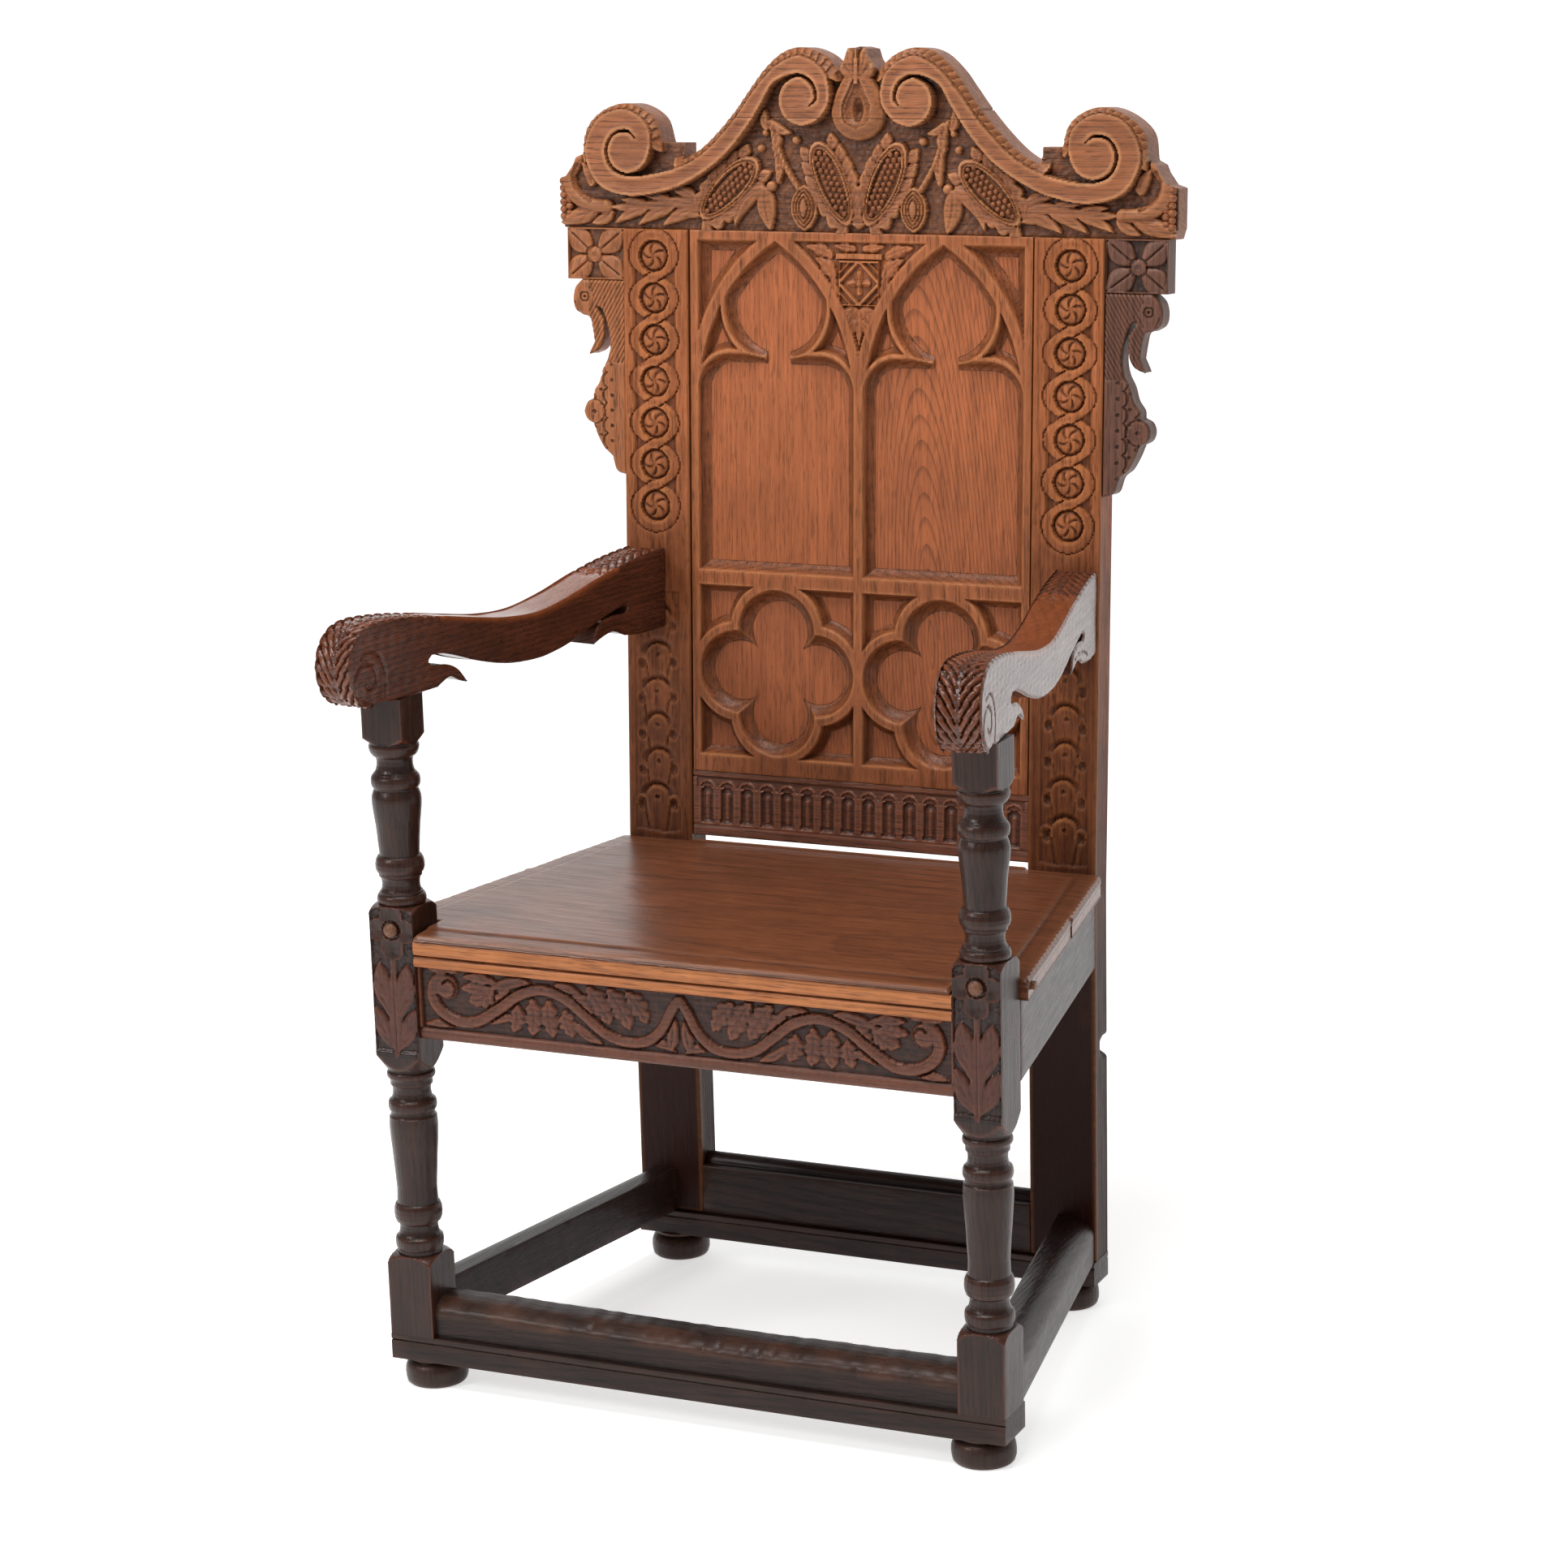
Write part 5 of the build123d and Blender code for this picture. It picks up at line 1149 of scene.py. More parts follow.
# ------------------------------------------------------------------ frame near the floor
@dataclass
class Underframe:
    """Bun feet, plinths, stretchers and the rails under the seat's sides and back."""

    foot_places: tuple[Point, ...] = ((282.0, 28.4), (216.0, 429.0))
    around: int = 72

    def feet(self) -> None:
        """Turned buns, each a squashed ball under a narrow rim."""
        profile = [
            (0.5, 0.0), (24.0, 0.0), (26.8, 0.6), (28.6, 2.5), (29.7, 6.5), (30.0, 11.0), (29.6, 16.0),
            (28.4, 20.0), (26.3, 22.4), (24.2, 23.4), (23.6, 24.2), (24.6, 25.0), (26.0, 25.8),
            (26.0, 28.0), (0.5, 28.0),
        ]
        angle = np.linspace(0, math.tau, self.around, endpoint=False)
        for (x, y), row in zip(self.foot_places, ("front", "rear")):
            for side, sign in (("left", -1), ("right", 1)):
                rings = []
                for radius, height in profile:
                    r = radius * (1 + 0.004 * np.sin(3 * angle + height))
                    rings.append(in_chair(sign * x + r * np.cos(angle), y + r * np.sin(angle), height))
                shape = (len(profile), self.around)
                skin = ring_skin(rings, np.zeros(shape), np.zeros(shape))
                name = f"{side}_{row}_foot"
                obj = mesh_of(f"{name}_turned", skin)
                mark_wear(obj.data, 0.3)
                dressed(obj, BASE_OAK, "base_oak", name)

    def boards(self) -> None:
        """Boards of the frame with rubbed arrises."""
        for node, finish, radius in (
            ("front_plinth", BASE_OAK_ACROSS, 1.0), ("rear_plinth", BASE_OAK_ACROSS, 1.0),
            ("rear_stretcher", BASE_OAK_ACROSS, 1.2), ("left_stretcher", BASE_OAK_DEPTH, 1.5),
            ("right_stretcher", BASE_OAK_DEPTH, 1.5), ("left_seat_rail", BASE_OAK_DEPTH, 1.0),
            ("right_seat_rail", BASE_OAK_DEPTH, 1.0), ("rear_seat_rail", BASE_OAK_ACROSS, 1.0),
        ):
            dressed(worn_copy(f"{node}_board", node, radius), finish, "base_oak", node)

    def front_stretcher(self) -> None:
        """Stretcher between the front posts, its rounded top worn down by feet."""
        x = np.linspace(-268, 268, 240)[:, None]
        turn = np.linspace(0, 1, 10)
        round_y = 25 - 25 * np.cos(turn * math.pi / 2)
        round_z = 76 + 14 * np.sin(turn * math.pi / 2)
        y = np.concatenate([[0, 0, 0], round_y, [31, 36.5, 38, 38, 19]])
        z = np.concatenate([[PLINTH_TOP, 62, 70], round_z, [90.5, 90, 88, PLINTH_TOP, PLINTH_TOP]])
        hollow = 2.4 * np.exp(-((x / 170) ** 2)) + 0.5 * ripple(x, 3 * x, 60, 51)
        top = unit((z - 62) / 20)
        nosing = (z > 72) & (z < 88) & (y < 12)
        chips = 0.9 * unit(ripple(x, z[None] * 0.7, 11, 52) - 0.5) * nosing
        zz = z[None] - top * hollow - chips
        yy = 6 + y[None] + chips + 0.15 * ripple(x, z[None], 30, 53)
        rings = [in_chair(np.full(len(y), x[k, 0]), yy[k], zz[k]) for k in range(len(x))]
        rubbed = ((z > 73) & (z < 89.5) & (y < 30)) * unit(0.55 + 0.5 * ripple(x, z[None], 35, 54))
        # Darkened along the foot of the face over the plinth: dirt and painted shade in the corner
        grime_and_shade = np.broadcast_to(0.6 * (z < 60), rubbed.shape)
        skin = ring_skin(rings, rubbed * (z > 60), grime_and_shade)
        dressed(mesh_of("front_stretcher_worn", skin), BASE_OAK_ACROSS, "base_oak", "front_stretcher")

    def build(self) -> None:
        """All pieces of the underframe."""
        self.feet()
        self.front_stretcher()
        self.boards()


# ------------------------------------------------------------------ tracery of the back
@dataclass
class Tracery:
    """Two pointed lights over two quatrefoils, and the panels behind them."""

    half: float = 179.0
    low: float = 522.0
    setback: float = 2.0
    depth: float = 11.0
    bay_centre: float = 88.0
    bay_half: float = 83.5
    arch_out: float = 96.025
    arch_radius: float = 178.025
    spring: float = 897.6
    band: float = 10.0
    top_rail: float = 1047.5
    head_centre: float = 984.5
    head_radius: float = 55.1
    shoulder_centre: float = 902.6
    shoulder_radius: float = 35.9
    mid_rail: tuple[float, float] = (710.0, 724.0)
    sill: float = 539.0
    lobe: float = 41.75
    lobe_band: float = 7.5
    hub: float = 29.0
    ridge: float = 3.0
    step: float = 1.1

    def cuts(self, u: Array, v: Array) -> list[tuple[Array, float]]:
        """Every sunk form: its signed distance at the face, and how wide its hollow is.

        Args:
            u, v: the points.
        Returns:
            For each form, its signed distance and the hollow's width.
        """
        ax = np.abs(np.abs(u) - self.bay_centre)
        out = np.abs(u) - self.bay_centre
        arch = to_disc(ax, v, (-self.arch_out, self.spring), self.arch_radius)
        head = to_disc(ax, v, (0, self.head_centre), self.head_radius)
        head = np.maximum(np.minimum(head, to_box(ax, v, (-20, self.head_centre + 25), (20, 1100))), arch)
        body = self.body(ax, v)
        gap = to_box(ax, v, (-13.0, self.shoulder_centre), (13.0, self.head_centre - 28))
        eye = np.maximum(arch, np.maximum(self.ridge - head, self.ridge - body))
        eye = np.maximum(eye, self.shoulder_centre - 26 - v)
        corner = self.band + self.arch_radius - np.hypot(out + self.arch_out, v - self.spring)
        corner = np.maximum(np.maximum(corner, out - self.bay_half), v - self.top_rail)
        corner = np.maximum(corner, np.maximum(-out, self.spring - v))
        middle = (self.sill + self.mid_rail[0]) / 2
        az = np.abs(v - middle)
        lobes = [to_disc(ax, az, place, self.lobe) for place in ((self.lobe, 0), (0, self.lobe))]
        square = to_box(ax, az, (-self.bay_half, -200), (self.bay_half, middle - self.sill))
        square = np.maximum(square, az - (middle - self.sill))
        foil = np.maximum(self.lobe_band - np.minimum(*lobes), square)
        hub = to_disc(ax, az, (0, 0), self.hub)
        return [
            (head, 10.0), (body, 10.0), (gap, 1.2), (eye, 7.5), (corner, 11.0), (lobes[0], 12.3),
            (lobes[1], 12.3), (hub, 1.2), (foil, 8.0),
        ]

    def body(self, ax: Array, v: Array) -> Array:
        """Tall light under the head, with a rounded shoulder at each side.

        Args:
            ax: way across a bay from its middle line.
            v: height.
        Returns:
            Signed distance to the light.
        """
        turn = self.bay_half - self.shoulder_radius
        shoulder = np.where(
            ax > turn, to_disc(ax, v, (turn, self.shoulder_centre), self.shoulder_radius),
            v - self.shoulder_centre - self.shoulder_radius,
        )
        straight = to_box(ax, v, (-self.bay_half, self.mid_rail[1]), (self.bay_half, 1300.0))
        return np.where(v > self.shoulder_centre, np.maximum(shoulder, straight), straight)

    def open(self, u: Array, v: Array) -> Array:
        """Signed distance to the frame's wood where it meets the panels.

        Args:
            u, v: the points.
        Returns:
            The distance of each point.
        """
        through = np.full(u.shape, 1e3)
        for distance, hollow in self.cuts(u, v):
            through = np.minimum(through, distance + hollow)
        frame_box = to_box(u, v, (-self.half, self.low), (self.half, BACK_TOP))
        return np.maximum(frame_box, -through)

    def carve(self, c: Carving) -> None:
        """Hollow chamfers, and the square flower between the arches.

        Args:
            c: the board's face.
        """
        c.h += 0.12 * ripple(c.u, c.v, 40, 3)
        for distance, hollow in self.cuts(c.u, c.v):
            t = unit(-distance / hollow)
            c.sink_to(distance < 0, -self.depth * (1 - (1 - t) ** 1.8))
        self.flower(c)
        c.h += 0.1 * ripple(c.u, c.v, 9, 4)

    def flower(self, c: Carving) -> None:
        """Sunk field between the two arches with a framed flower and a leafy drop.

        Args:
            c: the board's face.
        """
        out = self.bay_centre + self.arch_out
        outer = self.arch_radius + self.band
        field_in = np.maximum(outer - np.hypot(out - np.abs(c.u), c.v - self.spring), c.v - self.top_rail)
        field_in = np.maximum(field_in, np.abs(c.u) - self.bay_centre)
        field_in = np.maximum(field_in, self.spring - c.v)
        inside = field_in < 0
        x, z = np.abs(c.u), c.v
        h = np.full(c.h.shape, -4.6)
        bar = to_box(x, z, (-24, 1031), (24, 1037))
        h = np.where(bar < 0, -0.6, h)
        square = to_box(x, z, (-21, 987), (21, 1030))
        diamond = (x + np.abs(z - 1008.5)) / math.sqrt(2) - 15.0
        h = np.where(square < 0, -4.0, h)
        h = np.where((square < 0) & (square > -1.6), -0.3, h)
        h = np.where((square < 0) & (np.abs(diamond) < 1.6), -0.2, h)
        angle = np.arctan2(z - 1008.5, x)
        radius = np.hypot(x, z - 1008.5)
        petals = np.abs(np.cos(2 * angle)) * 9.5 + 2.5
        h = np.where((square < 0) & (radius < petals), -0.6 - 2.4 * np.abs(np.sin(4 * angle)) ** 2, h)
        h = np.where(radius < 2.6, 0.0, h)
        h = np.where((square < 0) & (diamond > 2.0) & (np.abs(diamond - 6) < 1.0), -0.5, h)
        c.sink_to(inside, np.where(field_in > -1.2, -1.0, h))
        small = Carving(c.u, c.v)
        small.h -= 4.6
        for side in (-1, 1):
            small.leaf((side * 2, 985), (side * 16, 969), 7.5, side * 2, -4, 3.4, 0, 3)
            small.leaf((side * 3, 974), (side * 10, 955), 5.5, side * 1.5, -4, 3.2, 0, 3)
            small.leaf((side * 26, 1014), (side * 28, 985), 7, 0, -4, 3.4, 2, 3)
            small.leaf((side * 25, 1012), (side * 46, 1032), 9, side * 3, -4, 3.6, 2, 4)
            small.leaf((side * 27, 1033), (side * 56, 1043), 7.5, side * 2, -4, 3.6, 2, 4)
            small.leaf((side * 3, 1041), (side * 27, 1044), 5.5, 0, -4, 3.4, 2, 3)
        small.leaf((0, 984), (0, 948), 4.5, 0, -4, 3.6, 3, 5)
        c.raise_to(inside & (field_in < -1.2), small.h)

    def place(self, x: Array, z: Array, depth: Array) -> Array:
        """Where a point of the frame lies."""
        return on_back(x, z, self.setback + depth)

    def build(self) -> None:
        """Frame and panels."""
        # The hollow chamfers and sunk ground darken, for dirt and painted shade
        board = Board(
            (-self.half, self.low), (self.half, BACK_TOP), self.step, self.depth, self.place, self.open,
            self.carve, edge_radius=0.35, relief=2.0, soil_and_shade=(-0.8, 4.0, 0.62),
        )
        dressed(mesh_of("tracery_carved", board.skin()), BACK_OAK, "back_oak", "tracery_frame")
        for side in ("left", "right"):
            panel = worn_copy(f"{side}_panel_board", f"{side}_back_panel", 0.5, 25.0)
            finish = PANEL_OAK if side == "right" else PANEL_OAK_QUIET
            dressed(panel, finish, "back_oak", f"{side}_back_panel")


# ------------------------------------------------------------------ crest
CREST_OUTLINE = (
    ((0, 0), (-318, 0), (-321, 10), (-321, 47), (-312, 50), (-304, 61), (-301, 68), (-293, 72)),
    ((155, 51), (120, 46), (90, 44), (50, 40), (12, 35)),
    ((-186, 66), (-165, 78), (-145, 96), (-127, 116), (-110, 138)),
    ((145, 49), (115, 49), (90, 49), (60, 47), (35, 46)), ((-12, 164), (-9, 173), (0, 175)),
)


@dataclass
class Crest:
    """Two boards on top of the back: S scrolls, pods, leaves and a pear in the middle."""

    ground: float = 7.0
    back: float = 33.0
    lead: float = 15.0
    seam: float = 1164.0
    seam_half: float = 125.0
    outer_eye: Point = (-242.0, 1132.0)
    inner_eye: Point = (-58.0, 1181.0)
    step: float = 1.1
    line: Array = field(init=False)
    pod_lines: tuple[tuple[Point, Point, float], ...] = (
        ((-168.0, 1066.0), (-104.0, 1126.0), 20.0), ((-8.0, 1061.0), (-46.0, 1144.0), 20.0),
    )

    def __post_init__(self) -> None:
        """Work out the whole crest's outline once."""
        left = self.half_outline()
        self.line = np.vstack([left, left[::-1][1:-1] * [-1, 1]])

    @staticmethod
    def coil(eye: Point, *steps: Point) -> list[Point]:
        """Points round a volute's eye, each as (direction, distance)."""
        return [polar(eye, radius, angle) for angle, radius in steps]

    def half_outline(self) -> Array:
        """The left half of the crest's outline, from the middle of its foot to its top.

        Returns:
            Its points, one row each.
        """
        low, outer, climb, inner, crown = CREST_OUTLINE
        up = [[(x, BACK_TOP + rise) for x, rise in part] for part in (low, climb, crown)]
        first = self.coil(self.outer_eye, *outer)
        last = self.coil(self.inner_eye, *inner)
        scroll = smooth_path([up[0][-1]] + first)
        tab = [(-186, first[-1][1])]
        slope = smooth_path(up[1] + last)
        return np.vstack([up[0][:-1], scroll, tab, slope, up[2]])

    def upper(self, u: Array, v: Array) -> Array:
        """Signed distance to the upper board, let down into the lower one."""
        seat = to_box(u, v, (-self.seam_half, self.seam), (self.seam_half, 1300))
        return np.maximum(to_polygon(u, v, self.line), seat)

    def lower(self, u: Array, v: Array) -> Array:
        """Signed distance to the lower board, with a fine seam round the upper one."""
        cut = to_box(u, v, (-self.seam_half - 0.3, self.seam - 0.3), (self.seam_half + 0.3, 1300))
        return np.maximum(to_polygon(u, v, self.line), -cut)

    def place(self, x: Array, z: Array, depth: Array) -> Array:
        """Where a point of either board lies."""
        return on_back(x, z, self.ground + depth)

    def ribbon(self) -> Array:
        """Outline of the left scroll's flat face, coiled at both ends.

        Returns:
            The corners in order, one row each.
        """
        outer_end = self.coil(self.outer_eye, (48, 14.5))
        inner_end = self.coil(self.inner_eye, (-35, 12))
        lower = outer_end + self.coil(
            self.outer_eye, (90, 17), (135, 19.8), (180, 21.3), (225, 21.8), (270, 22.2), (315, 23.3),
            (0, 25), (45, 32), (90, 38), (135, 43), (180, 46), (225, 46), (270, 44),
        )
        lower += [(-200, 1093), (-170, 1105), (-140, 1125), (-115, 1152), (-98, 1176), (-84, 1197)]
        lower += self.coil(self.inner_eye, (90, 24), (45, 21), (0, 18)) + inner_end
        upper = inner_end + self.coil(
            self.inner_eye, (0, 15.5), (45, 18.3), (90, 21.2), (135, 21.4), (180, 21.8), (225, 23),
            (270, 24.5), (315, 27), (0, 32), (45, 37), (90, 41),
        )
        upper += [
            (-82, 1213), (-105, 1190), (-122, 1168), (-140, 1148), (-160, 1130), (-182, 1117.5),
            (-215, 1109),
        ]
        upper += self.coil(
            self.outer_eye, (270, 24.6), (225, 24.6), (180, 23.8), (135, 21.8), (90, 19.2),
        ) + outer_end
        return np.vstack([smooth_path(lower, 6), smooth_path(upper, 6)[1:-1]])

    def carve(self, c: Carving) -> None:
        """Everything on the crest's face; its left half is mirrored.

        Args:
            c: the board's face.
        """
        u, v = c.u, c.v
        half = Carving(-np.abs(u) + 0.5 * ripple(u, v, 90, 7), v + 0.4 * ripple(u, v, 80, 8))
        half.h = 0.9 * pricked(u, v, 2.6, 5) - 0.4
        self.foliage(half)
        self.pods(half)
        self.ends(half)
        self.scroll(half)
        self.pear(half)
        c.h = half.h + 0.08 * ripple(u, v, 7, 9)

    def scroll(self, c: Carving) -> None:
        """Flat ribbon with a scaled bevel falling back from its outer side.

        Args:
            c: the crest's left half.
        """
        rim, along, _ = to_path(c.u, c.v, self.half_outline())
        band = to_polygon(c.u, c.v, self.ribbon())
        beyond = (rim < 9.5) & (band > 0) & (band < 13) & (c.v > 1112) & (c.u < -14)
        beyond &= (c.u > -292) | (c.v > 1135)
        scale = np.mod(along / 8.5 + 0.5 * band / 9, 1.0)
        fall = 12.0 - 1.0 * band + 2.8 * scale * (band > 1.2)
        c.raise_to(beyond, fall)
        t = unit(-band / 1.6)
        face = self.lead - 1.3 * (1 - np.sqrt(1 - (1 - t) ** 2)) - 0.55 * unit(-band / 9)
        c.raise_to(band < 0, face)

    def pear(self, c: Carving) -> None:
        """Pear between the volutes with a hollow heart, under a little crown.

        Args:
            c: the crest's left half.
        """
        centre = (0.0, 1171.0)
        side = [polar(centre, 28, a) for a in (270, 240, 210, 180, 145)] + [(-6, 1216)]
        left = smooth_path(side, 6)
        pear = to_polygon(c.u, c.v, np.vstack([left, left[::-1][:-1] * [-1, 1]]))
        c.mound(pear, 15, 4, 8.5)
        hollow = [(-11, 1162), (-13, 1174), (-7, 1188), (0, 1200), (7, 1188), (13, 1174), (11, 1162)]
        heart = to_polygon(c.u, c.v, smooth_path([(0, 1156), *hollow, (0, 1156)], 5)[:-1])
        c.cut(np.abs(heart) < 1.4, 2.6)
        c.put(heart < -1.4, 9.0 + 0.4 * heart)
        pit = np.hypot(c.u / 5.2, (c.v - 1172) / 11.0) - 1
        c.sink_to(pit < 0, 4.5 + 6.5 * pit)
        c.leaf((-3, 1196), (-17, 1215), 8, -3, 7, 4, 0, 0, 1.2)
        c.leaf((-2, 1204), (-9, 1231), 7, 2, 7, 5, 0, 0, 1.2)
        c.raise_to(np.abs(c.u) < 2.2 * unit((1233 - c.v) / 20) * (c.v > 1196), 13.0)

    @staticmethod
    def in_pod(base: Point, way: Point, a: float, s: float) -> Point:
        """Point a way up a pod from its base and a way to its left."""
        return (base[0] + way[0] * a - way[1] * s, base[1] + way[1] * a + way[0] * s)

    def pods(self, c: Carving) -> None:
        """Two seed pods in husks of overlapping leaves, a ribbed drop and its twisted stems.

        Args:
            c: the crest's left half.
        """
        for base, tip, half in self.pod_lines:
            dx, dz = tip[0] - base[0], tip[1] - base[1]
            length = math.hypot(dx, dz)
            at = partial(self.in_pod, base, (dx / length, dz / length))
            for k in (5, 4, 3, 2, 1, 0):
                for side in (-1, 1):
                    rise = length * (0.08 + 0.15 * k)
                    bulge = half * math.sin(math.pi * (0.2 + 0.12 * k)) * 0.8
                    foot, end = at(rise - 4, side * bulge * 0.45), at(rise + 15, side * (bulge + 8.5))
                    c.leaf(foot, end, 6.8, side * 3.5, 2.2 + 0.35 * (5 - k), 3.4, 1.5, 2, 1.25)
            for side in (-1, 1):
                c.leaf(at(3, side * 2), at(-10, side * 15), 6.5, side * -4, 3.2, 3.4, 0, 0, 1.1)
            a = ((c.u - base[0]) * dx + (c.v - base[1]) * dz) / length - length * 0.5
            s = (-(c.u - base[0]) * dz + (c.v - base[1]) * dx) / length
            narrow = 1 + 0.25 * a / length
            husk = np.hypot(a / (length * 0.47), s / (half * 0.8 * narrow)) - 1
            c.raise_to(husk < 0, 7.4 + 1.6 * np.sqrt(unit(-husk * 1.5)))
            c.cut(np.abs(husk + 0.13) < 0.035, 1.8)
            seed = np.hypot(a / (length * 0.385), s / (half * 0.56 * narrow)) - 1
            c.put(seed < 0, 3.6 + 1.2 * np.sqrt(unit(-seed)))
        lens = np.maximum(np.hypot(c.u + 67.3, c.v - 1079), np.hypot(c.u + 46.7, c.v - 1079)) - 24.3
        c.raise_to(lens < 0, 5.0 + 3.6 * np.sqrt(unit(-lens / 14)))
        for ring in (-3.2, -6.4, -9.6):
            c.cut(np.abs(lens - ring) < 0.75, 1.8)
        c.rope(smooth_path([(-64, 1098), (-72, 1110), (-80, 1124), (-86, 1142)], 8), 2.6, 4, 4, 6.5)
        c.rope(smooth_path([(-84, 1104), (-85, 1120), (-88, 1140), (-92, 1160)], 8), 2.8, 3.5, 4, 6.5)

    def foliage(self, c: Carving) -> None:
        """Husk leaves round the pods, trailing leaves under the scroll, buds and berries.

        Args:
            c: the crest's left half.
        """
        for base, tip, half, bend, lobes, veins in (
            # three tiers of trailing leaves from the outer pod to the end ball
            ((-222, 1077), (-254, 1084), 4.8, -2, 0, 2),
            ((-222, 1076), (-266, 1077), 5.0, 0, 0, 2),
            ((-224, 1075), (-260, 1061), 5.4, -3, 0, 2),
            ((-196, 1080), (-232, 1089), 5.4, -3, 0, 2),
            ((-194, 1078), (-238, 1079), 5.6, 0, 0, 2),
            ((-196, 1077), (-234, 1060), 6.0, -3, 0, 2),
            ((-170, 1084), (-202, 1096), 6.2, -3, 0, 2),
            ((-166, 1079), (-212, 1083), 6.4, -1, 0, 2),
            ((-168, 1077), (-208, 1060), 6.6, -3, 0, 2),
            # leaves at the stems and the curled leaf at the foot
            ((-88, 1132), (-84, 1154), 6, 0, 2, 2),
            ((-84, 1128), (-82, 1106), 5.5, 0, 0, 2),
            ((-96, 1152), (-98, 1172), 5, 2, 0, 2),
            ((-90, 1160), (-70, 1150), 4.5, -3, 0, 2),
            ((-96, 1098), (-130, 1060), 8.5, -9, 0, 1),
            ((-98, 1098), (-92, 1057), 9.5, -2, 0, 0),
        ):
            c.leaf(base, tip, half, bend, 3.2, 3.8, lobes, veins)
        berries = (
            (-103, 1135, 3.6), (-66, 1143, 4.0), (-92, 1099, 5.0), (-98, 1150, 3.2), (-84, 1152, 3.6),
        )
        for x, z, radius in berries:
            c.mound(to_disc(c.u, c.v, (x, z), radius), radius, 3, 4)

    def ends(self, c: Carving) -> None:
        """Acanthus end: a curled leaf over a ball, and broad leaves at the foot.

        Args:
            c: the crest's left half.
        """
        curl = smooth_path([(-302, 1124), (-311, 1108), (-306, 1090), (-290, 1079), (-268, 1077)], 8)
        c.strap(curl, 8.5, 3, 6, 0.25)
        crease = smooth_path([(-300, 1118), (-305, 1106), (-300, 1092), (-286, 1082)], 8)
        c.cut(to_path(c.u, c.v, crease)[0] < 1.6, 2.2)
        c.leaf((-284, 1096), (-296, 1120), 7, -3, 3, 4, 0, 2)
        c.leaf((-276, 1078), (-320, 1064), 9, 3, 3, 4, 0, 3)
        c.leaf((-284, 1068), (-322, 1060), 6, 0, 2.5, 3.5, 0, 2)
        c.leaf((-262, 1074), (-286, 1060), 6, 2, 3, 3, 0, 0)
        c.mound(to_disc(c.u, c.v, (-269, 1078), 6), 6, 4, 5.5)

    def seeds(self) -> list[tuple[float, float, float, float]]:
        """Beads of the pods and of the grapes at the ends: x, z, height and radius.

        Returns:
            One row for each bead of both halves, in mm.
        """
        out = []
        for base, tip, half in self.pod_lines:
            dx, dz = tip[0] - base[0], tip[1] - base[1]
            length = math.hypot(dx, dz)
            for row in range(-8, 9):
                for line in (-2, -1, 0, 1, 2):
                    a = row * 6.3 + (line % 2) * 3.15
                    s = line * 5.4
                    narrow = 1 + 0.25 * a / length
                    away = math.hypot(a / (length * 0.37), s / (half * 0.53 * narrow))
                    if away > 1:
                        continue
                    t = 0.5 + a / length
                    x = base[0] + dx * t - dz / length * s
                    z = base[1] + dz * t + dx / length * s
                    out.append((x, z, 5.0 + 1.9 * math.sqrt(1 - 0.7 * away**2), 2.55))
        for row in range(6):
            for line in range(2):
                out.append((-316.5 + line * 6.0, 1067 + row * 6.8 + line * 3.0, 4.5 - line, 3.9))
        return out + [(-x, z, h, r) for x, z, h, r in out]

    def build(self) -> None:
        """Both boards and the beads."""
        for name, outline, low, high in (
            ("lower", self.lower, (-321.5, 1056.0), (321.5, 1180.0)),
            ("upper", self.upper, (-126.0, 1163.5), (126.0, 1231.5)),
        ):
            board = Board(
                low, high, self.step, self.back - self.ground, self.place, outline, self.carve,
                edge_radius=0.6, columns=5, relief=1.8, soil_and_shade=(3.4, 1.6, 0.9),
            )
            obj = mesh_of(f"crest_{name}_carved", board.skin())
            dressed(obj, CREST_OAK, "back_oak", f"crest_{name}_board")
        seeds = np.array(self.seeds())
        where = on_back(seeds[:, 0], seeds[:, 1], self.ground - seeds[:, 2])
        studded("crest_seeds", where, seeds[:, 3] / MM, CREST_OAK, "back_oak")


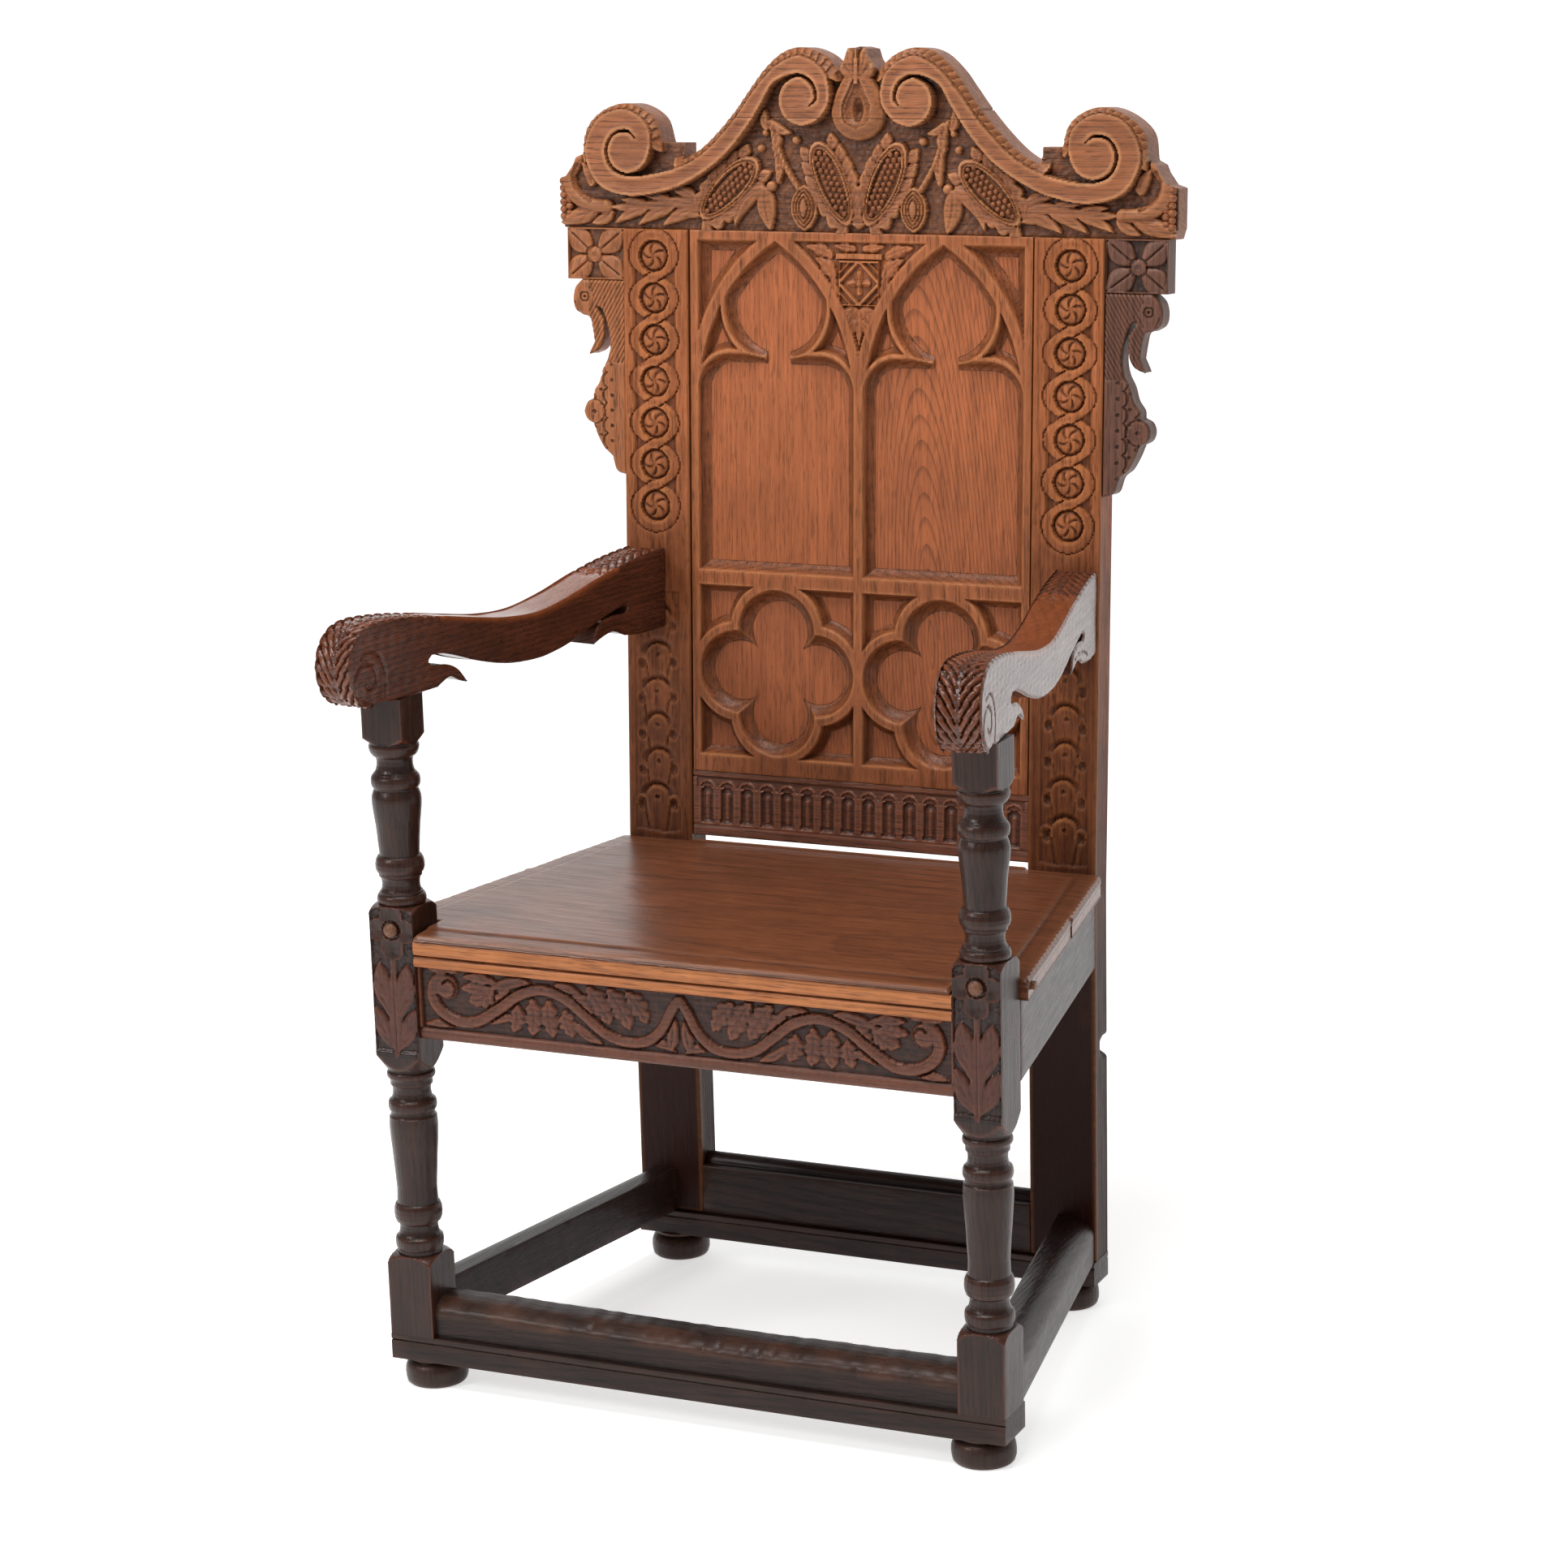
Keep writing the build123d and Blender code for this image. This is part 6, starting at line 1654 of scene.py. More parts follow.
# ------------------------------------------------------------------ rear posts
@dataclass
class RearPosts:
    """Square posts behind the seat, their faces carved above it."""

    inner: float = 181.0
    outer: float = 251.0
    depth: float = 33.0
    axis: float = 218.0
    roundel_top: float = 1030.0
    roundel_pitch: float = 40.7
    roundels: int = 7
    coin_top: float = 639.0
    coin_pitch: float = 36.2
    coins: int = 5
    step: float = 1.25

    def guilloche(self, c: Carving, x: Array) -> None:
        """Two ribbons that cross between round pinwheel bosses.

        Args:
            c: the post's face.
            x: way across it from its middle line.
        """
        last = self.roundel_top - (self.roundels - 1) * self.roundel_pitch
        turn = math.pi / self.roundel_pitch
        swing, half = 21.0, 5.2
        z = c.v
        phase = (z - self.roundel_top) * turn
        fall = np.hypot(1, swing * turn * np.sin(phase))
        first = np.abs(x - swing * np.cos(phase)) / fall
        second = np.abs(x + swing * np.cos(phase)) / fall
        beyond = (z > self.roundel_top) | (z < last)
        end = np.where(z > self.roundel_top, self.roundel_top, last)
        ring = np.abs(np.hypot(x, z - end) - swing)
        first, second = (np.where(beyond, ring, d) for d in (first, second))
        over_first = np.sin(phase) < 0
        over = np.where(over_first, first, second)
        under = np.where(over_first, second, first)
        nearest = np.minimum(first, second)
        inside = (np.abs(x) < swing) & ~beyond | (beyond & (np.hypot(x, z - end) < swing))
        c.sink_to(inside, -3.4)
        outside = ~inside & (nearest > half) & ~beyond & (np.abs(x) < 24)
        c.sink_to(outside, -0.3 - 2.8 * unit((25 - np.abs(x)) / 7))

        def face(d: Array) -> Array:
            """Ribbon's own height across its width, with a fillet at each edge."""
            return -0.1 - 0.3 * (np.abs(d - 3.6) < 0.7) - 0.25 * unit(d / half) ** 4

        lower = np.where(over < half + 1.6, -2.8, face(under))
        c.put((under < half) & (z > last - 26), lower)
        c.put(over < half, face(over))
        edge = np.abs(nearest - half - 0.5) < 0.6
        c.sink_to(edge & (z > last - 28), -2.0)
        for k in range(self.roundels):
            self.pinwheel(c, x, z - (self.roundel_top - k * self.roundel_pitch), k)

    def pinwheel(self, c: Carving, x: Array, z: Array, number: int) -> None:
        """Sunk disc with a boss of curved blades.

        Args:
            c: the post's face.
            x, z: way across and up from the disc's middle.
            number: which disc it is; each is turned a little further.
        """
        r = np.hypot(x, z)
        angle = np.arctan2(z, x)
        c.sink_to(r < 15.4, -5.0)
        blades = 0.5 + 0.5 * np.cos(5 * angle + 0.35 * r + number)
        dome = -3.6 + 3.4 * np.sqrt(unit(1 - (r / 13.6) ** 2))
        dome -= 2.6 * unit(blades * 3.2 - 2.3) * unit(r / 4) * unit((13 - r) / 3)
        c.put(r < 13.6, dome)
        c.put(r < 2.4, -0.6)

    def coin_column(self, c: Carving, x: Array) -> None:
        """Worn scales, their round heads up, with small curls and deep gouge marks beside them.

        Args:
            c: the post's face.
            x: way across it from its middle line, outwards.
        """
        z = c.v + 0.8 * ripple(c.u, c.v, 30, 61)
        inside = (np.abs(x) < 25) & (z < 700)
        c.put(inside & (z > self.coin_top - self.coins * self.coin_pitch), -0.7)
        for k in range(-1, self.coins):
            head = self.coin_top + 9 - k * self.coin_pitch
            half = 13.5 + 1.2 * math.sin(2.1 * k)
            dx, dz = x - 1.2 * math.sin(1.7 * k), z - (head - half)
            r = np.where(dz > 0, np.hypot(dx, dz), np.abs(dx) + 0.16 * np.maximum(-dz, 0))
            body = (dz > 4 - self.coin_pitch) & inside
            over = unit(1 - (r - half) / 7.5) * (r > half) * unit(dz / half + 0.15)
            c.sink_to(inside & (dz > -6), -3.6 * over**1.4 - 0.7)
            cleft = unit(1 - np.abs(r - half - 0.6) / 1.3) * (dz <= 2)
            c.cut(body, 1.5 * cleft)
            shape = -0.15 - 0.9 * unit((r - half + 4) / 4) ** 2 - 0.5 * unit(-dz / 30)
            c.put(body & (r < half), shape)
            c.put(np.hypot(dx, dz - 2) < 2.2, -2.2)
            for side in (-1, 1):
                curl = np.hypot(x - side * 18.0, z - (head - 17 - side)) - 6.2
                c.put((np.abs(curl) < 1.6) & (z > head - 20) & inside, -0.1)
                pit = np.hypot(x - side * 17.5, (z - (head - 20 - side)) * 0.8)
                c.sink_to(pit < 4.2, -3.9 + 0.5 * pit)

    def carve(self, side: int, c: Carving) -> None:
        """The left (-1) or right (1) post's carving, with bruises and the carver's slips.

        Args:
            side: -1 for the left post, 1 for the right.
            c: its face.
        """
        x = c.u - side * self.axis + 0.5 * ripple(c.u, c.v, 70, 11 + side)
        self.coin_column(c, x * side)
        self.guilloche(c, x)
        c.h -= 1.6 * unit(ripple(c.u, c.v, 26, 21 + side) - 1.05) * (c.v > 500)
        plain = 0.15 * ripple(c.u, c.v, 45, 5) - 0.15
        c.h = np.where(c.v < SEAT_TOP, plain, c.h + 0.12 * ripple(c.u, c.v, 12, 6))
        c.h = np.minimum(c.h, 0.0)

    @staticmethod
    def edge(side: int, u: Array, v: Array, t: Array) -> Array:
        """How far a post's edge stands back, unevenly planed."""
        return 0.25 * ripple(v, t * 33, 40, 9 + side) - 0.35

    @staticmethod
    def place(side: int, x: Array, z: Array, depth: Array) -> Array:
        """Where a point of a post lies; a piece has split off the right one's back arris."""
        lost = 10 * np.exp(-(((z - 270) / 9) ** 4)) * unit((depth - 18) / 8)
        return on_rear_post(x - lost * (x > 244) * (side > 0), z, depth)

    def build(self) -> None:
        """Both posts."""
        for side, name in ((-1, "left"), (1, "right")):
            left, right = sorted((side * self.inner, side * self.outer))
            low, high = (left, PLINTH_TOP), (right, BACK_TOP)
            board = Board(
                low, high, self.step, self.depth, partial(self.place, side),
                partial(to_box, low=low, high=high), partial(self.carve, side), edge_radius=1.3, columns=5,
                relief=1.4, soil_and_shade=(-0.9, 2.2, 0.8), edge=partial(self.edge, side),
            )
            obj = mesh_of(f"{name}_rear_post_carved", board.skin())
            dressed(obj, POST_OAK, "back_oak", f"{name}_rear_post")


# ------------------------------------------------------------------ nulled rail
@dataclass
class NulledRail:
    """Rail between seat and tracery with a row of round-headed flutes."""

    half: float = 181.0
    low: float = 455.5
    high: float = 522.0
    front: float = 3.0
    depth: float = 22.0
    pitch: float = 22.0
    flutes: int = 16
    step: float = 1.1

    def carve(self, c: Carving) -> None:
        """Flutes with a tongue in each, under small arches and a fillet.

        Args:
            c: the board's face.
        """
        cell = (c.u + 1000 * self.pitch) % self.pitch - self.pitch / 2
        cell = cell + 0.25 * ripple(c.u, c.v, 60, 2)
        on = np.abs(c.u) < self.flutes * self.pitch / 2
        head = 499.0
        flute = to_box(cell, c.v, (-7.2, 468), (7.2, head + 7.2), 7.1)
        flute = np.where(c.v < 480, to_box(cell, c.v, (-7.2, 468), (7.2, 520), 0.5), flute)
        c.put(on & (flute < 0), -3.0 * unit(-flute / 1.4))
        tongue = to_box(cell, c.v, (-3.4, 464), (3.4, head + 1.5), 3.2)
        c.raise_to(on & (tongue < 0), -3.0 + 1.9 * unit(-tongue / 2.4) ** 0.6)
        chip = on & (flute < 0) & (c.v < 473)
        c.sink_to(chip, -1.0 - 0.28 * (c.v - 467))
        arch = np.abs(np.hypot(cell, (c.v - 503) * 1.05) - 8.6) - 1.3
        c.put(on & (c.v > 505) & (c.v < 514.5), -1.5)
        c.put(on & (arch < 0) & (c.v > 505), 0.0)
        c.put(c.v > 514.5, -0.2)
        c.put(np.abs(c.v - 515.2) < 0.8, -1.2)
        c.h -= 0.5 * (np.abs(c.v - 466) < 0.8)
        c.h += 0.1 * ripple(c.u, c.v, 14, 8) - 0.1

    def place(self, x: Array, z: Array, depth: Array) -> Array:
        """Where a point of the rail lies."""
        return on_back(x, z, self.front + depth)

    def build(self) -> None:
        """The rail."""
        low, high = (-self.half, self.low), (self.half, self.high)
        board = Board(
            low, high, self.step, self.depth, self.place, partial(to_box, low=low, high=high), self.carve,
            edge_radius=1.0, columns=3, relief=1.3, soil_and_shade=(-0.6, 2.0, 0.8),
        )
        dressed(mesh_of("nulled_rail_carved", board.skin()), NULLED_OAK, "back_oak", "nulled_rail")


# ------------------------------------------------------------------ ears
BIRD_OUTLINE = (
    ((47, 0), (55, 8), (57.5, 21), (55, 30), (47, 35)), ((47, 35), (40, 37), (37, 48), (35, 61)),
    ((35, 61), (39, 69), (41, 74)), ((41, 74), (30, 69), (24, 57), (24, 39)),
    ((24, 39), (29, 31), (31, 27), (26, 29)),
    ((26, 29), (21, 42), (17.5, 61), (20, 76), (26, 88), (30, 101), (36, 110), (36.5, 117)),
    ((36.5, 117), (44, 121), (47, 130), (44, 138), (37, 142)),
    ((37, 142), (32, 154), (25, 166), (17, 173), (11, 188), (0, 191.5)), ((0, 191.5), (0, 0)),
)


@dataclass
class Ears:
    """Flower blocks and bird brackets on the outer sides of the rear posts."""

    depth: float = 22.0
    setback: float = 2.0
    block: tuple[Point, Point] = ((251.0, 1006.0), (313.5, 1056.0))
    button: Point = (284.0, 1030.0)
    eye: Point = (295.0, 989.0)
    knob: Point = (286.0, 876.0)
    step: float = 0.9
    outline_points: Array = field(init=False)

    def __post_init__(self) -> None:
        """Work out the bracket's profile once."""
        self.outline_points = self.bird_outline()

    @staticmethod
    def edge(u: Array, v: Array, t: Array) -> Array:
        """How far a bracket's edge stands back, unevenly cut."""
        return 0.3 * ripple(v, t * 22, 16, 3) - 0.3

    def place(self, x: Array, z: Array, depth: Array) -> Array:
        """Where a point of either piece lies."""
        return on_back(x, z, self.setback + depth)

    def flower(self, c: Carving) -> None:
        """Four petals round a button, filling the square.

        Args:
            c: the board's face.
        """
        x, z = np.abs(c.u) - self.button[0], c.v - self.button[1]
        c.h = np.full(c.h.shape, -5.2) + 0.5 * pricked(c.u, c.v, 2.6, 3)
        petals = Carving(x, z)
        petals.h -= 9
        for tx, tz in ((-31, 24), (28, 24), (-31, -22), (28, -22)):
            petals.leaf((tx * 0.1, tz * 0.1), (tx, tz), 12.5, 0, -3.4, 3.2, 0, 0, 1.15)
            crease = to_path(x, z, np.array([(0.0, 0.0), (tx * 0.85, tz * 0.85)]))[0]
            petals.cut(crease < 1.6, 1.5 * (1 - crease / 1.6))
        c.h = np.maximum(c.h, petals.h)
        r = np.hypot(x, z)
        c.sink_to(r < 9.5, -2.6)
        c.put(r < 7.4, -2.0 + 2.0 * np.sqrt(unit(1 - (r / 7.4) ** 2)))
        c.cut(r < 2.4, 0.9)
        rim = to_box(np.abs(c.u), c.v, *self.block)
        c.put(rim > -1.2, -0.5)

    def bird_outline(self) -> Array:
        """Profile of the bracket, right side: a bird's head and neck, then scaled leaves.

        Returns:
            The corners in order, one row each.
        """
        parts = [smooth_path(part, 6)[:-1] for part in BIRD_OUTLINE[:-1]]
        drawn = np.vstack(parts + [np.array(BIRD_OUTLINE[-1])])
        return np.column_stack([REAR_HALF + drawn[:, 0], self.block[0][1] - drawn[:, 1]])

    def bird(self, c: Carving) -> None:
        """Feathered head with an eye, and scales under it down to the tail.

        Args:
            c: the board's face.
        """
        x, z = np.abs(c.u), c.v
        rim = to_polygon(x, z, self.outline_points)
        c.h = -1.6 * unit(1 + rim / 3.5) ** 2
        eye = np.hypot(x - self.eye[0], z - self.eye[1])
        c.cut(np.abs(eye - 4.4) < 1.0, 1.4)
        c.cut(eye < 1.6, 1.8)
        beak = to_path(x, z, smooth_path([(306, 984), (301, 972), (297, 958), (296, 944)], 6))[0]
        c.cut(beak < 0.8, 1.2)
        feathers = (z > 925) & (eye > 9) & (x < 290)
        comb = 0.5 + 0.5 * np.cos((z * 0.9 + (x - 251) * 1.5) * math.tau / 6.5)
        c.h = np.where(feathers, c.h - 1.3 * unit(comb * 1.8 - 0.9) - 0.4, c.h)
        scaled_area = (z < 927) & (z > 812)
        for row, (offset, lift) in enumerate(((30, 9.5), (18, 0.0))):
            phase = np.mod(z + lift, 15.0) - 7.5
            edge_x = 251 + offset + np.sqrt(np.clip(64 - phase**2, 0, 64)) * 0.8
            line = np.abs(x - edge_x) < 1.1
            c.cut(scaled_area & line & (row == 0) & (z < 900), 1.6)
            c.cut(scaled_area & line & (row == 1), 1.6)
            dot = np.hypot(x - 251 - offset + 3, phase) < 1.8
            c.cut(scaled_area & dot, 1.5)
        knob = np.hypot(x - self.knob[0], z - self.knob[1])
        c.raise_to(knob < 12, -0.4 - 0.004 * knob**2)
        c.cut(np.abs(knob - 12) < 0.9, 1.2)
        c.cut(knob < 2, 1.5)
        c.h += 0.12 * ripple(c.u, c.v, 9, 4) - 0.12
        c.h = np.minimum(c.h, 0.0)

    def build(self) -> None:
        """Both flower blocks and both brackets."""
        for side, name in ((-1, "left"), (1, "right")):
            (x0, z0), (x1, z1) = self.block
            left, right = sorted((side * x0, side * x1))
            low, high = (left, z0), (right, z1)
            board = Board(
                low, high, self.step, self.depth, self.place, partial(to_box, low=low, high=high),
                self.flower, edge_radius=0.9, columns=4, relief=1.4, soil_and_shade=(-2.6, 1.8, 0.95),
            )
            finish = EAR_OAK if side < 0 else EAR_OAK_DARK
            dressed(mesh_of(f"{name}_flower_block", board.skin()), finish, "back_oak", f"{name}_ear_block")
            lowest, highest = self.outline_points.min(axis=0), self.outline_points.max(axis=0)
            low, high = sorted((side * lowest[0], side * highest[0]))
            board = Board(
                (low - 1, lowest[1] - 1), (high + 1, highest[1] + 1), self.step, self.depth, self.place,
                lambda u, v: to_polygon(np.abs(u), v, self.outline_points), self.bird, edge_radius=1.2,
                columns=5, relief=1.2, soil_and_shade=(-1.2, 1.2, 0.7), edge=self.edge,
            )
            bird = mesh_of(f"{name}_bird_carved", board.skin())
            dressed(bird, finish, "back_oak", f"{name}_bird_bracket")


# ------------------------------------------------------------------ front posts
@dataclass
class FrontPosts:
    """Turned posts with square blocks at foot, seat rail and arm."""

    axis: Point = (291.0, 24.0)
    half: tuple[float, float] = (23.0, 24.0)
    cup_half: float = 21.0
    neck: float = 21.0
    bead: float = 22.9
    reach: float = 36.0
    lower_block_top: float = 122.0
    seat_block: tuple[float, float] = (314.0, 465.0)
    cup_foot: float = 627.0
    round_over: Point = (9.0, 10.0)
    per_side: int = 36
    step: float = 1.25

    def profile(self) -> Array:
        """Turned outline as (height, radius) rows from the plinth to the arm.

        Returns:
            One row for each height, from the bottom up.
        """
        low = self.lower_block_top
        rows: list[Point] = [(PLINTH_TOP, self.reach), (low - 9, self.reach)]
        rows += self.shoulder(low)
        lower_foot = (
            (3.7, 21.0, None), (12.7, 21.5, 22.9), (13.8, 19.5, 18.2), (19.6, 19.5, 22.9),
            (14.7, 19.0, None),
        )
        lower_head = (
            (5.6, 21.0, 20.8), (11.0, 21.0, 22.9), (15.0, 20.0, 17.9), (4.0, 20.0, None), (2.5, 21.0, None),
            (7.1, 21.0, 22.9), (1.4, 21.5, None),
        )
        rows += self.run(rows[-1][0], self.seat_block[0], lower_foot, lower_head, 22.3)
        rows += [(self.seat_block[0] + 21, self.reach), (self.seat_block[1] - 9, self.reach)]
        rows += self.shoulder(self.seat_block[1])
        upper_foot = (
            (9.6, 20.0, 22.9), (1.4, 20.0, None), (15.0, 20.0, 17.5), (3.0, 20.0, None), (17.0, 18.6, 22.9),
            (1.0, 18.6, None),
        )
        upper_head = (
            (1.3, 21.0, None), (11.6, 21.0, 22.9), (1.8, 20.0, None), (15.9, 18.5, 16.7),
            (11.7, 22.0, 22.9), (1.0, 22.0, None),
        )
        rows += self.run(rows[-1][0], self.cup_foot, upper_foot, upper_head, 20.5)
        rows += [(self.cup_foot + 11, self.reach), (ARM_SEAT, self.reach)]
        return np.array(rows)

    def shoulder(self, z: float) -> list[Point]:
        """Quarter round from a square block in to the turning above it.

        Args:
            z: height of the block's top.
        Returns:
            Rows of height and radius.
        """
        drop, rise = self.round_over
        up, out = drop + rise, self.reach - self.neck
        turn = np.linspace(0.2, math.pi / 2, 8)
        return [(z - drop + up * math.sin(t), self.neck + out * math.cos(t)) for t in turn]

    def run(
        self, low: float, high: float, foot: Sequence[tuple], head: Sequence[tuple], vase_top: float,
    ) -> list[Point]:
        """Turned length between two blocks: mouldings at both ends and a vase between them.

        Args:
            low, high: where it starts and ends.
            foot, head: steps of rise, end radius and the radius half way up a curved step.
            vase_top: radius of the vase's lip.
        Returns:
            Rows of height and radius.
        """
        z, radius = low, self.neck
        rows = [(low + 0.6, radius)]
        for steps in (foot, head):
            for rise, end, middle in steps:
                bulge = middle - (radius + end) / 2 if middle else 0
                for t in (0.06, 0.25, 0.5, 0.75, 0.94, 1.0) if middle else (0.85, 1.0):
                    swell = bulge * math.sqrt(max(1 - (2 * t - 1) ** 2, 0))
                    rows.append((z + rise * t, radius + (end - radius) * t + swell))
                z, radius = z + rise, end
            if steps is foot:
                top = high - sum(step[0] for step in head)
                length = top - z
                vase = [(z, radius), (z + length * 0.4, radius + 1.8), (z + length * 0.86, self.bead)]
                rows += [tuple(p) for p in smooth_path(vase + [(top, vase_top)], 8)]
                z, radius = top, vase_top
        return rows

    @staticmethod
    def leafage(c: Carving, side: int) -> None:
        """Flower round the boss and a spray of leaves under it, on the seat block's face.

        Args:
            c: the post's points, by x and height; only those in front are used.
            side: -1 for the left post, 1 for the right.
        """
        x, z = c.u, c.v
        c.h = np.full(c.h.shape, -2.6) + 0.7 * pricked(x, z, 2.2, 12)
        petals = ((0, 466, 12.5), (-14, 452, 11.5), (14, 452, 11.5), (0, 436, 12.5))
        spread = np.minimum.reduce([to_disc(x, z, (px, pz), r) for px, pz, r in petals])
        nearest = np.minimum.reduce([np.hypot(x - px, z - pz) / r for px, pz, r in petals])
        c.raise_to(spread < 0, -0.2 - 1.5 * unit(1 - nearest) ** 0.8 - 0.3 * unit(1 + spread))
        c.put(np.hypot(x, z - 453) < 9.3, -2.6)
        c.raise_to(to_box(x, z, (-2.6, 414), (2.6, 426)) < 0, -0.3 - 0.06 * x * x)
        spray = Carving(x, z)
        spray.h -= 9
        for s in (-1, 1):
            spray.leaf((s * 1, 376), (s * 15, 421), 9, s * -3, -1.6, 2.0, 0, 2, 1.3)
            spray.leaf((s * 2, 364), (s * 22, 402), 7, s * 2, -1.7, 1.9, 0, 2, 1.2)
            spray.leaf((s * 1, 342), (s * 21, 378), 8.5, s * -3, -1.7, 1.9, 0, 2, 1.25)
            spray.leaf((s * 1, 336), (s * 21, 356), 5.5, s * 2, -1.8, 1.8, 0, 0, 1.2)
        spray.leaf((0, 330), (0, 424), 7, 0, -1.4, 1.5, 0, 0)
        c.h = np.maximum(c.h, spray.h)
        c.put(np.abs(x) > 22, -0.5)
        c.h += 0.15 * ripple(x, z, 7, 13 + side)

    def skin(self, side: int) -> Skin:
        """Closed mesh of one post.

        Args:
            side: -1 for the left post, 1 for the right.
        Returns:
            The mesh, its wear, and its dirt and painted shade.
        """
        rows = self.profile()
        heights = np.concatenate([np.arange(PLINTH_TOP, ARM_SEAT, self.step), rows[:, 0]])
        heights = np.unique(np.round(heights, 2))
        turned = np.interp(heights, rows[:, 0], rows[:, 1])
        n = self.per_side
        line = np.linspace(-1, 1, n, endpoint=False)
        one = np.ones(n)
        sx = np.concatenate([line, one, -line, -one])
        sy = np.concatenate([-one, line, one, -line])
        hx = np.where(heights < self.cup_foot, self.half[0], self.cup_half)[:, None]
        hy = np.where(heights < self.cup_foot, self.half[1], self.cup_half)[:, None]
        x, y = sx * hx, sy * hy
        square = np.hypot(x, y)
        radius = np.minimum(square, turned[:, None])
        x, y = x * radius / square, y * radius / square
        z = np.repeat(heights[:, None], 4 * n, axis=1)
        swell = radius - blurred(radius, 3)
        rubbed = unit(swell / 0.9)
        grime_and_shade = unit(-swell / 0.9)
        corner = np.hypot(np.abs(sx), np.abs(sy)) > 1.36
        flat = (radius > square - 0.01) & ((z < self.cup_foot) | (z > 633))
        rubbed = np.where(flat & corner, 0.6, rubbed)
        ease = np.where(corner & flat, 0.985, 1.0)
        x, y = x * ease, y * ease
        on_block = (z > self.seat_block[0] + 16) & (z < self.seat_block[1] + 8)
        front = (sy == -1) & on_block & (radius > square - 0.01)
        carving = Carving(x, z)
        self.leafage(carving, side)
        depth = np.where(front, -np.minimum(carving.h, 0), 0.0)
        fade = unit((z - 334) / 3)
        y = y + depth * fade
        change = -depth - blurred(-depth, 2)
        rubbed = np.where(front, unit(change / 0.8) + 0.75 * (carving.h > -1.2) * (z < 424), rubbed)
        # Hollows and the deep ground of the carving darken, for dirt and painted shade
        grime_and_shade = np.where(front, unit(-change / 0.8) + 0.5 * (carving.h < -1.9), grime_and_shade)
        x = x + 0.1 * ripple(z, sx * 23 + 50, 25, 17 + side)
        rings = [
            in_chair(side * self.axis[0] + x[k], self.axis[1] + y[k], z[k]) for k in range(len(heights))
        ]
        return ring_skin(rings, unit(rubbed), unit(grime_and_shade))

    def build(self) -> None:
        """Both posts and their bosses."""
        for side, name in ((-1, "left"), (1, "right")):
            post = mesh_of(f"{name}_front_post_turned", self.skin(side))
            dressed(post, TURNED_OAK, "base_oak", f"{name}_front_post")
            boss = worn_copy(f"{name}_boss_button", f"{name}_post_boss", 0.4, 3.0)
            dressed(boss, BOSS_OAK, "base_oak", f"{name}_post_boss")


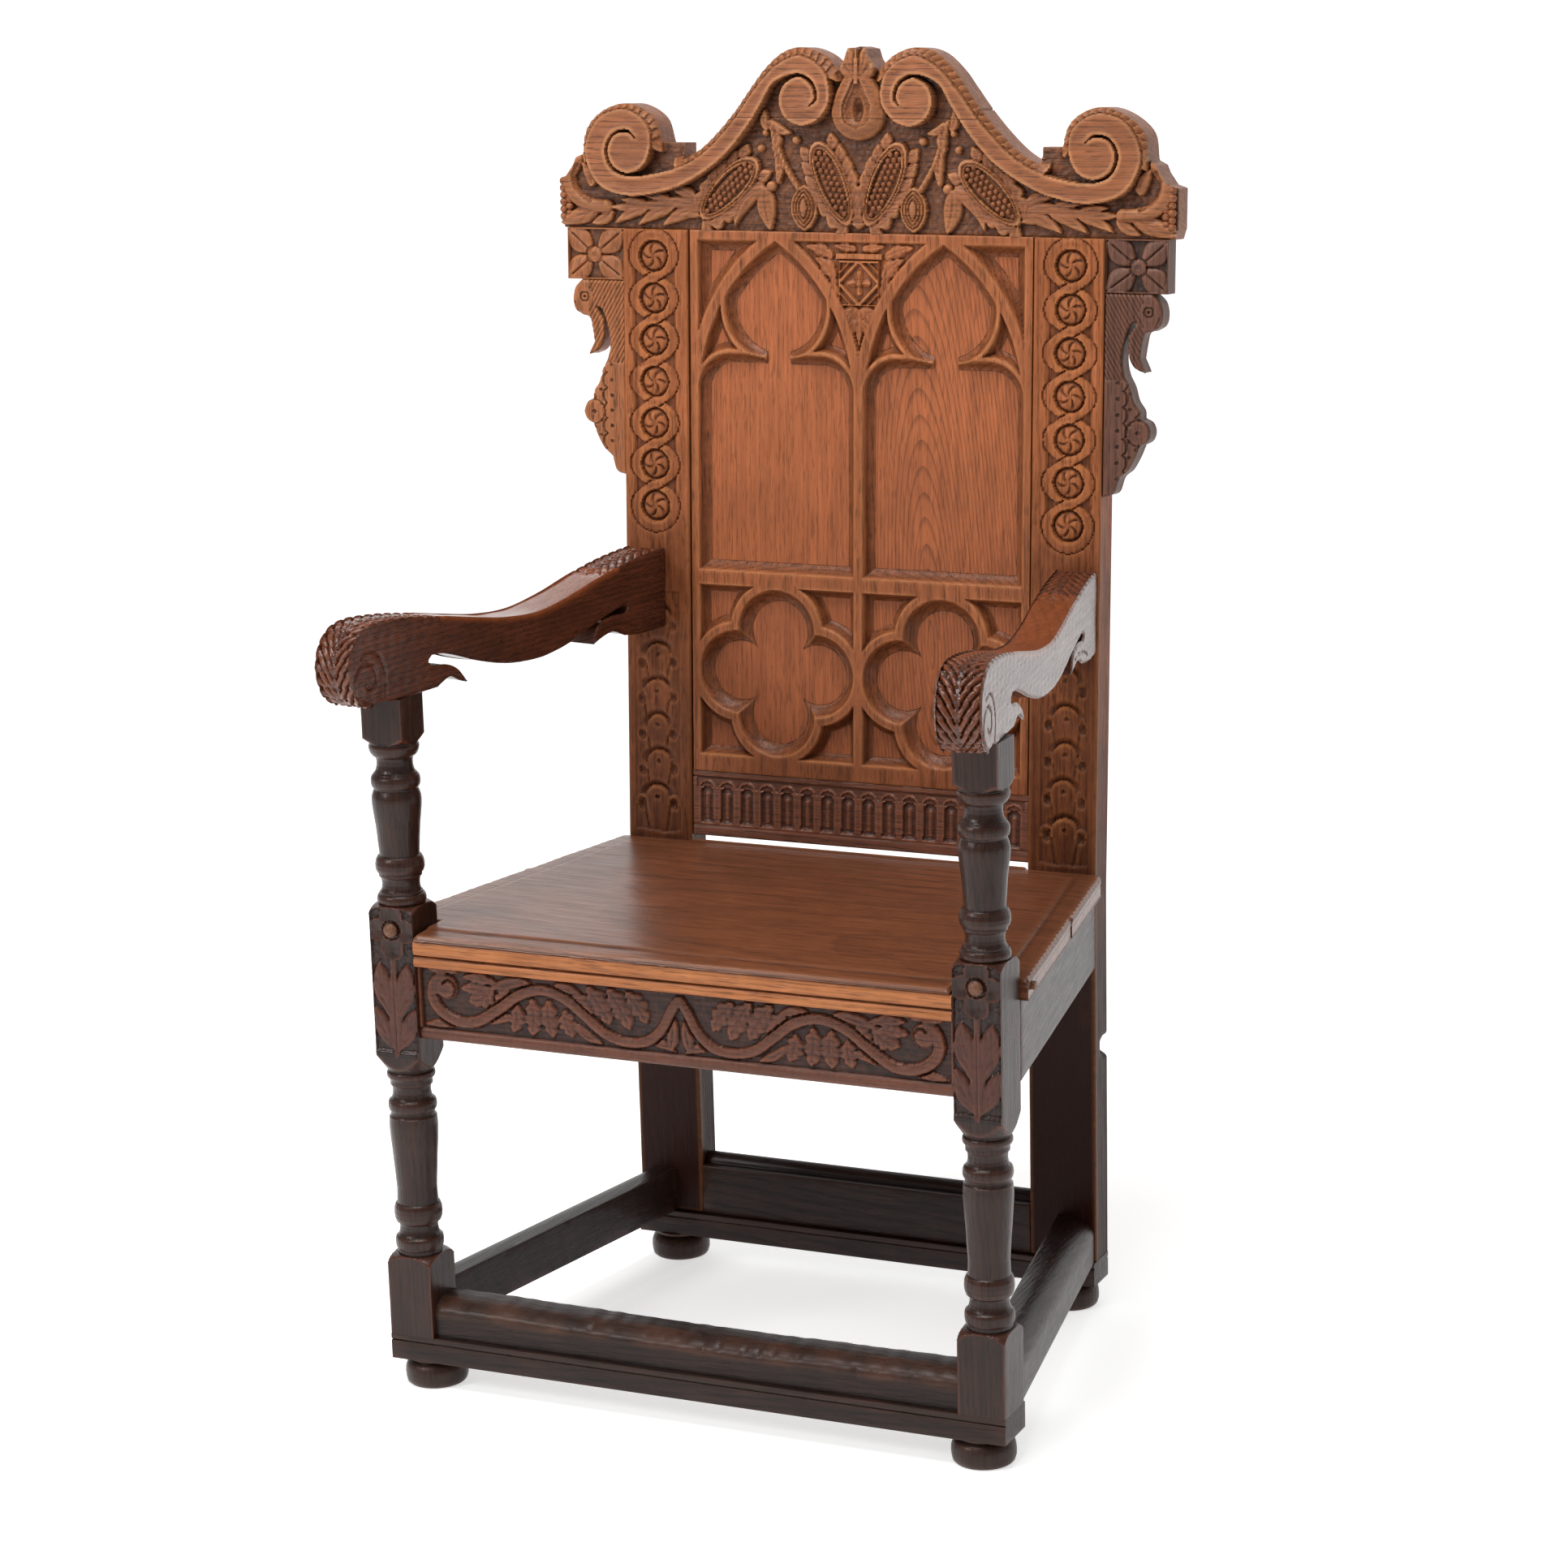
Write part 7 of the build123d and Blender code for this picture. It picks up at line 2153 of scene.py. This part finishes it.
# ------------------------------------------------------------------ seat
@dataclass
class Seat:
    """Two boards with a thumbnail moulding round them, a reeded strip and two pegs."""

    thickness: float = 22.0
    nose: float = 2.0
    overhang: float = 8.0
    split: float = 256.0
    border: float = 23.0
    corner: float = 7.0
    gap: float = 1.0
    step: float = 2.2
    plan: Array = field(init=False)
    unnotched: Array = field(init=False)

    def __post_init__(self) -> None:
        """Work out the plan seen from above, with and without the notches for the front posts."""
        notch = FRONT_HALF - FRONT_POST_WIDTH - self.gap
        back = FRONT_POST_DEPTH + self.gap
        centre = (self.edge_x(SIDE_RUN) - self.corner, SIDE_RUN - self.corner)
        right = [(notch, -self.nose), (notch, back), (self.edge_x(back), back)]
        right += [polar(centre, self.corner, a) for a in (5, 25, 45, 65, 90)]
        self.plan = np.array(right + [(-x, y) for x, y in right[::-1]])
        kept = np.array([p for p in self.plan if abs(p[0]) > notch + 1 or p[1] > 100])
        x = self.edge_x(-self.nose)
        self.unnotched = np.vstack([[(x, -self.nose)], kept, [(-x, -self.nose)]])

    def edge_x(self, y: float) -> float:
        """Where the right side's edge is at a depth."""
        slope = (REAR_HALF - FRONT_HALF) / (SIDE_RUN - FRONT_POST_DEPTH)
        return FRONT_HALF + self.overhang + slope * (y - FRONT_POST_DEPTH)

    @staticmethod
    def nosing(u: Array, v: Array, t: Array) -> Array:
        """How far the edge stands back: a thumbnail over a quirk, then a plain lower part.

        Args:
            u, v: place along the edge.
            t: way down the edge, from 0 to 1.
        Returns:
            A distance that is never above 0.
        """
        thumb = -1.2 * np.clip((t - 0.17) / 0.15, -1, 1) ** 2 * (t < 0.33)
        quirk = -2.6 * np.exp(-(((t - 0.36) / 0.03) ** 2))
        return np.minimum(thumb + quirk, -0.7 * (t > 0.38)) + 0.15 * ripple(u, v, 20, 74) - 0.2

    def front_outline(self, u: Array, v: Array) -> Array:
        """Signed distance to the front board."""
        return np.maximum(to_polygon(u, v, self.plan), v - self.split + 0.15)

    def rear_outline(self, u: Array, v: Array) -> Array:
        """Signed distance to the rear board, which laps in between the rear posts.

        Args:
            u, v: the points.
        Returns:
            The distance of each point.
        """
        half = REAR_CLEAR_HALF - 1
        lap = to_box(u, v, (-half, SIDE_RUN - 8), (half, SIDE_RUN + 5.5))
        return np.maximum(np.minimum(to_polygon(u - 1.0, v, self.plan), lap), self.split + 0.15 - v)

    def carve(self, c: Carving) -> None:
        """Sunk border, and the hollow that sitters have worn.

        Args:
            c: the seat's top; the border's step is wide enough for its grid to stay straight.
        """
        inner = -to_polygon(c.u, c.v, self.unnotched) - self.border
        t = unit(0.5 - inner / 3.6)
        fall = t * t * (3 - 2 * t)
        c.h = -1.6 * fall - 0.9 * unit(-inner / self.border) ** 1.5
        c.h -= 0.5 * np.exp(-((inner / 1.8) ** 2))
        c.h -= 0.9 * np.exp(-((c.u / 190) ** 2 + ((c.v - 190) / 130) ** 2))
        c.h += 0.22 * ripple(c.u * 0.5, c.v, 30, 3) + 0.12 * ripple(c.u, c.v, 60, 4) - 0.2
        c.put(c.v > SIDE_RUN - 0.5, -1.6)
        c.h = np.minimum(c.h, 0)

    def joint(self, u: Array, v: Array) -> Array:
        """1 or more at the joint of the two boards, falling away from it."""
        return 1.6 - np.abs(v - self.split) / 2

    @staticmethod
    def place(x: Array, y: Array, depth: Array) -> Array:
        """Where a point of the seat lies, with room under the nose for the strip."""
        return on_seat(x, np.where((depth > 8.3) & (y < 9.0), 9.2, y), depth)

    def build(self) -> None:
        """Boards, strip and pegs."""
        for name, outline, low, high in (
            ("front", self.front_outline, (-330, -2.5), (330, 257)),
            ("rear", self.rear_outline, (-330, 255), (330, 419)),
        ):
            board = Board(
                low, high, self.step, self.thickness, self.place, outline, self.carve, edge_radius=3.0,
                columns=18, edge=self.nosing, relief=1.0, joint=self.joint,
            )
            obj = mesh_of(f"seat_{name}_polished", board.skin())
            dressed(obj, SEAT_OAK, "seat_oak", f"seat_{name}_board")
        self.strip()
        dressed(worn_copy("seat_peg_ends", "seat_pegs", 0.6, 3.0), BOSS_OAK, "seat_oak", "seat_pegs")

    def strip(self) -> None:
        """Let-in strip with a broad reed over a narrow one, their arrises worn away in places."""
        z = np.array(
            [
                420, 420.5, 421.8, 424, 426.5, 428.6, 429.8, 430.1, 431.3, 431.6, 432.6, 434.5, 438, 441.5,
                443.6, 444.7, 444.9, 445, 445, 438, 428, 420,
            ]
        )
        y = np.array(
            [
                1.8, 0.4, -0.5, -0.9, -0.7, 0.1, 1.2, 3.0, 3.0, 0.7, -0.35, -0.8, -0.9, -0.8, -0.3, 0.6,
                1.8, 5, 9, 9, 9, 9,
            ]
        )
        x = np.linspace(-268, 268, 260)[:, None]
        face = y < 2.5
        worn = 0.25 * ripple(x, z[None], 40, 71) + 0.9 * unit(ripple(x, 2 * z[None], 16, 72) - 1.0)
        yy = np.maximum(y + face * worn, -0.95)
        rings = [in_chair(np.full(len(y), x[k, 0]), yy[k], z) for k in range(len(x))]
        rubbed = np.where(y < -0.6, 0.45, 0.0) * unit(0.6 + 0.6 * ripple(x, z[None], 50, 73))
        # Grooves and the wood behind the reeds darken, for dirt and painted shade
        grime_and_shade = np.broadcast_to(np.where((y > 0.9) & (z < 444), 1.0, 0.0), yy.shape)
        obj = mesh_of("reeded_strip", ring_skin(rings, rubbed, grime_and_shade))
        dressed(obj, STRIP_OAK, "strip_oak", "front_seat_moulding")


# ------------------------------------------------------------------ front rail
@dataclass
class FrontRail:
    """Rail under the seat with a running vine in a sunk field over a bead."""

    half: float = 268.0
    low: float = 349.0
    high: float = 431.0
    setback: float = 4.5
    depth: float = 22.0
    bead_top: float = 361.0
    strip_foot: float = 420.0
    step: float = 1.25

    def vine(self) -> Array:
        """Middle line of the left half of the stem, from its curled end to the middle.

        Returns:
            The line's points, one row each.
        """
        return smooth_path(
            [
                (-252, 404), (-254, 392), (-247, 379), (-231, 370.5), (-211, 371), (-187, 385), (-163, 401),
                (-138, 408), (-115, 402), (-94, 387), (-74, 372), (-52, 366.5), (-31, 371), (-16, 385),
                (-7, 402), (-1, 411),
            ],
            7,
        )

    def carve(self, c: Carving) -> None:
        """The field, the vine and its leaves; the right half mirrors the left.

        Args:
            c: the board's face.
        """
        x = -np.abs(c.u) + 0.8 * ripple(c.u, c.v, 80, 31)
        z = c.v + 0.7 * ripple(c.u, c.v, 70, 32)
        half = Carving(x, z)
        half.h = -4.3 + 0.5 * pricked(c.u, c.v, 3.0, 33)
        for base, tip, wide, bend, lobes, veins, full in (
            ((-150, 413), (-196, 404), 6.0, -3, 0, 2, 0.8),
            ((-190, 406), (-216, 390), 11.2, 3, 3.5, 4, 0.9),
            ((-176, 408), (-190, 386), 10.1, 3, 3.5, 4, 0.9),
            ((-186, 410), (-222, 413), 6.5, -2, 2, 3, 0.9), ((-200, 405), (-224, 402), 7.0, 0, 2, 3, 0.9),
            ((-196, 372), (-166, 378), 5.0, 3, 0, 2, 0.8), ((-166, 392), (-170, 365), 9.5, 2, 3.5, 4, 1.0),
            ((-150, 399), (-150, 362.5), 11.2, 2, 3.5, 5, 1.0),
            ((-132, 400), (-129, 363), 10.6, -2, 3.5, 5, 1.0),
            ((-116, 392), (-108, 366), 10.1, -2, 3.5, 4, 1.0),
            ((-108, 380), (-78, 363), 5.0, -2, 0, 2, 0.8), ((-128, 413), (-98, 408), 5.0, 2, 0, 2, 0.8),
            ((-106, 408), (-88, 386), 9.5, 2, 3.5, 4, 0.9), ((-92, 416), (-70, 382), 11.8, 2, 3.5, 5, 0.95),
            ((-72, 417), (-50, 379), 11.8, 2, 3.5, 5, 0.95),
            ((-54, 415), (-32, 386), 10.6, 2, 3.5, 4, 0.95), ((-36, 370), (-4, 363), 5.0, 3, 0, 2, 0.8),
            ((-4, 396), (-9, 364), 6.5, 0, 0, 0, 1.2), ((-226, 368), (-262, 364), 5.0, 0, 0, 2, 0.8),
            ((-258, 418), (-224, 417), 4.0, 0, 0, 2, 0.8),
        ):
            half.leaf(base, tip, wide, bend, -3.2, 2.9, lobes, veins, full)
        path = self.vine()
        d, along, side = to_path(x, z, path)
        stem = 5.6 - 1.2 * unit(along / 420)
        t = unit(d / stem)
        lifted = -0.15 - 1.8 * t**4 - 0.7 * (np.abs(d * side - 2.6) < 0.7)
        half.put((d < stem + 1.6) & (d >= stem), -4.3)
        half.put(d < stem, lifted)
        curl = np.hypot(x + 239, z - 402)
        half.put(curl < 13.5, -4.2)
        half.put(curl < 11.6, -0.1 - 1.6 * unit((curl - 7) / 4.6) ** 2)
        turns = [
            (-250.5, 396), (-245, 392), (-238, 391), (-231, 396), (-230, 404), (-236, 409), (-242, 406),
        ]
        swirl = to_path(x, z, smooth_path(turns, 5))[0]
        half.put((swirl < 1.1) & (curl < 13.5), -2.6)
        neck = to_path(x, z, np.array([(-252.0, 398.0), (-250, 408), (-243, 413)]))[0]
        half.raise_to(neck < 4.8, -0.3 - 0.06 * neck**2)
        field_box = to_box(c.u, c.v, (-self.half + 3, self.bead_top), (self.half - 3, 419.0))
        c.h = np.where(field_box < 0, np.minimum(half.h, 0), 0.0)
        bead = (c.v < self.bead_top) & (c.v >= self.low)
        c.put(bead, -3.0 + 2.9 * np.sqrt(unit(1 - ((c.v - 355.4) / 5.6) ** 2)))
        c.put(c.v > self.strip_foot - 0.4, -4.9)
        c.h += 0.14 * ripple(c.u, c.v, 8, 34) - 0.14

    def build(self) -> None:
        """The rail."""
        low, high = (-self.half, self.low), (self.half, self.high)
        board = Board(
            low, high, self.step, self.depth, on_front(self.setback), partial(to_box, low=low, high=high),
            self.carve, edge_radius=0.8, columns=3, relief=1.3, soil_and_shade=(-2.2, 1.8, 0.9),
        )
        dressed(mesh_of("vine_rail_carved", board.skin()), RAIL_OAK, "back_oak", "front_seat_rail")


# ------------------------------------------------------------------ arms
ARM_TOP = (
    (-58, -2), (-76, 10), (-85, 34), (-80, 57), (-65, 71), (-45, 76), (0, 73.5), (50, 66), (100, 56.5),
    (150, 48), (200, 45), (250, 51), (300, 61), (350, 69), (400, 73), (450, 74),
)
ARM_UNDER = (
    ((400, -6), (365, -6), (340, -3)), ((340, -3), (320, 4), (300, 1), (286, -3.5)),
    ((286, -3.5), (290, 9), (300, 17), (320, 20), (340, 19)), ((340, 19), (345, 23), (338, 27)),
    (
        (338, 27), (300, 19), (250, 6), (225, 2), (200, 0), (150, 3.5), (100, 15.5), (75, 24), (50, 31),
        (35, 32),
    ),
    ((35, 32), (30, 27), (35, 22)), ((35, 22), (55, 20), (72, 13), (88, -3)),
    ((88, -3), (75, 1), (62, 7), (50, 4), (40, 0)), ((-24, 0), (-40, 3), (-50, 1), (-58, -2)),
)


@dataclass
class Arms:
    """Shaped arms on edge, their noses and rear ends carved with feathered leaves."""

    origin: tuple[float, float, float] = (289.0, 24.0, 671.0)
    run: Point = (-0.14915, 0.98881)
    thickness: float = 42.0
    volute: Point = (-58.0, 24.0)
    step: float = 1.5
    rim: Array = field(init=False)
    shape: Array = field(init=False)
    round_nose: Array = field(init=False)
    nose_end: float = field(init=False)
    leaf_start: float = field(init=False)

    def __post_init__(self) -> None:
        """Work out the side view, the line round the nose and where its feathers end.

        Both are drawn as (distance behind the post's middle, height above its seat).
        """
        self.rim = smooth_path(ARM_TOP, 8)[:-1]
        parts = [smooth_path(part, 5)[:-1] for part in ARM_UNDER]
        self.shape = np.vstack([self.rim, np.array([(450.0, 74.0), (450.0, -7.0)]), *parts])
        under = smooth_path(ARM_UNDER[-1], 6)
        self.round_nose = np.vstack([under, self.rim[1:]])
        lengths = np.concatenate([[0], np.cumsum(np.hypot(*np.diff(self.round_nose, axis=0).T))])
        past = len(under) + 40
        way = self.round_nose[past:, 0]
        self.nose_end = float(np.interp(58, way, lengths[past:]))
        self.leaf_start = float(np.interp(300, way, lengths[past:]))

    def feathering(self, along: Array, across: Array, front: bool) -> Array:
        """Depth from 0 to 1 of the grooves between feathers.

        Args:
            along: way round the edge, in mm.
            across: way from the edge's middle line, from 0 to 1.
            front: whether these are the nose's feathers or the rear leaf's.
        Returns:
            The grooves' depth.
        """
        pitch, slant = (14.0, -40.0) if front else (14.0, 34.0)
        phase = np.mod((along + slant * across**0.7) / pitch, 1.0)
        return unit(1.1 * np.abs(2 * phase - 1) ** 4 + 0.35 * phase**2)

    def zones(self, u: Array, v: Array) -> tuple[Array, Array, Array, Array]:
        """Where the feathers are.

        Args:
            u, v: the points, in the side view.
        Returns:
            Distance from the line round the nose, way along it, and how much each point
            belongs to the nose and to the rear leaf.
        """
        d, along, _ = to_path(u, v, self.round_nose)
        nose = unit((self.nose_end - along) / 12) * unit((along + 2) / 6) * (d < 7)
        rear = unit((along - self.leaf_start) / 16) * (d < 7)
        return d, along, nose, rear

    def outline(self, u: Array, v: Array) -> Array:
        """Signed distance to the side view, scalloped by the feathers.

        Args:
            u, v: the points, in the side view.
        Returns:
            The distance of each point.
        """
        s = to_polygon(u, v, self.shape)
        s = np.maximum(s, u - (406.3 + 0.0558 * v))
        _, along, nose, rear = self.zones(u, v)
        scallop = 1.5 * nose * self.feathering(along, np.ones_like(u), True)
        scallop = scallop + 1.3 * rear * self.feathering(along, np.ones_like(u), False)
        return s + scallop

    def edge(self, u: Array, v: Array, t: Array) -> Array:
        """How far the edge stands back: feathers each side of a rib, and a worn top.

        Args:
            u, v: the rim's points.
            t: way through the arm's thickness, from 0 to 1.
        Returns:
            A distance that is never above 0.
        """
        d, along, nose, rear = self.zones(u, v)
        across = np.abs(2 * t - 1)
        cut = 4.4 * nose * self.feathering(along, across, True)
        cut = cut + 2.4 * rear * self.feathering(along, across, False)
        rib = (nose + rear > 0.3) & (across < 0.11)
        cut = np.where(rib, 1.3, cut)
        crown = 1.2 * across**4 - 0.6 * nose * (1 - across)
        top = (d < 7) & (nose + rear < 0.2)
        dip = np.where(top, 0.3 + 0.35 * ripple(along, t * 42, 60, 41), 0.25)
        return -(cut + crown + dip + 0.2)

    def carve(self, c: Carving) -> None:
        """Spiral of the nose, a line that follows it, and the rear leaf's vein.

        Args:
            c: either side of an arm.
        """
        rim = to_polygon(c.u, c.v, self.shape)
        c.h = 0.22 * ripple(c.u, c.v, 55, 42) + 0.1 * ripple(c.u, c.v, 9, 43) - 0.35
        turns = (
            (20.5, 250), (20, 215), (19.5, 180), (18.5, 145), (17, 110), (15, 75), (13, 40), (11, 5),
            (9.5, -30), (8.0, -65), (6.5, -100), (5, -140),
        )
        spiral = smooth_path([(-53, 1)] + [polar(self.volute, r, a) for r, a in turns], 6)
        d = to_path(c.u, c.v, spiral)[0]
        c.cut(d < 1.5, 1.9 * (1 - (d / 1.5) ** 2))
        inner = smooth_path([(-36, 6), (-33, 24), (-39, 41), (-52, 50), (-66, 47)], 6)
        follow = to_path(c.u, c.v, inner)[0]
        c.cut(follow < 1.2, 1.5 * (1 - (follow / 1.2) ** 2))
        leafy = to_path(c.u, c.v, smooth_path([(300, 8), (315, 10), (340, 8), (360, 2)], 6))[0]
        c.cut(leafy < 1.0, 1.0)
        c.cut(rim > -2.0, 0.25)

    def place(self, side: int, a: Array, z: Array, depth: Array) -> Array:
        """Where a point lies; the rear end is cut to the post's leaning face.

        Args:
            side: -1 for the left arm, 1 for the right.
            a, z, depth: its place in the side view, and how far behind the outer face.
        Returns:
            One row of three metres for each point.
        """
        a, z, depth = np.broadcast_arrays(a, z, depth)
        out = self.thickness / 2 - depth
        near = unit((a - 350) / 50)
        a = a - near * 0.1508 * out
        x = self.origin[0] + self.run[0] * a + self.run[1] * out
        y = self.origin[1] + self.run[1] * a - self.run[0] * out
        return in_chair(side * x, y, self.origin[2] + z)

    def handled(self, points: Array) -> Array:
        """How much each of an arm's points has been rubbed by hands, along its top.

        Args:
            points: places in metres.
        Returns:
            A value from 0 to 1 for each.
        """
        behind = (points[:, 1] * MM + ORIGIN_Y - self.origin[1]) / self.run[1]
        level = self.rim[self.rim[:, 0] > 0]
        top = self.origin[2] + np.interp(behind, level[:, 0], level[:, 1])
        return unit((points[:, 2] * MM - top + 7) / 4) * (behind > 45) * (behind < 330)

    def build(self) -> None:
        """Both arms."""
        for side, name in ((-1, "left"), (1, "right")):
            board = Board(
                (-87, -7), (412, 78), self.step, self.thickness, partial(self.place, side), self.outline,
                self.carve, back_carve=self.carve, edge_radius=1.4, columns=34, edge=self.edge, relief=1.4,
            )
            skin = board.skin()
            skin.rubbed = np.maximum(skin.rubbed, 0.8 * self.handled(skin.points))
            if side < 0:
                skin.faces = [tuple(face)[::-1] for face in skin.faces]
            dressed(mesh_of(f"{name}_arm_carved", skin), ARM_OAK, "base_oak", f"{name}_arm")


ASSEMBLIES = [
    Underframe(), Tracery(), RearPosts(), NulledRail(), Ears(), FrontPosts(), Seat(), FrontRail(), Arms(),
    Crest(),
]


# ------------------------------------------------------------------ studio
@dataclass(frozen=True)
class Studio:
    """White sweep, soft boxes and the camera."""

    azimuth: float = 22.86
    elevation: float = 15.33
    roll: float = -1.01
    position: tuple[float, float, float] = (1.5015, -3.23354, 1.4)
    lens: float = 89.56
    shift: tuple[float, float] = (-0.0790, 0.0922)

    def camera(self) -> None:
        """Camera at the chair's portrait angle, without depth of field."""
        data = bpy.data.cameras.new("portrait_camera")
        data.lens = self.lens
        data.sensor_width = 36.0
        data.shift_x, data.shift_y = self.shift
        data.clip_end = 60.0
        a, e, r = (math.radians(v) for v in (self.azimuth, self.elevation, self.roll))
        back = np.array([math.sin(a) * math.cos(e), -math.cos(a) * math.cos(e), math.sin(e)])
        right = np.cross(-back, [0, 0, 1.0])
        right /= np.linalg.norm(right)
        up = np.cross(back, right)
        rolled = math.cos(r) * right + math.sin(r) * up
        up = -math.sin(r) * right + math.cos(r) * up
        obj = bpy.data.objects.new("portrait_camera", data)
        matrix = np.eye(4)
        matrix[:3, 0], matrix[:3, 1], matrix[:3, 2], matrix[:3, 3] = rolled, up, back, self.position
        obj.matrix_world = Matrix(matrix.tolist())
        bpy.context.scene.collection.objects.link(obj)
        bpy.context.scene.camera = obj

    def floor(self) -> None:
        """Matt white floor that sweeps up far behind the chair."""
        rows = [(-8.0, 0.0), (5.0, 0.0)]
        rows += [(5.0 + 2.5 * math.sin(t), 2.5 - 2.5 * math.cos(t)) for t in np.linspace(0.1, 1.5, 12)]
        rows += [(7.5, 9.0)]
        points = [(x, y, z) for y, z in rows for x in (-12.0, 12.0)]
        faces = [(2 * k, 2 * k + 1, 2 * k + 3, 2 * k + 2) for k in range(len(rows) - 1)]
        mesh = bpy.data.meshes.new("studio_sweep")
        mesh.from_pydata(points, [], faces)
        mesh.shade_smooth()
        sweep = bpy.data.objects.new("studio_sweep", mesh)
        bpy.context.scene.collection.objects.link(sweep)
        paint = bpy.data.materials.new("studio_white_paint")
        paint.use_nodes = True
        shader = paint.node_tree.nodes["Principled BSDF"]
        shader.inputs["Base Color"].default_value = linear("#f4f4f3")
        shader.inputs["Emission Color"].default_value = (1.0, 1.0, 1.0, 1.0)
        shader.inputs["Emission Strength"].default_value = 0.58
        shader.inputs["Roughness"].default_value = 0.9
        shader.inputs["Specular IOR Level"].default_value = 0.1
        mesh.materials.append(paint)

    def lights(self) -> None:
        """White room light with a large soft box overhead and a smaller one in front."""
        world = bpy.data.worlds.new("studio_room")
        bpy.context.scene.world = world
        world.use_nodes = True
        world.node_tree.nodes["Background"].inputs["Color"].default_value = (1, 1, 1, 1)
        world.node_tree.nodes["Background"].inputs["Strength"].default_value = 0.3
        for label, place, aim, size, power in (
            ("overhead_box", (-0.2, -0.9, 3.2), (0, 0, 0.6), 1.6, 68.0),
            ("front_box", (-1.9, -2.6, 2.2), (0, 0, 0.8), 1.0, 43.0),
        ):
            data = bpy.data.lights.new(label, "AREA")
            data.shape = "SQUARE"
            data.size = size
            data.energy = power
            lamp = bpy.data.objects.new(label, data)
            lamp.location = place
            away = np.array(place) - np.array(aim)
            flat = math.hypot(away[0], away[1])
            lamp.rotation_euler = (
                math.atan2(flat, away[2]), 0.0, math.atan2(away[1], away[0]) + math.pi / 2,
            )
            bpy.context.scene.collection.objects.link(lamp)

    def build(self) -> None:
        """Everything round the chair."""
        self.camera()
        self.floor()
        self.lights()
        bpy.context.scene.view_settings.view_transform = "Standard"


# ------------------------------------------------------------------ the whole
def main() -> None:
    """Build the studio and dress the chair, sub-assembly by sub-assembly."""
    logging.basicConfig(level=logging.INFO, format="%(message)s")
    Studio().build()
    for assembly in ASSEMBLIES:
        LOG.info("%s", type(assembly).__name__)
        assembly.build()


if __name__ == "__main__":
    main()
